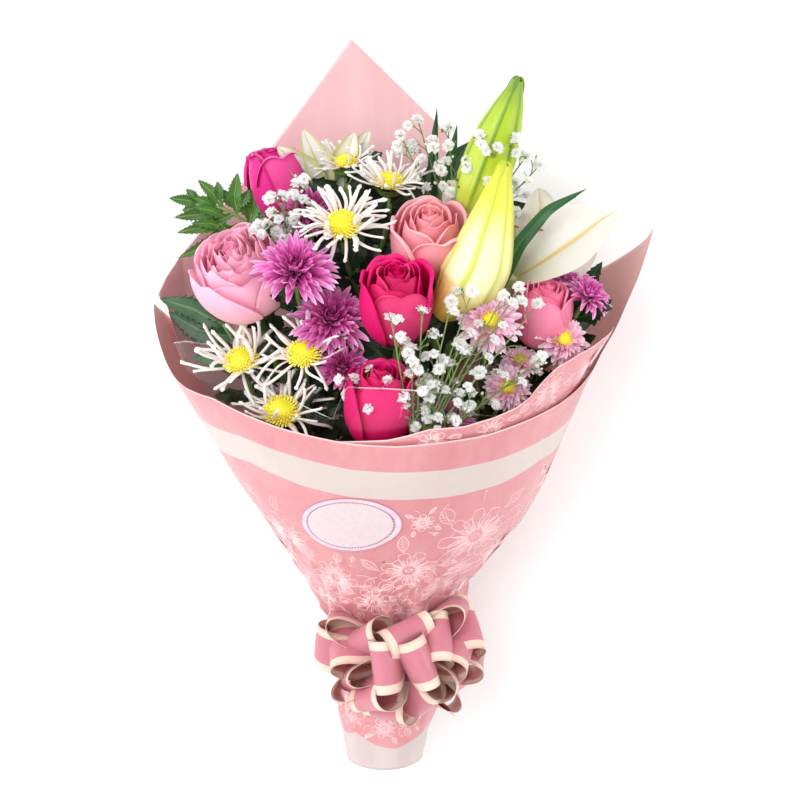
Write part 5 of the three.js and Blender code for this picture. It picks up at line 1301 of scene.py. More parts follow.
# ------------------------------------------------------------------ gypsophila
MORE_TIPS = {"gypsophila_right": [[65, 323, 84], [52, 342, 80], [40, 332, 86], [46, 370, 74], [60, 376, 70], [92, 376, 60], [105, 364, 58], [104, 326, 70]],
             "gypsophila_top": [[98, 456, 12], [34, 462, -12], [58, 452, 12]]}
for gi, (nm, (slot, fork, tips, bulge)) in enumerate(GYP.items()):
    rng = np.random.default_rng(200 + gi)
    g = Geo()
    fork = np.array(fork, float)
    p = resample(stem_path(slot, fork, [fork[0] * 0.002, 1, 0]))
    g.tube(p, 1.25, 7, 2, tint=0.4)
    extra = []
    for n_, t_ in enumerate(tips + MORE_TIPS.get(nm, [])):
        t_ = np.array(t_, float)
        main = branch_path(fork, t_, t_ - fork - np.array([0, 0, bulge * 1.5]), 16, bulge)
        g.tube(resample(main, 5), np.linspace(0.95, 0.42, len(resample(main, 5))), 6, 2, tint=0.5)
        floret(g, t_, unit(np.array([0.2, 1, 0.1]) + rng.normal(0, 0.35, 3) + 0.6 * CAM_DIR), 4.9 * rng.uniform(0.9, 1.12), int(rng.integers(1e6)))
        # side twigs, each with its own floret or tight bud
        m = 7 if n_ < len(tips) else 3
        for j in range(m):
            k = int(lerp(5 if n_ < len(tips) else 9, 14, j / max(m - 1, 1)))
            q = main[k]
            d = unit(main[k + 1] - main[k])
            o = unit(rng.normal(0, 1, 3) + 0.55 * CAM_DIR)
            o = unit(o - d * o.dot(d))
            Lx = rng.uniform(9, 23) * (1 if bulge else 0.9)
            e = keep_in(q + d * Lx * 0.75 + o * Lx * 0.62, 8.0)
            tw = bez(q, q + d * Lx * 0.35, e - o * Lx * 0.15, e, np.linspace(0, 1, 7))
            g.tube(tw, 0.36, 5, 2, tint=0.6)
            if rng.random() < 0.80:
                floret(g, e, unit(d + o * 0.4 + 0.5 * CAM_DIR + rng.normal(0, 0.25, 3)), rng.uniform(3.5, 4.7), int(rng.integers(1e6)))
            else:
                budlet(g, e, d + o * 0.4, rng.uniform(1.0, 1.5), 1)
            if rng.random() < 0.85:
                o2 = unit(np.cross(d, o) * rng.choice([-1, 1]) + 0.3 * o)
                e2 = keep_in(tw[3] + d * 5 + o2 * 5, 5.0)
                g.tube(bez(tw[3], tw[3] + d * 2.5, e2 - o2 * 1.5, e2, np.linspace(0, 1, 5)), 0.30, 4, 2, tint=0.6)
                budlet(g, e2, d + o2 * 0.5, rng.uniform(0.9, 1.35), 1 if rng.random() < 0.6 else 0)
    finish_piece(g.build("v_" + nm, [M["gyp"], M["bract"], M["twig"]]), "gypsophila_white", nm)


# ------------------------------------------------------------------ leaves
def leafy(geo, slot, path, r=1.5, mat=1):
    path = [np.array(x, float) for x in path]
    d = path[1] - path[0] if len(path) > 1 else np.array([0., 1, 0])
    pts = np.vstack([stem_path(slot, path[0], d), path[1:]]) if len(path) > 1 else stem_path(slot, path[0], d)
    pts = resample(pts, 5)
    for _ in range(2):
        pts[1:-1] = 0.25 * pts[:-2] + 0.5 * pts[1:-1] + 0.25 * pts[2:]
    geo.tube(pts, r, 8, mat, tint=0.5)


FERN = [([[-128, 410, -37], [-138, 413, -38], [-150, 414.5, -38]], 9), ([[-112, 408, -36], [-128, 404, -35], [-146.5, 402, -34]], 10),
        ([[-106, 404, -36], [-124, 396, -33], [-144.5, 392, -30]], 10), ([[-100, 397, -37], [-122, 384, -31], [-144, 375, -26]], 11),
        ([[-104, 404, -36.5], [-106, 416, -38], [-104, 430, -40]], 11), ([[-114, 409, -36], [-122, 419, -38], [-130, 426, -40]], 9),
        ([[-96, 394, -38], [-92, 412, -39], [-88, 426, -40]], 12)]
g = Geo()
leafy(g, [-12, -18], [[-66, 330, -44], [-92, 392, -38], [-112, 408, -36], [-134, 410, -38]])
for i, (sp, w) in enumerate(FERN):
    sp = np.array(sp, float)
    rng = np.random.default_rng(300 + i)
    g.tube(resample(sp, 3), 0.5, 5, 1)
    # one deeply toothed leaflet, with a smaller one beside its foot
    tip = sp[-1] + unit(sp[-1] - sp[1]) * 2.5
    leaf(g, [sp[0], sp[1], tip], w * 1.12, [0, 0.25, 1], 310 + i, ns=13, nt=108, serrate=0.40, teeth=12, fold=0.20, wave=0.08, shape=(0.10, 1, 0), peak=0.46)
    d = unit(sp[-1] - sp[0])
    o = unit(np.cross([0, 0, 1], d))
    L = np.linalg.norm(sp[-1] - sp[0])
    for sgn in (-1, 1):
        q = sp[0] + (sp[1] - sp[0]) * 0.35
        leaf(g, [q, q + d * L * 0.22 + o * sgn * L * 0.22, q + d * L * 0.48 + o * sgn * L * 0.36 + np.array([0, 0, -1.5])], w * 0.9, [0, 0.25, 1], 340 + i * 2 + sgn, ns=9, nt=60, serrate=0.42, teeth=8, fold=0.20, peak=0.46)
finish_piece(g.build("v_fern_upper_left", [M["fern"], M["twig"]]), "leaf_green", "fern_upper_left")

for nm, slot, path, leaves, r in (
        ("leaf_lower_left", [-22, 1], [[-92, 300, 8], [-112, 336, 12]], [
            ([[-110, 334, 12], [-134, 345, 4], [-158, 350, -5]], 20, [0.1, 0.3, 1]),
            ([[-104, 326, 12], [-130, 330, 6], [-152, 340, -4]], 22, [0.1, 0.1, 1]),
            ([[-100, 318, 11], [-118, 312, 14], [-134, 312, 12]], 22, [0, 0.2, 1])], 1.5),
        ("leaf_right", [22, -12], [[108, 300, -18], [128, 340, -14]], [
            ([[126, 336, -14], [142, 356, -10], [154, 376, -8]], 19, [-0.1, 0.3, 1]),
            ([[124, 330, -14], [146, 338, -6], [161, 350, -2]], 20, [-0.1, 0.2, 1]),
            ([[118, 320, -16], [138, 318, -4], [150, 326, 6]], 19, [-0.1, 0.2, 1])], 1.5)):
    g = Geo()
    leafy(g, slot, path, r)
    for i, (sp, w, f) in enumerate(leaves):
        leaf(g, sp, w, f, 400 + i + len(nm), serrate=0.40, teeth=11, nt=88, ns=13, fold=0.18)
    finish_piece(g.build("v_" + nm, [M["leaf"], M["twig"]]), "leaf_green", nm)

for nm, slot, path, leaves, r in (
        ("lily_leaves", [-2, -22], [[20, 340, -38], [34, 396, -30]], [
            ([[33, 392, -30], [33, 430, -27], [35, 458, -25], [37.3, 482.5, -22]], 10, [0.6, 0, 1]),
            ([[34, 392, -31], [42, 424, -35], [48, 448, -36], [51.6, 468, -36]], 12, [0.5, 0.2, 1]),
            ([[24, 352, -37], [64, 384, -32], [106, 406, -26], [136, 418, -28]], 15, [0, 0.4, 1])], 1.8),
        ("lily_leaf_right", [14, 2], [[70, 320, 22], [84, 372, 26]], [
            ([[82, 366, 26], [92, 396, 27], [112, 421, 26], [139, 434, 18]], 9.5, [0.2, 0.3, 1])], 1.6)):
    g = Geo()
    leafy(g, slot, path, r)
    for i, (sp, w, f) in enumerate(leaves):
        leaf(g, sp, w, f, 430 + i + len(nm), nt=40, wave=0.10, fold=0.30, shape=(0.35, 1, 0), peak=0.35)
    finish_piece(g.build("v_" + nm, [M["blade"], M["twig"]]), "leaf_green", nm)

for nm, slot, path, leaves, r, key in (
        ("filler_leaves_back", [4, -25], [[-10, 310, -62], [-6, 372, -72]], [
            ([[-6, 366, -72], [-30, 392, -74], [-62, 412, -76], [-96, 424, -78]], 34, [0, 0.2, 1]),
            ([[-6, 370, -73], [-12, 396, -76], [-16, 420, -79], [-15, 438, -82]], 34, [0.2, 0.2, 1]),
            ([[-5, 370, -73], [22, 398, -74], [44, 422, -78], [62, 446, -84]], 34, [0, 0.2, 1]),
            ([[-6, 364, -71], [36, 384, -66], [78, 396, -66], [116, 400, -72]], 34, [0, 0.2, 1]),
            ([[-10, 352, -69], [-50, 368, -66], [-88, 374, -68], [-120, 372, -72]], 32, [0, 0.2, 1]),
            ([[-10, 330, -64], [-44, 342, -58], [-76, 346, -52], [-108, 340, -46]], 34, [0, 0.2, 1]),
            ([[-8, 330, -64], [30, 344, -56], [64, 350, -50], [98, 352, -44]], 34, [0, 0.2, 1]),
            ([[-10, 312, -61], [-30, 330, -46], [-44, 352, -34], [-52, 378, -28]], 32, [0.2, 0.1, 1]),
            ([[-9, 312, -61], [16, 332, -46], [30, 356, -34], [30, 382, -30]], 32, [-0.2, 0.1, 1]),
            ([[-10, 306, -60], [30, 310, -50], [66, 318, -38], [100, 318, -26]], 32, [0, 0.1, 1]),
            ([[-11, 306, -60], [-44, 308, -46], [-74, 308, -32], [-98, 300, -20]], 32, [0, 0.1, 1])], 2.0, "leaf_dark"),
        ("filler_leaves_front", [-4, 21], [[-22, 240, 56]], [
            ([[-22, 238, 56], [-20, 262, 74], [-16, 284, 86], [-14, 304, 92]], 27, [0, -0.4, 1]),
            ([[-22, 238, 56], [-48, 262, 70], [-70, 276, 78], [-88, 290, 80]], 26, [-0.2, -0.4, 1]),
            ([[-20, 238, 56], [14, 262, 76], [42, 276, 86], [66, 288, 84]], 27, [0.1, -0.4, 1])], 1.8, "leaf_dark")):
    g = Geo()
    leafy(g, slot, path, r)
    for i, (sp, w, f) in enumerate(leaves):
        leaf(g, sp, w, f, 460 + i + len(nm), serrate=0.14, teeth=12, nt=40, ns=13)
    finish_piece(g.build("v_" + nm, [M[key], M["twig"]]), "leaf_green", nm)


# ------------------------------------------------------------------ the cone of film
RIM_OUTER = [[-180, 262], [-150, 265], [-130, 282], [-115, 306], [-102, 333], [-93, 346], [-89, 334], [-84, 314], [-76, 303],
             [-65, 301], [-50, 302], [-41, 296], [-29, 289], [-14, 283], [-8, 281], [4, 279.5], [16, 281], [30, 283], [45, 289], [57, 294],
             [66, 299], [76, 306], [84, 314], [87.5, 334], [90.5, 403], [95, 392], [102, 380], [110, 366], [118, 352], [130, 325], [145, 290], [160, 268], [180, 262]]
RIM_PRINT = [[-60, 296], [-50, 298], [-41, 293], [-29, 286], [-14, 281], [-8.4, 282], [1.5, 283.5], [7.4, 287], [10, 289], [13, 291], [23, 291], [27, 293], [32, 295], [39, 300], [42.4, 305], [45, 316], [48, 325], [56, 331], [68, 335], [80, 336], [90, 334]]
RIM_CLEAR = [[-110, 380], [-101, 374], [-92, 345], [-85, 322], [-72, 330], [-60, 338], [-45, 341], [-38, 335], [-31, 321], [-21, 305], [-14, 296], [-9, 322], [0, 322], [8, 320], [14, 317], [18, 316], [22, 309], [27, 297], [40, 291], [60, 298]]
LAYER = 3.0


def table(rows, x):
    a = np.array(rows, float)
    return np.interp(x, a[:, 0], a[:, 1])


# crumples near the ribbon: tent-shaped creases at scattered places and headings
_rc = np.random.default_rng(77)
CREASES = []
for _ in range(190):
    cu = 98 + abs(_rc.normal(0, 1)) * 33 + 4
    CREASES.append((_rc.uniform(-180, 180), cu, _rc.normal(0, 0.62), _rc.uniform(10, 32), _rc.uniform(3.5, 9), _rc.choice([-1, 1]) * _rc.uniform(0.7, 2.2)))
for _ in range(26):
    CREASES.append((_rc.uniform(-180, 180), _rc.uniform(150, 205), _rc.normal(0, 0.3), _rc.uniform(22, 44), _rc.uniform(6, 12), _rc.choice([-1, 1]) * _rc.uniform(0.3, 0.7)))
for _ in range(40):
    CREASES.append((_rc.uniform(-180, 180), _rc.uniform(38, 84), _rc.normal(0, 0.45), _rc.uniform(10, 24), _rc.uniform(3, 7), _rc.choice([-1, 1]) * _rc.uniform(0.5, 1.3)))
C_DEG, C_U, _slope, C_LONG, C_WIDE, C_AMP = np.array(CREASES, float).T
C_COS, C_SIN = np.cos(_slope), np.sin(_slope)
_g1, _g2, _g3 = Ripple(5, 9, 2, 0.8, 2.6), Ripple(6, 9, 2, 0.8, 2.2), Ripple(8, 12, 2, 1.5, 5)


# label: where it sits on the cone and how far it is turned
LU, LD, L_TURN = 211.9, -13.9, 0.25
LC, LS = math.cos(L_TURN), math.sin(L_TURN)


def relief(deg, u):
    """How far the film stands off the plain cone, in mm: pleats drawn in by the ribbon, crumples
    beside it and slow waves above."""
    deg, u = np.broadcast_arrays(np.asarray(deg, float), np.asarray(u, float))
    a = np.radians(deg)
    R = 0.5 * (FRONT(u) + 0.5 * (WLEFT(u) + WRIGHT(u)))
    near = np.exp(-np.abs(u - 92) / 34.0)
    warp = 0.35 * _g1(a * 1.5, u * 0.012)
    pleat = np.abs(np.sin((a + warp) * 8.5)) ** 0.8 - 0.6 + 0.45 * (np.abs(np.sin((a - warp) * 5.0 + 1.0)) - 0.6)
    h = 2.9 * near * pleat * smooth(20, 52, u)
    h = h + 0.7 * _g2(a * 2.4, u * 0.022) * (0.22 + 0.78 * np.exp(-((u - 132) / 46.0) ** 2)) * smooth(6, 40, u)
    h = h + 0.5 * _g3(a * 3.5, u * 0.04) * np.exp(-np.clip(u - 120, 0, 400) / 40.0) * smooth(10, 44, u)
    # long soft ridges that run up the cone from the gathers
    h = h + 0.9 * np.sin(a * 11 + 2.2 * np.sin(a * 2.0 + 0.6)) * np.exp(-np.clip(u - 105, 0, 400) / 50.0) * smooth(18, 50, u)
    flat_d, flat_u, flat_R = deg.reshape(-1), u.reshape(-1), R.reshape(-1)
    add = np.zeros(flat_d.shape)
    step = 4096
    for i in range(0, len(add), step):
        dd, uu, rr = flat_d[i:i + step, None], flat_u[i:i + step, None], flat_R[i:i + step, None]
        dx = (((dd - C_DEG + 180) % 360) - 180) * (math.pi / 180) * rr
        dy = uu - C_U
        al, ac = dy * C_COS + dx * C_SIN, dx * C_COS - dy * C_SIN
        add[i:i + step] = (C_AMP * np.clip(1 - np.abs(ac) / C_WIDE, 0, 1) * np.clip(1 - (al / C_LONG) ** 2, 0, 1)).sum(1)
    h = h + add.reshape(h.shape) * (1 + 0.6 * np.exp(-np.clip(u - 112, 0, 400) / 40.0))
    # smooth where the label is stuck on
    lx, ly = (((deg - LD + 180) % 360) - 180) * (math.pi / 180) * 0.5 * (WLEFT(u) + FRONT(u)), u - LU
    h = h * (0.06 + 0.94 * smooth(1.0, 2.8, ((lx * LC + ly * LS) / 34.0) ** 2 + ((ly * LC - lx * LS) / 22.7) ** 2))
    # it keeps clear of the stems inside and lies flat under the ribbon
    tie = smooth(11.5, 20, np.abs(u - 92))
    return np.clip(h + 0.9 * np.exp(-np.clip(u - 120, 0, 400) / 30.0) * tie, -0.75, 0.25 + 4.0 * tie)


def film_point(deg, u, off, amount=1.0):
    """Point of a film layer; the relief fades where the cone lies on the table."""
    p = wrap_point(deg, u, off)
    q = wrap_point(deg, u, np.asarray(off) + 1.0)
    c = np.cos(np.radians(np.broadcast_to(deg, p.shape[:-1])))
    front = smooth(-0.75, -0.35, c)
    clear = smooth(0, 14, np.broadcast_to(u, front.shape) + 2) * 0.8 + 0.2
    h = relief(deg, u) * (0.15 + 0.85 * front) * clear * amount
    n = q - p
    n = n / np.maximum(np.linalg.norm(n, axis=-1, keepdims=True), 1e-9)
    out = p + n * h[..., None]
    z = Z0 + out[..., 1] * ST + out[..., 2] * CT
    lift = np.maximum(0.35 - z, 0)
    out[..., 2] += lift / CT
    return out


def add_attr(ob, name, arr):
    at = ob.data.attributes.new(name, "FLOAT", "POINT")
    at.data.foreach_set("value", np.asarray(arr, np.float32).ravel())


STRIPE_HI = [[-180, 236], [-120, 262], [-90, 267], [-70, 274], [-46, 275], [-25, 266], [-10, 260], [5, 258], [20, 258], [37, 261], [54, 267], [87, 276], [120, 268], [180, 236]]
STRIPE_LO = [[-180, 216], [-120, 240], [-90, 248], [-48, 253.5], [-29, 243], [-11, 237], [5, 235], [22, 235], [41, 239], [59, 249], [77, 251], [100, 250], [140, 236], [180, 216]]
BASE_BAND = [[-180, 20], [-60, 22], [-40, 27], [-10, 19], [15, 16], [50, 22], [75, 26], [180, 20]]


def film_mat(name, base, deep, pale, band=None, rough=0.26, ink=None, coat=0.35, edge=(250, 228, 226), alpha_band=1.0):
    """Dyed film: soft cloud in the colour, soft lengthwise sheen streaks painted into the colour, a satin gloss, a pale
    cut edge with its edge highlight painted in and, where named, a stripe.
    """
    m = Mat(name, rough=rough)
    ob = m.obj()
    cloud = m.noise(9, 3, 0.5)
    fine = m.noise(1.0, 2, 0.5, m.stretch(ob, (130, 14, 90)))
    # painted sheen: this lengthwise streak noise lays lighter and darker bands into the colour that stand for the
    # film's soft gloss streaks, beside the random cloud of the dye
    streak = m.noise(1.0, 3, 0.5, m.stretch(ob, (26, 3.2, 26)))
    f = m.math("ADD", m.math("MULTIPLY", cloud, 0.40), m.math("MULTIPLY", fine, 0.20))
    f = m.math("ADD", f, m.math("MULTIPLY", streak, 0.40))
    col = m.ramp(f, [(0.30, deep), (0.48, base), (0.66, pale)])
    if band:
        b = m.attr("band")
        lo = m.math("GREATER_THAN", b, 0.0)
        hi = m.math("LESS_THAN", b, 1.0)
        st = m.math("MULTIPLY", lo, hi)
        white = m.ramp(f, [(0.3, band[0]), (0.7, band[1])])
        col = m.mix(st, col, white)
        bb = m.math("LESS_THAN", m.attr("foot"), 0.0)
        col = m.mix(bb, col, m.ramp(f, [(0.3, (210, 195, 194)), (0.7, (221, 208, 206))]))
    # pale band 1.1 mm wide along every cut edge: the film's whitish edge with a painted highlight along it
    e = m.math("LESS_THAN", m.attr("rim"), 1.1)
    col = m.mix(m.math("MULTIPLY", e, 0.75), col, edge)
    m.base(col)
    m.rough(m.noise(26, 3), rough - 0.05, rough + 0.09)
    m.bump(m.math("ADD", m.math("MULTIPLY", m.noise(60, 3, 0.5), 0.6), m.math("MULTIPLY", fine, 0.5)), 0.12, 0.0012)
    m.p.inputs["Coat Weight"].default_value = coat
    m.p.inputs["Coat Roughness"].default_value = 0.14
    m.p.inputs["Specular IOR Level"].default_value = 0.5
    m.p.inputs["Subsurface Weight"].default_value = 0.0
    see_through(m, col, 0.22)
    return m.m


M["film"] = film_mat("film_pink", (227, 155, 159), (219, 141, 147), (236, 174, 176), band=((222, 207, 202), (229, 215, 210)), coat=0.28)
M["film_print"] = film_mat("film_pink_print", (228, 156, 160), (220, 143, 149), (236, 176, 178), coat=0.28)
M["film_back"] = film_mat("film_pink_back", (241, 192, 196), (237, 184, 189), (246, 204, 207), rough=0.34, coat=0.2)


def ink_mat():
    m = Mat("print_ink_white", rough=0.4)
    m.base(m.ramp(m.noise(70, 3), [(0.3, (236, 188, 191)), (0.75, (247, 214, 214))]))
    return m.m


M["ink"] = ink_mat()


def clear_mat():
    """Clear film: see-through, with a sheen that grows toward grazing angles."""
    m = bpy.data.materials.new("film_clear")
    m.use_nodes = True
    nt = m.node_tree
    nt.nodes.clear()
    out = nt.nodes.new("ShaderNodeOutputMaterial")
    mix = nt.nodes.new("ShaderNodeMixShader")
    tr = nt.nodes.new("ShaderNodeBsdfTransparent")
    gl = nt.nodes.new("ShaderNodeBsdfPrincipled")
    gl.inputs["Base Color"].default_value = lin((246, 248, 250))
    gl.inputs["Roughness"].default_value = 0.10
    gl.inputs["Metallic"].default_value = 1.0
    lw = nt.nodes.new("ShaderNodeLayerWeight")
    lw.inputs["Blend"].default_value = 0.28
    at = nt.nodes.new("ShaderNodeAttribute")
    at.attribute_name = "rim"
    edge = nt.nodes.new("ShaderNodeMapRange")
    edge.inputs["From Min"].default_value = 0.0
    edge.inputs["From Max"].default_value = 1.2
    edge.inputs["To Min"].default_value = 0.45
    edge.inputs["To Max"].default_value = 0.0
    nt.links.new(at.outputs["Fac"], edge.inputs["Value"])
    tc = nt.nodes.new("ShaderNodeTexCoord")
    no = nt.nodes.new("ShaderNodeTexNoise")
    no.inputs["Scale"].default_value = 26
    no.inputs["Detail"].default_value = 3
    nt.links.new(tc.outputs["Object"], no.inputs["Vector"])
    bump = nt.nodes.new("ShaderNodeBump")
    bump.inputs["Strength"].default_value = 0.5
    bump.inputs["Distance"].default_value = 0.004
    nt.links.new(no.outputs["Fac"], bump.inputs["Height"])
    nt.links.new(bump.outputs["Normal"], gl.inputs["Normal"])
    nt.links.new(bump.outputs["Normal"], lw.inputs["Normal"])
    mr = nt.nodes.new("ShaderNodeMapRange")
    mr.inputs["To Min"].default_value = 0.012
    mr.inputs["To Max"].default_value = 0.40
    pw = nt.nodes.new("ShaderNodeMath")
    pw.operation = "POWER"
    pw.inputs[1].default_value = 2.6
    nt.links.new(lw.outputs["Facing"], pw.inputs[0])
    nt.links.new(pw.outputs[0], mr.inputs["Value"])
    add = nt.nodes.new("ShaderNodeMath")
    add.operation = "ADD"
    add.use_clamp = True
    nt.links.new(mr.outputs[0], add.inputs[0])
    nt.links.new(edge.outputs[0], add.inputs[1])
    nt.links.new(add.outputs[0], mix.inputs[0])
    nt.links.new(tr.outputs[0], mix.inputs[1])
    nt.links.new(gl.outputs[0], mix.inputs[2])
    nt.links.new(mix.outputs[0], out.inputs["Surface"])
    return m


M["clear"] = clear_mat()


# paler copy of the pink film: painted light for the inside of the cone, which the lamps leave in shade
M["film_inside"] = film_mat("film_pink_inside_painted_light", (252, 205, 199), (249, 193, 189), (254, 217, 212), rough=0.34, coat=0.08)


def line_inside(ob, degs, low, off, inner):
    """Gives the face of a sheet that looks into the cone its own paler material: the film colour painted lighter to
    stand in for light that comes through the film into the shaded cone.
    """
    p, q = film_point(degs[0], low, off), film_point(degs[0], low, off + 1.0)
    d = (world(q[None]) - world(p[None]))[0]
    me = ob.data
    if me.polygons[0].normal.dot(Vector(d)) > 0:
        me.materials.append(inner)
    else:
        outer = me.materials[0]
        me.materials[0] = inner
        me.materials.append(outer)
    ob.modifiers["thick"].material_offset = 1


def sheet_grid(name, degs, low, rim, off, mat, nu, slot_, node, closed=False, band=False, thick=0.22, amount=1.0, dense=92, extra=None):
    degs = np.asarray(degs, float)
    top = rim(degs)
    q = np.linspace(0, 1, nu)
    # rows packed closer near the ribbon, where the creases are
    U = low + (top[:, None] - low) * q[None, :]
    if low < 50:
        w = np.interp(q, [0, 0.14, 0.58, 1], [0, 0.12, 0.50, 1])
        U = low + (top[:, None] - low) * w[None, :]
    D = np.repeat(degs[:, None], nu, 1)
    P = film_point(D, U, off, amount)
    if extra is not None:
        P = extra(P, D, U)
    g = Geo()
    g.grid(P, 0, tone=0.5, closed=closed, uv=np.stack([D / 360 + 0.5, U / 420], -1))
    ob = g.build(name, [mat], solidify=thick)
    add_attr(ob, "rim", np.repeat(top[:, None], nu, 1) - U)
    if band:
        hi, lo = table(STRIPE_HI, D), table(STRIPE_LO, D)
        add_attr(ob, "band", (U - lo) / (hi - lo))
        add_attr(ob, "foot", (U - table(BASE_BAND, D)) / 40)
    if thick:
        line_inside(ob, degs, low, off, M["film_inside"])
    return finish_piece(ob, slot_, node)


def refine(cols, a, b, n):
    base = np.linspace(a, b, n)
    return np.unique(np.round(np.concatenate([base, [c for c in cols if a <= c <= b]]), 4))


outer_cols = np.unique(np.concatenate([np.linspace(-180, 180, 321)[:-1], np.linspace(84, 97, 26)]))
wrap_outer = sheet_grid("v_wrap_outer", outer_cols, -2.0, lambda d: table(RIM_OUTER, d), -0.4, M["film"], 128, "film_pink", "wrap_outer", closed=True, band=True)
sheet_grid("v_wrap_inner_print", np.linspace(-63, 84, 150), 112.0, lambda d: table(RIM_PRINT, d), -LAYER - 0.4, M["film_print"], 70, "film_pink_print", "wrap_inner_print")


def crinkled(P, D, U):
    """The clear liner stands a little away in folds along its free edge."""
    f = smooth(-40, 0, U - table(RIM_CLEAR, D))
    r = Ripple(91, 10, 2, 1.2, 4)
    k = r(np.radians(D) * 5, U * 0.03) * 2.4 * f
    P = P.copy()
    P[..., 2] += k
    P[..., 0] += 0.6 * k * np.sin(np.radians(D))
    return P


sheet_grid("v_wrap_clear_liner", np.linspace(-109, 64, 190), 112.0, lambda d: table(RIM_CLEAR, d), -2 * LAYER - 2.4, M["clear"], 80, "film_clear", "wrap_clear_liner", thick=0.0, extra=crinkled)

BACK_EDGE = np.array([[120, 151, 368, 27], [132, 122, 386, 6], [146, 84, 412, 1], [163, 40, 466, 0], [180, 2, 503, 0], [185, -24, 528, 0], [200, -58, 482, 0], [215, -90, 440, 1], [230, -118, 408, 5], [245, -148, 372, 31], [251.5, -156, 359, 49], [258, -161, 347, 68]], float)


def to_plain(p):
    """Working point to the lying axes before the footprint shift, in mm."""
    x, u, v = p[..., 0], p[..., 1], p[..., 2]
    return np.stack([x, u * CT - v * ST, Z0 + u * ST + v * CT], -1)


def from_plain(w):
    x, y, z = w[..., 0], w[..., 1], w[..., 2] - Z0
    return np.stack([x, y * CT + z * ST, -y * ST + z * CT], -1)


def back_sheet():
    degs = np.linspace(120, 258, 150)
    degs = np.unique(np.concatenate([degs, BACK_EDGE[:, 0]]))
    off = -LAYER - 0.8
    a = np.where(degs > 180, degs - 360, degs)
    rim = table(RIM_OUTER, a) + 3
    n1, n2 = 44, 66
    q = np.linspace(0, 1, n1)
    U = 121 + (rim[:, None] - 121) * q[None, :]
    D = np.repeat(degs[:, None], n1, 1)
    lowp = wrap_point(D, U, off)
    P1 = to_plain(lowp)
    p = P1[:, -1]
    m = to_plain(wrap_point(degs, rim, off)) - to_plain(wrap_point(degs, rim - 12, off))
    m /= np.linalg.norm(m, axis=1, keepdims=True)
    e = np.stack([np.interp(degs, BACK_EDGE[:, 0], BACK_EDGE[:, k]) for k in (1, 2, 3)], 1)
    e[:, 2] += 0.5
    L = np.linalg.norm(e - p, axis=1, keepdims=True)
    out = e - p
    out[:, 2] = 0
    out /= np.linalg.norm(out, axis=1, keepdims=True)
    t = np.linspace(0, 1, n2)[1:][None, :, None]
    W = (2 * t ** 3 - 3 * t * t + 1) * p[:, None] + (t ** 3 - 2 * t * t + t) * (L * m)[:, None] + (3 * t * t - 2 * t ** 3) * e[:, None] + (t ** 3 - t * t) * (L * out)[:, None]
    W[..., 2] = np.maximum(W[..., 2], 0.5)
    # slow waves where the sheet lies free
    r = Ripple(95, 8, 2, 0.8, 2.6)
    tt = t[..., 0]
    wave = (r(W[..., 0] / 32, W[..., 1] / 40) + 1.0) * 1.3 * np.sin(np.pi * np.clip(tt, 0, 1)) ** 0.7
    W[..., 2] += np.clip(wave, 0, None)
    P = np.concatenate([P1, W], 1)
    g = Geo()
    s = np.concatenate([(U - 121) / 300, np.repeat(tt, len(degs), 0) * 0.4 + 0.6], 1)
    g.grid(P, 0, tone=0.5, uv=np.stack([np.repeat(degs[:, None] / 360, P.shape[1], 1), s], -1))
    # given in plain axes, so shift and scale here
    ob = None
    g.v = [(x + SHIFT) * 0.001 for x in g.v]
    ob = g.build("v_wrap_back_sheet", [M["film_back"]], solidify=0.22, local=False)
    Lf = np.linalg.norm(np.diff(P, axis=1), axis=2)
    d_edge = np.concatenate([np.cumsum(Lf[:, ::-1], 1)[:, ::-1], np.zeros((len(degs), 1))], 1)
    add_attr(ob, "rim", d_edge)
    return finish_piece(ob, "film_pink_back", "wrap_back_sheet")


back_sheet()

# ------------------------------------------------------------------ printed line drawing
def strip(geo, deg, u, width, off):
    """Thin printed line on the film, through points given as angle and station."""
    deg, u = np.asarray(deg, float), np.asarray(u, float)
    n = len(deg)
    if n < 2:
        return
    P = film_point(deg, u, off)
    d = np.gradient(P, axis=0)
    d /= np.maximum(np.linalg.norm(d, axis=1, keepdims=True), 1e-9)
    q = film_point(deg, u, off + 1.0)
    nn = q - P
    nn /= np.maximum(np.linalg.norm(nn, axis=1, keepdims=True), 1e-9)
    sd = np.cross(d, nn)
    sd /= np.maximum(np.linalg.norm(sd, axis=1, keepdims=True), 1e-9)
    w = np.full(n, width / 2)
    w *= 0.65 + 0.35 * np.sin(np.linspace(0, np.pi, n))
    geo.grid(np.stack([P - sd * w[:, None], P + sd * w[:, None]], 0), 0)


class Pen:
    """Draws in flat millimetres round a point of the cone (x across, y up the cone)."""

    def __init__(self, geo, deg, u, turn=0.0, scale=1.0, off=0.0, limit=None, width=0.55):
        self.g, self.deg, self.u, self.s, self.off, self.limit, self.w = geo, deg, u, scale, off, limit, width
        self.c, self.sn = math.cos(turn), math.sin(turn)

    def line(self, pts, width=None, step=1.6):
        pts = np.asarray(pts, float)
        seg = np.concatenate([[0], np.cumsum(np.linalg.norm(np.diff(pts, axis=0), axis=1))]) * self.s
        n = max(3, int(seg[-1] / step) + 1)
        q = np.linspace(0, seg[-1], n)
        x = np.interp(q, seg, pts[:, 0]) * self.s
        y = np.interp(q, seg, pts[:, 1]) * self.s
        X = x * self.c - y * self.sn
        Y = x * self.sn + y * self.c
        u = self.u + Y
        R = 0.5 * (FRONT(u) + 0.5 * (WLEFT(u) + WRIGHT(u)))
        deg = self.deg + np.degrees(X / np.maximum(R, 20))
        keep = np.ones(n, bool) if self.limit is None else self.limit(deg, u)
        i = 0
        while i < n:
            if not keep[i]:
                i += 1
                continue
            j = i
            while j + 1 < n and keep[j + 1]:
                j += 1
            if j - i >= 1:
                strip(self.g, deg[i:j + 1], u[i:j + 1], width or self.w, self.off)
            i = j + 1


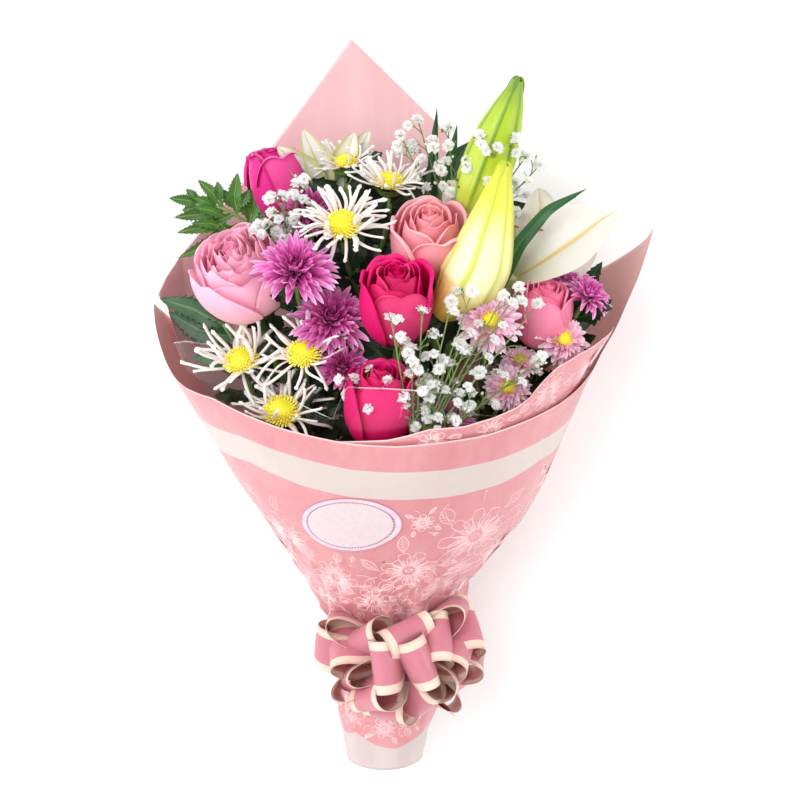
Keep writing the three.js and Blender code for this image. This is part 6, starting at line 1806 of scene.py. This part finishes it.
def arc(p0, p1, bulge, n=14):
    p0, p1 = np.asarray(p0, float), np.asarray(p1, float)
    m = (p0 + p1) / 2 + np.array([-(p1 - p0)[1], (p1 - p0)[0]]) * bulge
    t = np.linspace(0, 1, n)[:, None]
    return (1 - t) ** 2 * p0 + 2 * t * (1 - t) * m + t * t * p1


def pol(r, a):
    return np.array([r * math.cos(a), r * math.sin(a)])


def draw_blossom(pen, r, petals, seed, rings=2):
    """Open blossom in outline: notched petals in layers, fine rays and a dotted eye."""
    rng = np.random.default_rng(seed)
    for k in range(rings):
        R = r * (1 - 0.22 * k)
        r0 = r * 0.20
        for i in range(petals):
            a = 2 * math.pi * (i + 0.5 * k) / petals + rng.normal(0, 0.05)
            h = math.pi / petals * 0.98
            A, B = pol(r0, a - h * 0.5), pol(r0, a + h * 0.5)
            sA, sB = pol(R * 0.80, a - h), pol(R * 0.80, a + h)
            tip = pol(R * rng.uniform(0.90, 0.98), a + rng.normal(0, 0.03))
            tA, tB = pol(R * 1.02, a - h * 0.45), pol(R * 1.02, a + h * 0.45)
            t = np.linspace(0, 1, 20)
            left = bez([*A, 0], [*sA, 0], [*(tA * 1.05), 0], [*tip, 0], t)[:, :2]
            right = bez([*B, 0], [*sB, 0], [*(tB * 1.05), 0], [*tip, 0], t)[:, :2]
            wob = np.sin(t * 9 + rng.uniform(0, 6)) * r * 0.014
            pen.line(left + wob[:, None])
            pen.line(right - wob[:, None])
            for j in (-2, -1, 0, 1, 2):
                b = a + j * h * 0.22
                pen.line(arc(pol(r0 * 1.25, b), pol(R * rng.uniform(0.55, 0.74), b + j * 0.04), 0.05 * j), 0.32)
    for j in range(18):
        a = 2 * math.pi * j / 18
        pen.line([pol(r * 0.07, a), pol(r * rng.uniform(0.13, 0.19), a)], 0.35, 0.8)
    pen.line([pol(r * 0.06, a) for a in np.linspace(0, 2 * math.pi, 14)], 0.4, 0.8)


def draw_leaf(pen, p, ang, L, w, seed):
    rng = np.random.default_rng(seed)
    p = np.asarray(p, float)
    d = pol(1, ang)
    o = np.array([-d[1], d[0]])
    e = p + d * L
    pen.line(arc(p, e, w / L))
    pen.line(arc(p, e, -w / L))
    pen.line(arc(p - d * L * 0.15, e, 0.03), 0.4)
    for k in range(1, 6):
        b = p + d * L * k / 6.5
        for s in (-1, 1):
            ww = w * 0.46 * math.sin(math.pi * (k / 6.5) ** 0.8)
            pen.line(arc(b, b + d * L * 0.13 + o * s * ww, 0.1 * s, 6), 0.28, 1.2)


def draw_bud(pen, p, ang, L, seed):
    p = np.asarray(p, float)
    d = pol(1, ang)
    o = np.array([-d[1], d[0]])
    e = p + d * L
    pen.line(arc(p, e, 0.45))
    pen.line(arc(p, e, -0.45))
    pen.line(arc(p, e, 0.12), 0.35)
    pen.line(arc(p + o * L * 0.10, e - d * L * 0.1, -0.20), 0.35)
    pen.line(arc(p - d * L * 0.9, p, 0.15), 0.45)


def draw_scroll(pen, p, ang, L, seed, turns=1):
    t = np.linspace(0, 1, 30)
    a = ang + turns * 2.6 * t ** 1.6
    step = L / 30
    pts = np.asarray(p, float) + np.cumsum(np.stack([np.cos(a), np.sin(a)], 1) * step * (1 - 0.55 * t)[:, None], 0)
    pen.line(pts, 0.42)


def motif(geo, deg, u, r, turn, seed, off, limit=None, petals=7, rings=2, leaves=4, buds=2, scrolls=3):
    rng = np.random.default_rng(seed)
    pen = Pen(geo, deg, u, turn, 1.0, off, limit)
    draw_blossom(pen, r, petals, seed, rings)
    for k in range(leaves):
        a = rng.uniform(0, 2 * math.pi) if k > 3 else (k + 0.35) * math.pi / 2 + rng.normal(0, 0.2)
        draw_leaf(pen, pol(r * 1.05, a), a + rng.normal(0, 0.35), r * rng.uniform(0.6, 0.95), r * rng.uniform(0.28, 0.40), seed + k)
    for k in range(buds):
        a = rng.uniform(0, 2 * math.pi)
        draw_bud(pen, pol(r * 1.55, a), a + rng.normal(0, 0.3), r * 0.42, seed + 20 + k)
    for k in range(scrolls):
        a = rng.uniform(0, 2 * math.pi)
        draw_scroll(pen, pol(r * 1.02, a), a + rng.normal(0, 0.4), r * rng.uniform(0.9, 1.5), seed, rng.choice([-1, 1]))


def below_stripe(deg, u):
    d = ((np.asarray(deg) + 180) % 360) - 180
    x_ = (d - LD) * np.pi / 180 * 0.5 * (WLEFT(u) + FRONT(u))
    y_ = u - LU
    lab = ((x_ * LC + y_ * LS) / 36.0) ** 2 + ((y_ * LC - x_ * LS) / 24.5) ** 2 > 1
    return (u < table(STRIPE_LO, d) - 1.0) & (u > 3) & lab & (np.abs(u - 92) > 13)


g = Geo()
INK_OFF = -0.4 + 0.19
for i, (dg, uu, r, tn, pt, rg) in enumerate((
        (38, 196, 25, 0.4, 9, 4), (12, 170, 18, 1.2, 8, 3), (64, 178, 20, 0.1, 8, 3), (36, 150, 13, 0.7, 7, 2), (78, 226, 17, 2.0, 8, 3), (14, 214, 8, 0.5, 6, 2),
        (-52, 190, 22, 0.9, 9, 4), (-30, 160, 16, 2.2, 8, 3), (-76, 168, 17, 1.5, 8, 3), (-8, 140, 13, 0.3, 7, 2), (-50, 138, 12, 0.3, 7, 2), (16, 132, 11, 1.7, 6, 2), (60, 140, 12, 0.9, 7, 2), (-84, 222, 15, 1.1, 7, 3),
        (104, 190, 22, 0.2, 8, 3), (-112, 186, 21, 1.0, 8, 3), (132, 226, 18, 1.4, 7, 3), (-140, 218, 18, 0.3, 7, 3), (165, 180, 18, 0.8, 8, 3), (-168, 150, 14, 0.4, 7, 2), (130, 160, 15, 0.4, 7, 2),
        (-26, 58, 14, 0.4, 8, 3), (24, 46, 12, 1.1, 7, 2), (58, 62, 12, 0.2, 7, 2), (-66, 46, 12, 1.9, 7, 2), (110, 52, 13, 0.2, 7, 2), (-125, 54, 13, 0.9, 7, 2), (165, 46, 12, 0.2, 7, 2), (0, 34, 9, 0.2, 6, 2))):
    motif(g, dg, uu, r, tn, 1000 + i * 40, INK_OFF, below_stripe, pt, rg)
ob = g.build("v_wrap_outer_ink", [M["ink"]])
finish_piece(ob, "film_pink_print")


def on_inner(deg, u):
    d = np.asarray(deg)
    return (u < table(RIM_PRINT, d) - 0.8) & (u > 262) & (d > -62) & (d < 83.5)


g = Geo()
for i, (dg, uu, r, tn, pt) in enumerate(((70, 316, 20, 0.3, 9), (50, 306, 15, 1.2, 8), (32, 284, 12, 0.1, 7), (14, 280, 10, 0.7, 7), (-42, 288, 11, 0.9, 7), (-20, 278, 10, 0.2, 7), (84, 300, 15, 1.0, 8), (60, 286, 12, 0.1, 7))):
    motif(g, dg, uu, r, tn, 3000 + i * 40, -LAYER - 0.4 + 0.19, on_inner, pt, 2)
ob = g.build("v_wrap_inner_ink", [M["ink"]])
finish_piece(ob, "film_pink_print")


# ------------------------------------------------------------------ label
def label_mat():
    m = Mat("label_paper", rough=0.42)
    r, a = m.attr("tone"), m.attr("tint")
    paper = m.ramp(m.noise(300, 3), [(0.3, (212, 192, 196)), (0.7, (220, 201, 204))])
    band = m.ramp(m.noise(90, 3), [(0.3, (226, 184, 198)), (0.7, (238, 206, 216))])
    col = m.mix(m.math("GREATER_THAN", r, 0.865), paper, band)
    ring = m.math("LESS_THAN", m.math("ABSOLUTE", m.math("SUBTRACT", r, 0.872)), 0.020)
    dots = m.math("GREATER_THAN", m.math("SINE", m.math("MULTIPLY", a, 2 * math.pi * 96)), -0.35)
    col = m.mix(m.math("MULTIPLY", m.math("MULTIPLY", ring, dots), 0.92), col, (86, 44, 84))
    edge = m.math("GREATER_THAN", r, 0.985)
    col = m.mix(m.math("MULTIPLY", edge, 0.6), col, (206, 150, 184))
    m.base(col)
    m.bump(m.noise(600, 2), 0.08, 0.0003)
    m.p.inputs["Coat Weight"].default_value = 0.15
    return m.m


M["label"] = label_mat()
na, nr = 192, 40
aa = np.linspace(0, 2 * np.pi, na, endpoint=False)[:, None]
rr = np.linspace(0.001, 1, nr)[None, :]
lx, ly = rr * 34.0 * np.cos(aa), rr * 22.7 * np.sin(aa)
u_ = LU + lx * LS + ly * LC
d_ = LD + np.degrees((lx * LC - ly * LS) / (0.5 * (WLEFT(u_) + FRONT(u_))))
g = Geo()
g.grid(film_point(d_, u_, 0.30), 0, tone=rr + 0 * aa, closed=True)
ob = g.build("v_label_oval", [M["label"]], solidify=0.18)
ob.data.attributes["tint"].data.foreach_set("value", (aa / (2 * np.pi) + 0 * rr).astype(np.float32).ravel())
finish_piece(ob, "label_paper", "label_oval")


# ------------------------------------------------------------------ ribbon
def ribbon_mats():
    out = []
    for nm, face, deep, hem in (("ribbon_face", (216, 136, 150), (206, 122, 138), (250, 224, 206)), ("ribbon_back", (246, 186, 172), (236, 170, 156), (253, 234, 218))):
        m = Mat(nm, rough=0.36)
        x, y = m.split(m.uv())
        weave = m.noise(1.0, 2, 0.5, m.stretch(m.uv(), (90, 8, 1)))
        ob = m.noise(50, 3)
        f = m.math("ADD", m.math("MULTIPLY", weave, 0.4), m.math("MULTIPLY", ob, 0.6))
        body = m.ramp(f, [(0.3, deep), (0.7, face)])
        pale = m.ramp(f, [(0.3, tuple(int(c * 0.96) for c in hem)), (0.7, hem)])
        off = m.math("ABSOLUTE", m.math("SUBTRACT", x, 0.5))
        col = m.mix(m.math("GREATER_THAN", off, 0.325), body, pale)
        m.base(col)
        m.bump(m.math("ADD", weave, m.math("MULTIPLY", m.noise(30, 2), 0.5)), 0.12, 0.0005)
        m.p.inputs["Sheen Weight"].default_value = 0.1
        m.p.inputs["Coat Weight"].default_value = 0.12
        m.p.inputs["Coat Roughness"].default_value = 0.3
        see_through(m, col, 0.18)
        out.append(m.m)
    return out


R_FACE, R_BACK = ribbon_mats()
RIBBON_W = 39.0
BOW = np.array([13.6, 95.0, 40.0])
LOOPS = [
    ([17, 127.1, 67.4], [28.6, 10.1, -15.3]), ([-18.1, 116.7, 54], [23, 17.8, 17.6]), ([-35.8, 103.6, 47.7], [3.8, -15.5, 30]),
    ([-37.7, 119.6, 34], [2.9, 6, 33]), ([-45.9, 103.5, 34], [-2.2, -31.6, -12.4]), ([-26.7, 83.2, 56.5], [16.3, 16.2, 25]),
    ([-30, 66, 45], [7.7, -13.8, -30.1]), ([-1.7, 103.7, 79.2], [2, -33, 8.1]), ([28, 107.1, 80.2], [13.1, -31, 4.6]),
    ([43.4, 120.7, 63.2], [-2.9, -28.2, 18.7]), ([65.9, 116.6, 40], [5.8, -22.1, 25.2]), ([55.9, 132, 40], [-7.7, 4.6, 32.8]),
    ([59.7, 106.7, 57.2], [-9.6, -13.6, 29.7]), ([53.9, 80.4, 57.3], [17.3, -7.2, -28.4]), ([68.3, 90.4, 43], [5.8, -1.2, 33.5]),
    ([-10.4, 70.8, 71], [21.1, 16, 21.3]), ([3.1, 56.4, 57.8], [28.8, 5.6, 17.2]), ([29.9, 64.9, 62.4], [15.9, 23, 19.3]),
    ([50.1, 59.2, 46], [5.8, 7.6, 32.6])]


def film_bvh():
    """The outer film as it is drawn, for keeping the bow on its outside."""
    from mathutils.bvhtree import BVHTree
    ob = bpy.data.objects["v_wrap_outer"]
    e = ob.evaluated_get(bpy.context.evaluated_depsgraph_get())
    me = e.to_mesh()
    me.calc_loop_triangles()
    tree = BVHTree.FromPolygons([ob.matrix_world @ v.co for v in me.vertices], [tuple(t.vertices) for t in me.loop_triangles])
    e.to_mesh_clear()
    return tree


FILM = film_bvh()


def outside_film(pts):
    """Moves the points of a ribbon out from the cone's middle line until they clear the film, and the tie where it goes round."""
    out = np.array(pts, float)
    flat = out.reshape(-1, 3)
    for k, (x, u, v) in enumerate(flat):
        r = math.hypot(x, v)
        if r < 1e-3:
            continue
        d = np.array([x / r, 0.0, v / r])
        mid = np.array([0.0, u, 0.0])
        a, b = world(mid[None])[0], world((mid + d)[None])[0]
        ray = Vector((b - a).tolist()).normalized()
        # from far outside towards the middle line, so that the first face met is the film's outside
        start = Vector(a.tolist()) + ray * 0.40
        hit = FILM.ray_cast(start, -ray, 0.40)[0]
        if hit is None:
            continue
        need = (hit - Vector(a.tolist())).length * 1000 + 0.7 + 1.5 * math.exp(-((u - NECK_U) / 15.0) ** 4)
        if r < need:
            flat[k] = mid + d * need
    return out


def band(geo, mid, wide, width, nw=13, gap=0.17, cup=0.0, face=1):
    """Ribbon through the points of mid; wide is the unit direction across it at each point."""
    mid, wide = np.asarray(mid, float), np.asarray(wide, float)
    n = len(mid)
    width = np.broadcast_to(width, (n,))
    t = np.gradient(mid, axis=0)
    t /= np.maximum(np.linalg.norm(t, axis=1, keepdims=True), 1e-9)
    nn = np.cross(t, wide)
    nn /= np.maximum(np.linalg.norm(nn, axis=1, keepdims=True), 1e-9)
    s = np.linspace(-1, 1, nw)
    base = mid[None] + s[:, None, None] * (width / 2)[None, :, None] * wide[None] + (cup * (s ** 2)[:, None] * width[None, :])[..., None] * nn[None]
    base = outside_film(base)
    L = np.concatenate([[0], np.cumsum(np.linalg.norm(np.diff(mid, axis=0), axis=1))])
    uv = np.stack(np.broadcast_arrays((s[:, None] + 1) / 2, L[None, :] / 60.0), -1)
    top, under = (0, 1) if face > 0 else (1, 0)
    a = geo.grid(base + gap * nn[None], top, tone=0.5, uv=uv)
    b = geo.grid(base - gap * nn[None], under, tone=0.5, uv=uv, flip=True)
    for ia, ib in ((a[0], b[0]), (a[-1][::-1], b[-1][::-1]), (a[:, 0][::-1], b[:, 0][::-1]), (a[:, -1], b[:, -1])):
        geo.quads(np.stack([ia[:-1], ib[:-1], ib[1:], ia[1:]], -1), 0)


g = Geo()
rng = np.random.default_rng(500)
for i, (Mx, w) in enumerate(LOOPS):
    Mx, w = np.array(Mx, float), np.array(w, float)
    d = unit(Mx - BOW)
    L = np.linalg.norm(Mx - BOW) * 1.05
    wv = unit(w - d * w.dot(d))
    h = unit(np.cross(d, wv))
    # the loop's outside is the side away from the knot
    H = 13.4 + rng.uniform(-1, 1.6)
    n = 56
    a = np.linspace(math.radians(-166), math.radians(166), n)
    f = (1 + np.cos(a)) / 2
    skew = rng.uniform(-1.2, 1.2)
    mid = BOW + d * (L * f + 0.6)[:, None] + h * (H * np.sin(a) * (0.30 + 0.70 * f ** 0.8) + skew * f)[:, None]
    width = RIBBON_W * (0.15 + 0.85 * np.clip(f * 1.55, 0, 1) ** 0.8) * 0.98
    # the outer edge of a pulled loop flares a little more on one side
    roll = 0.10 * np.sin(a) * rng.choice([-1, 1])
    wd = wv[None] * np.cos(roll)[:, None] + h[None] * np.sin(roll)[:, None]
    band(g, mid, wd, width, cup=rng.uniform(-0.03, 0.03), face=-1)
# short tail under the bow
tail = bez([22, 88, 44], [26, 78, 52], [34, 68, 50], [38, 55, 40], np.linspace(0, 1, 22))
wd = np.tile(unit([0.92, -0.28, 0.25]), (22, 1))
band(g, tail, wd, np.linspace(12, 30, 22), cup=0.05)
# pinched middle of the bow, wound with the same ribbon
for k in range(3):
    a = np.linspace(0, 2 * np.pi, 40)
    ax_ = unit([0.35, 0.25 * (k - 1), 0.94])
    sd = perp(ax_)
    up = np.cross(ax_, sd)
    mid = np.array([11.5, 94, 41.0 + k * 3.2]) + (9.5 - k) * (np.cos(a)[:, None] * sd + np.sin(a)[:, None] * up)
    band(g, mid, np.tile(ax_, (40, 1)), 9.0)
ob = g.build("v_ribbon_bow", [R_FACE, R_BACK])
finish_piece(ob, "ribbon_dusty_pink", "ribbon_bow")

# ribbon round the neck
g = Geo()
dg = np.linspace(-180, 180, 181)
nu_ = 13
uu = NECK_U + np.linspace(-1, 1, nu_) * TIE_HALF
rip = Ripple(92, 8, 2, 1.0, 3.0)
D, U = np.meshgrid(dg[:-1], uu, indexing="ij")
base_ = wrap_point(D, U, 1.15)
fold = 0.35 * np.sin(np.radians(D) * 14 + 2 * rip(np.radians(D), U * 0.1))
pt = wrap_point(D, U, 2.15) - base_
pt /= np.linalg.norm(pt, axis=-1, keepdims=True)
outer = base_ + pt * (fold + 0.25)[..., None]
inner = base_ + pt * (fold - 0.15)[..., None]
uvt = np.stack(np.broadcast_arrays(0.5 + 0.42 * (U - NECK_U) / TIE_HALF * 0.9, D / 40), -1)
ia = g.grid(outer, 0, tone=0.5, uv=uvt, closed=True)
ib = g.grid(inner, 1, tone=0.5, uv=uvt, closed=True, flip=True)
for c in (0, -1):
    g.quads(np.stack([ia[:-1, c], ib[:-1, c], ib[1:, c], ia[1:, c]], -1), 0)
ob = g.build("v_ribbon_tie", [R_FACE, R_BACK])
finish_piece(ob, "ribbon_dusty_pink", "ribbon_tie")

# ------------------------------------------------------------------ floor, light, camera
fm = Mat("floor_pale", (246, 246, 246), 0.85)
fm.base(fm.ramp(fm.noise(3, 2), [(0.3, (245, 245, 245)), (0.7, (248, 248, 248))]))
me = bpy.data.meshes.new("floor")
me.from_pydata([(-6, -6, 0), (6, -6, 0), (6, 6, 0), (-6, 6, 0)], [], [(0, 1, 2, 3)])
me.materials.append(fm.m)
floor = bpy.data.objects.new("floor", me)
bpy.context.scene.collection.objects.link(floor)


def area(name, loc, target, size, power, color=(1, 1, 1)):
    ld = bpy.data.lights.new(name, "AREA")
    ld.shape = "RECTANGLE"
    ld.size, ld.size_y = size
    ld.energy = power
    ld.color = color
    ob = bpy.data.objects.new(name, ld)
    ob.location = loc
    ob.rotation_euler = (Vector(target) - Vector(loc)).to_track_quat("-Z", "Y").to_euler()
    bpy.context.scene.collection.objects.link(ob)
    return ob


sun_d = bpy.data.lights.new("key", "SUN")
sun_d.energy = 1.0
sun_d.angle = 0.8
sun = bpy.data.objects.new("key", sun_d)
sun.rotation_euler = (Vector((0, 0, 0)) - Vector((-0.55, 0.50, 1.0))).to_track_quat("-Z", "Y").to_euler()
bpy.context.scene.collection.objects.link(sun)
area("soft", (-0.8, 0.9, 1.7), (0, 0.02, 0.08), (1.0, 1.0), 5)
area("fill", (1.4, 0.3, 0.95), (-0.08, 0.06, 0.08), (1.2, 0.9), 10.5)
area("left", (-1.4, 0.2, 0.80), (0.10, 0.08, 0.08), (1.2, 0.8), 10.5)
area("front", (0.1, -1.3, 1.1), (0, 0.0, 0.08), (1.4, 0.9), 6)
w = bpy.data.worlds.new("studio")
w.use_nodes = True
w.node_tree.nodes["Background"].inputs[0].default_value = (1, 1, 1, 1)
w.node_tree.nodes["Background"].inputs[1].default_value = 0.78
bpy.context.scene.world = w
vs = bpy.context.scene.view_settings
vs.view_transform = "Standard"
vs.look = "None"

cam_d = bpy.data.cameras.new("cam")
cam_d.lens = 102.86
cam_d.sensor_width = 36
cam_d.clip_end = 20
cam = bpy.data.objects.new("cam", cam_d)
loc = Vector((-0.00156, 0.23765, 1.69220))
tgt = Vector((-0.00156, 0.01498, 0.10777))
z = (loc - tgt).normalized()
y = (Vector((0, 1, 0)) - z * z.y).normalized()
x = y.cross(z)
cam.matrix_world = Matrix(((x.x, y.x, z.x, loc.x), (x.y, y.y, z.y, loc.y), (x.z, y.z, z.z, loc.z), (0, 0, 0, 1)))
bpy.context.scene.collection.objects.link(cam)
bpy.context.scene.camera = cam
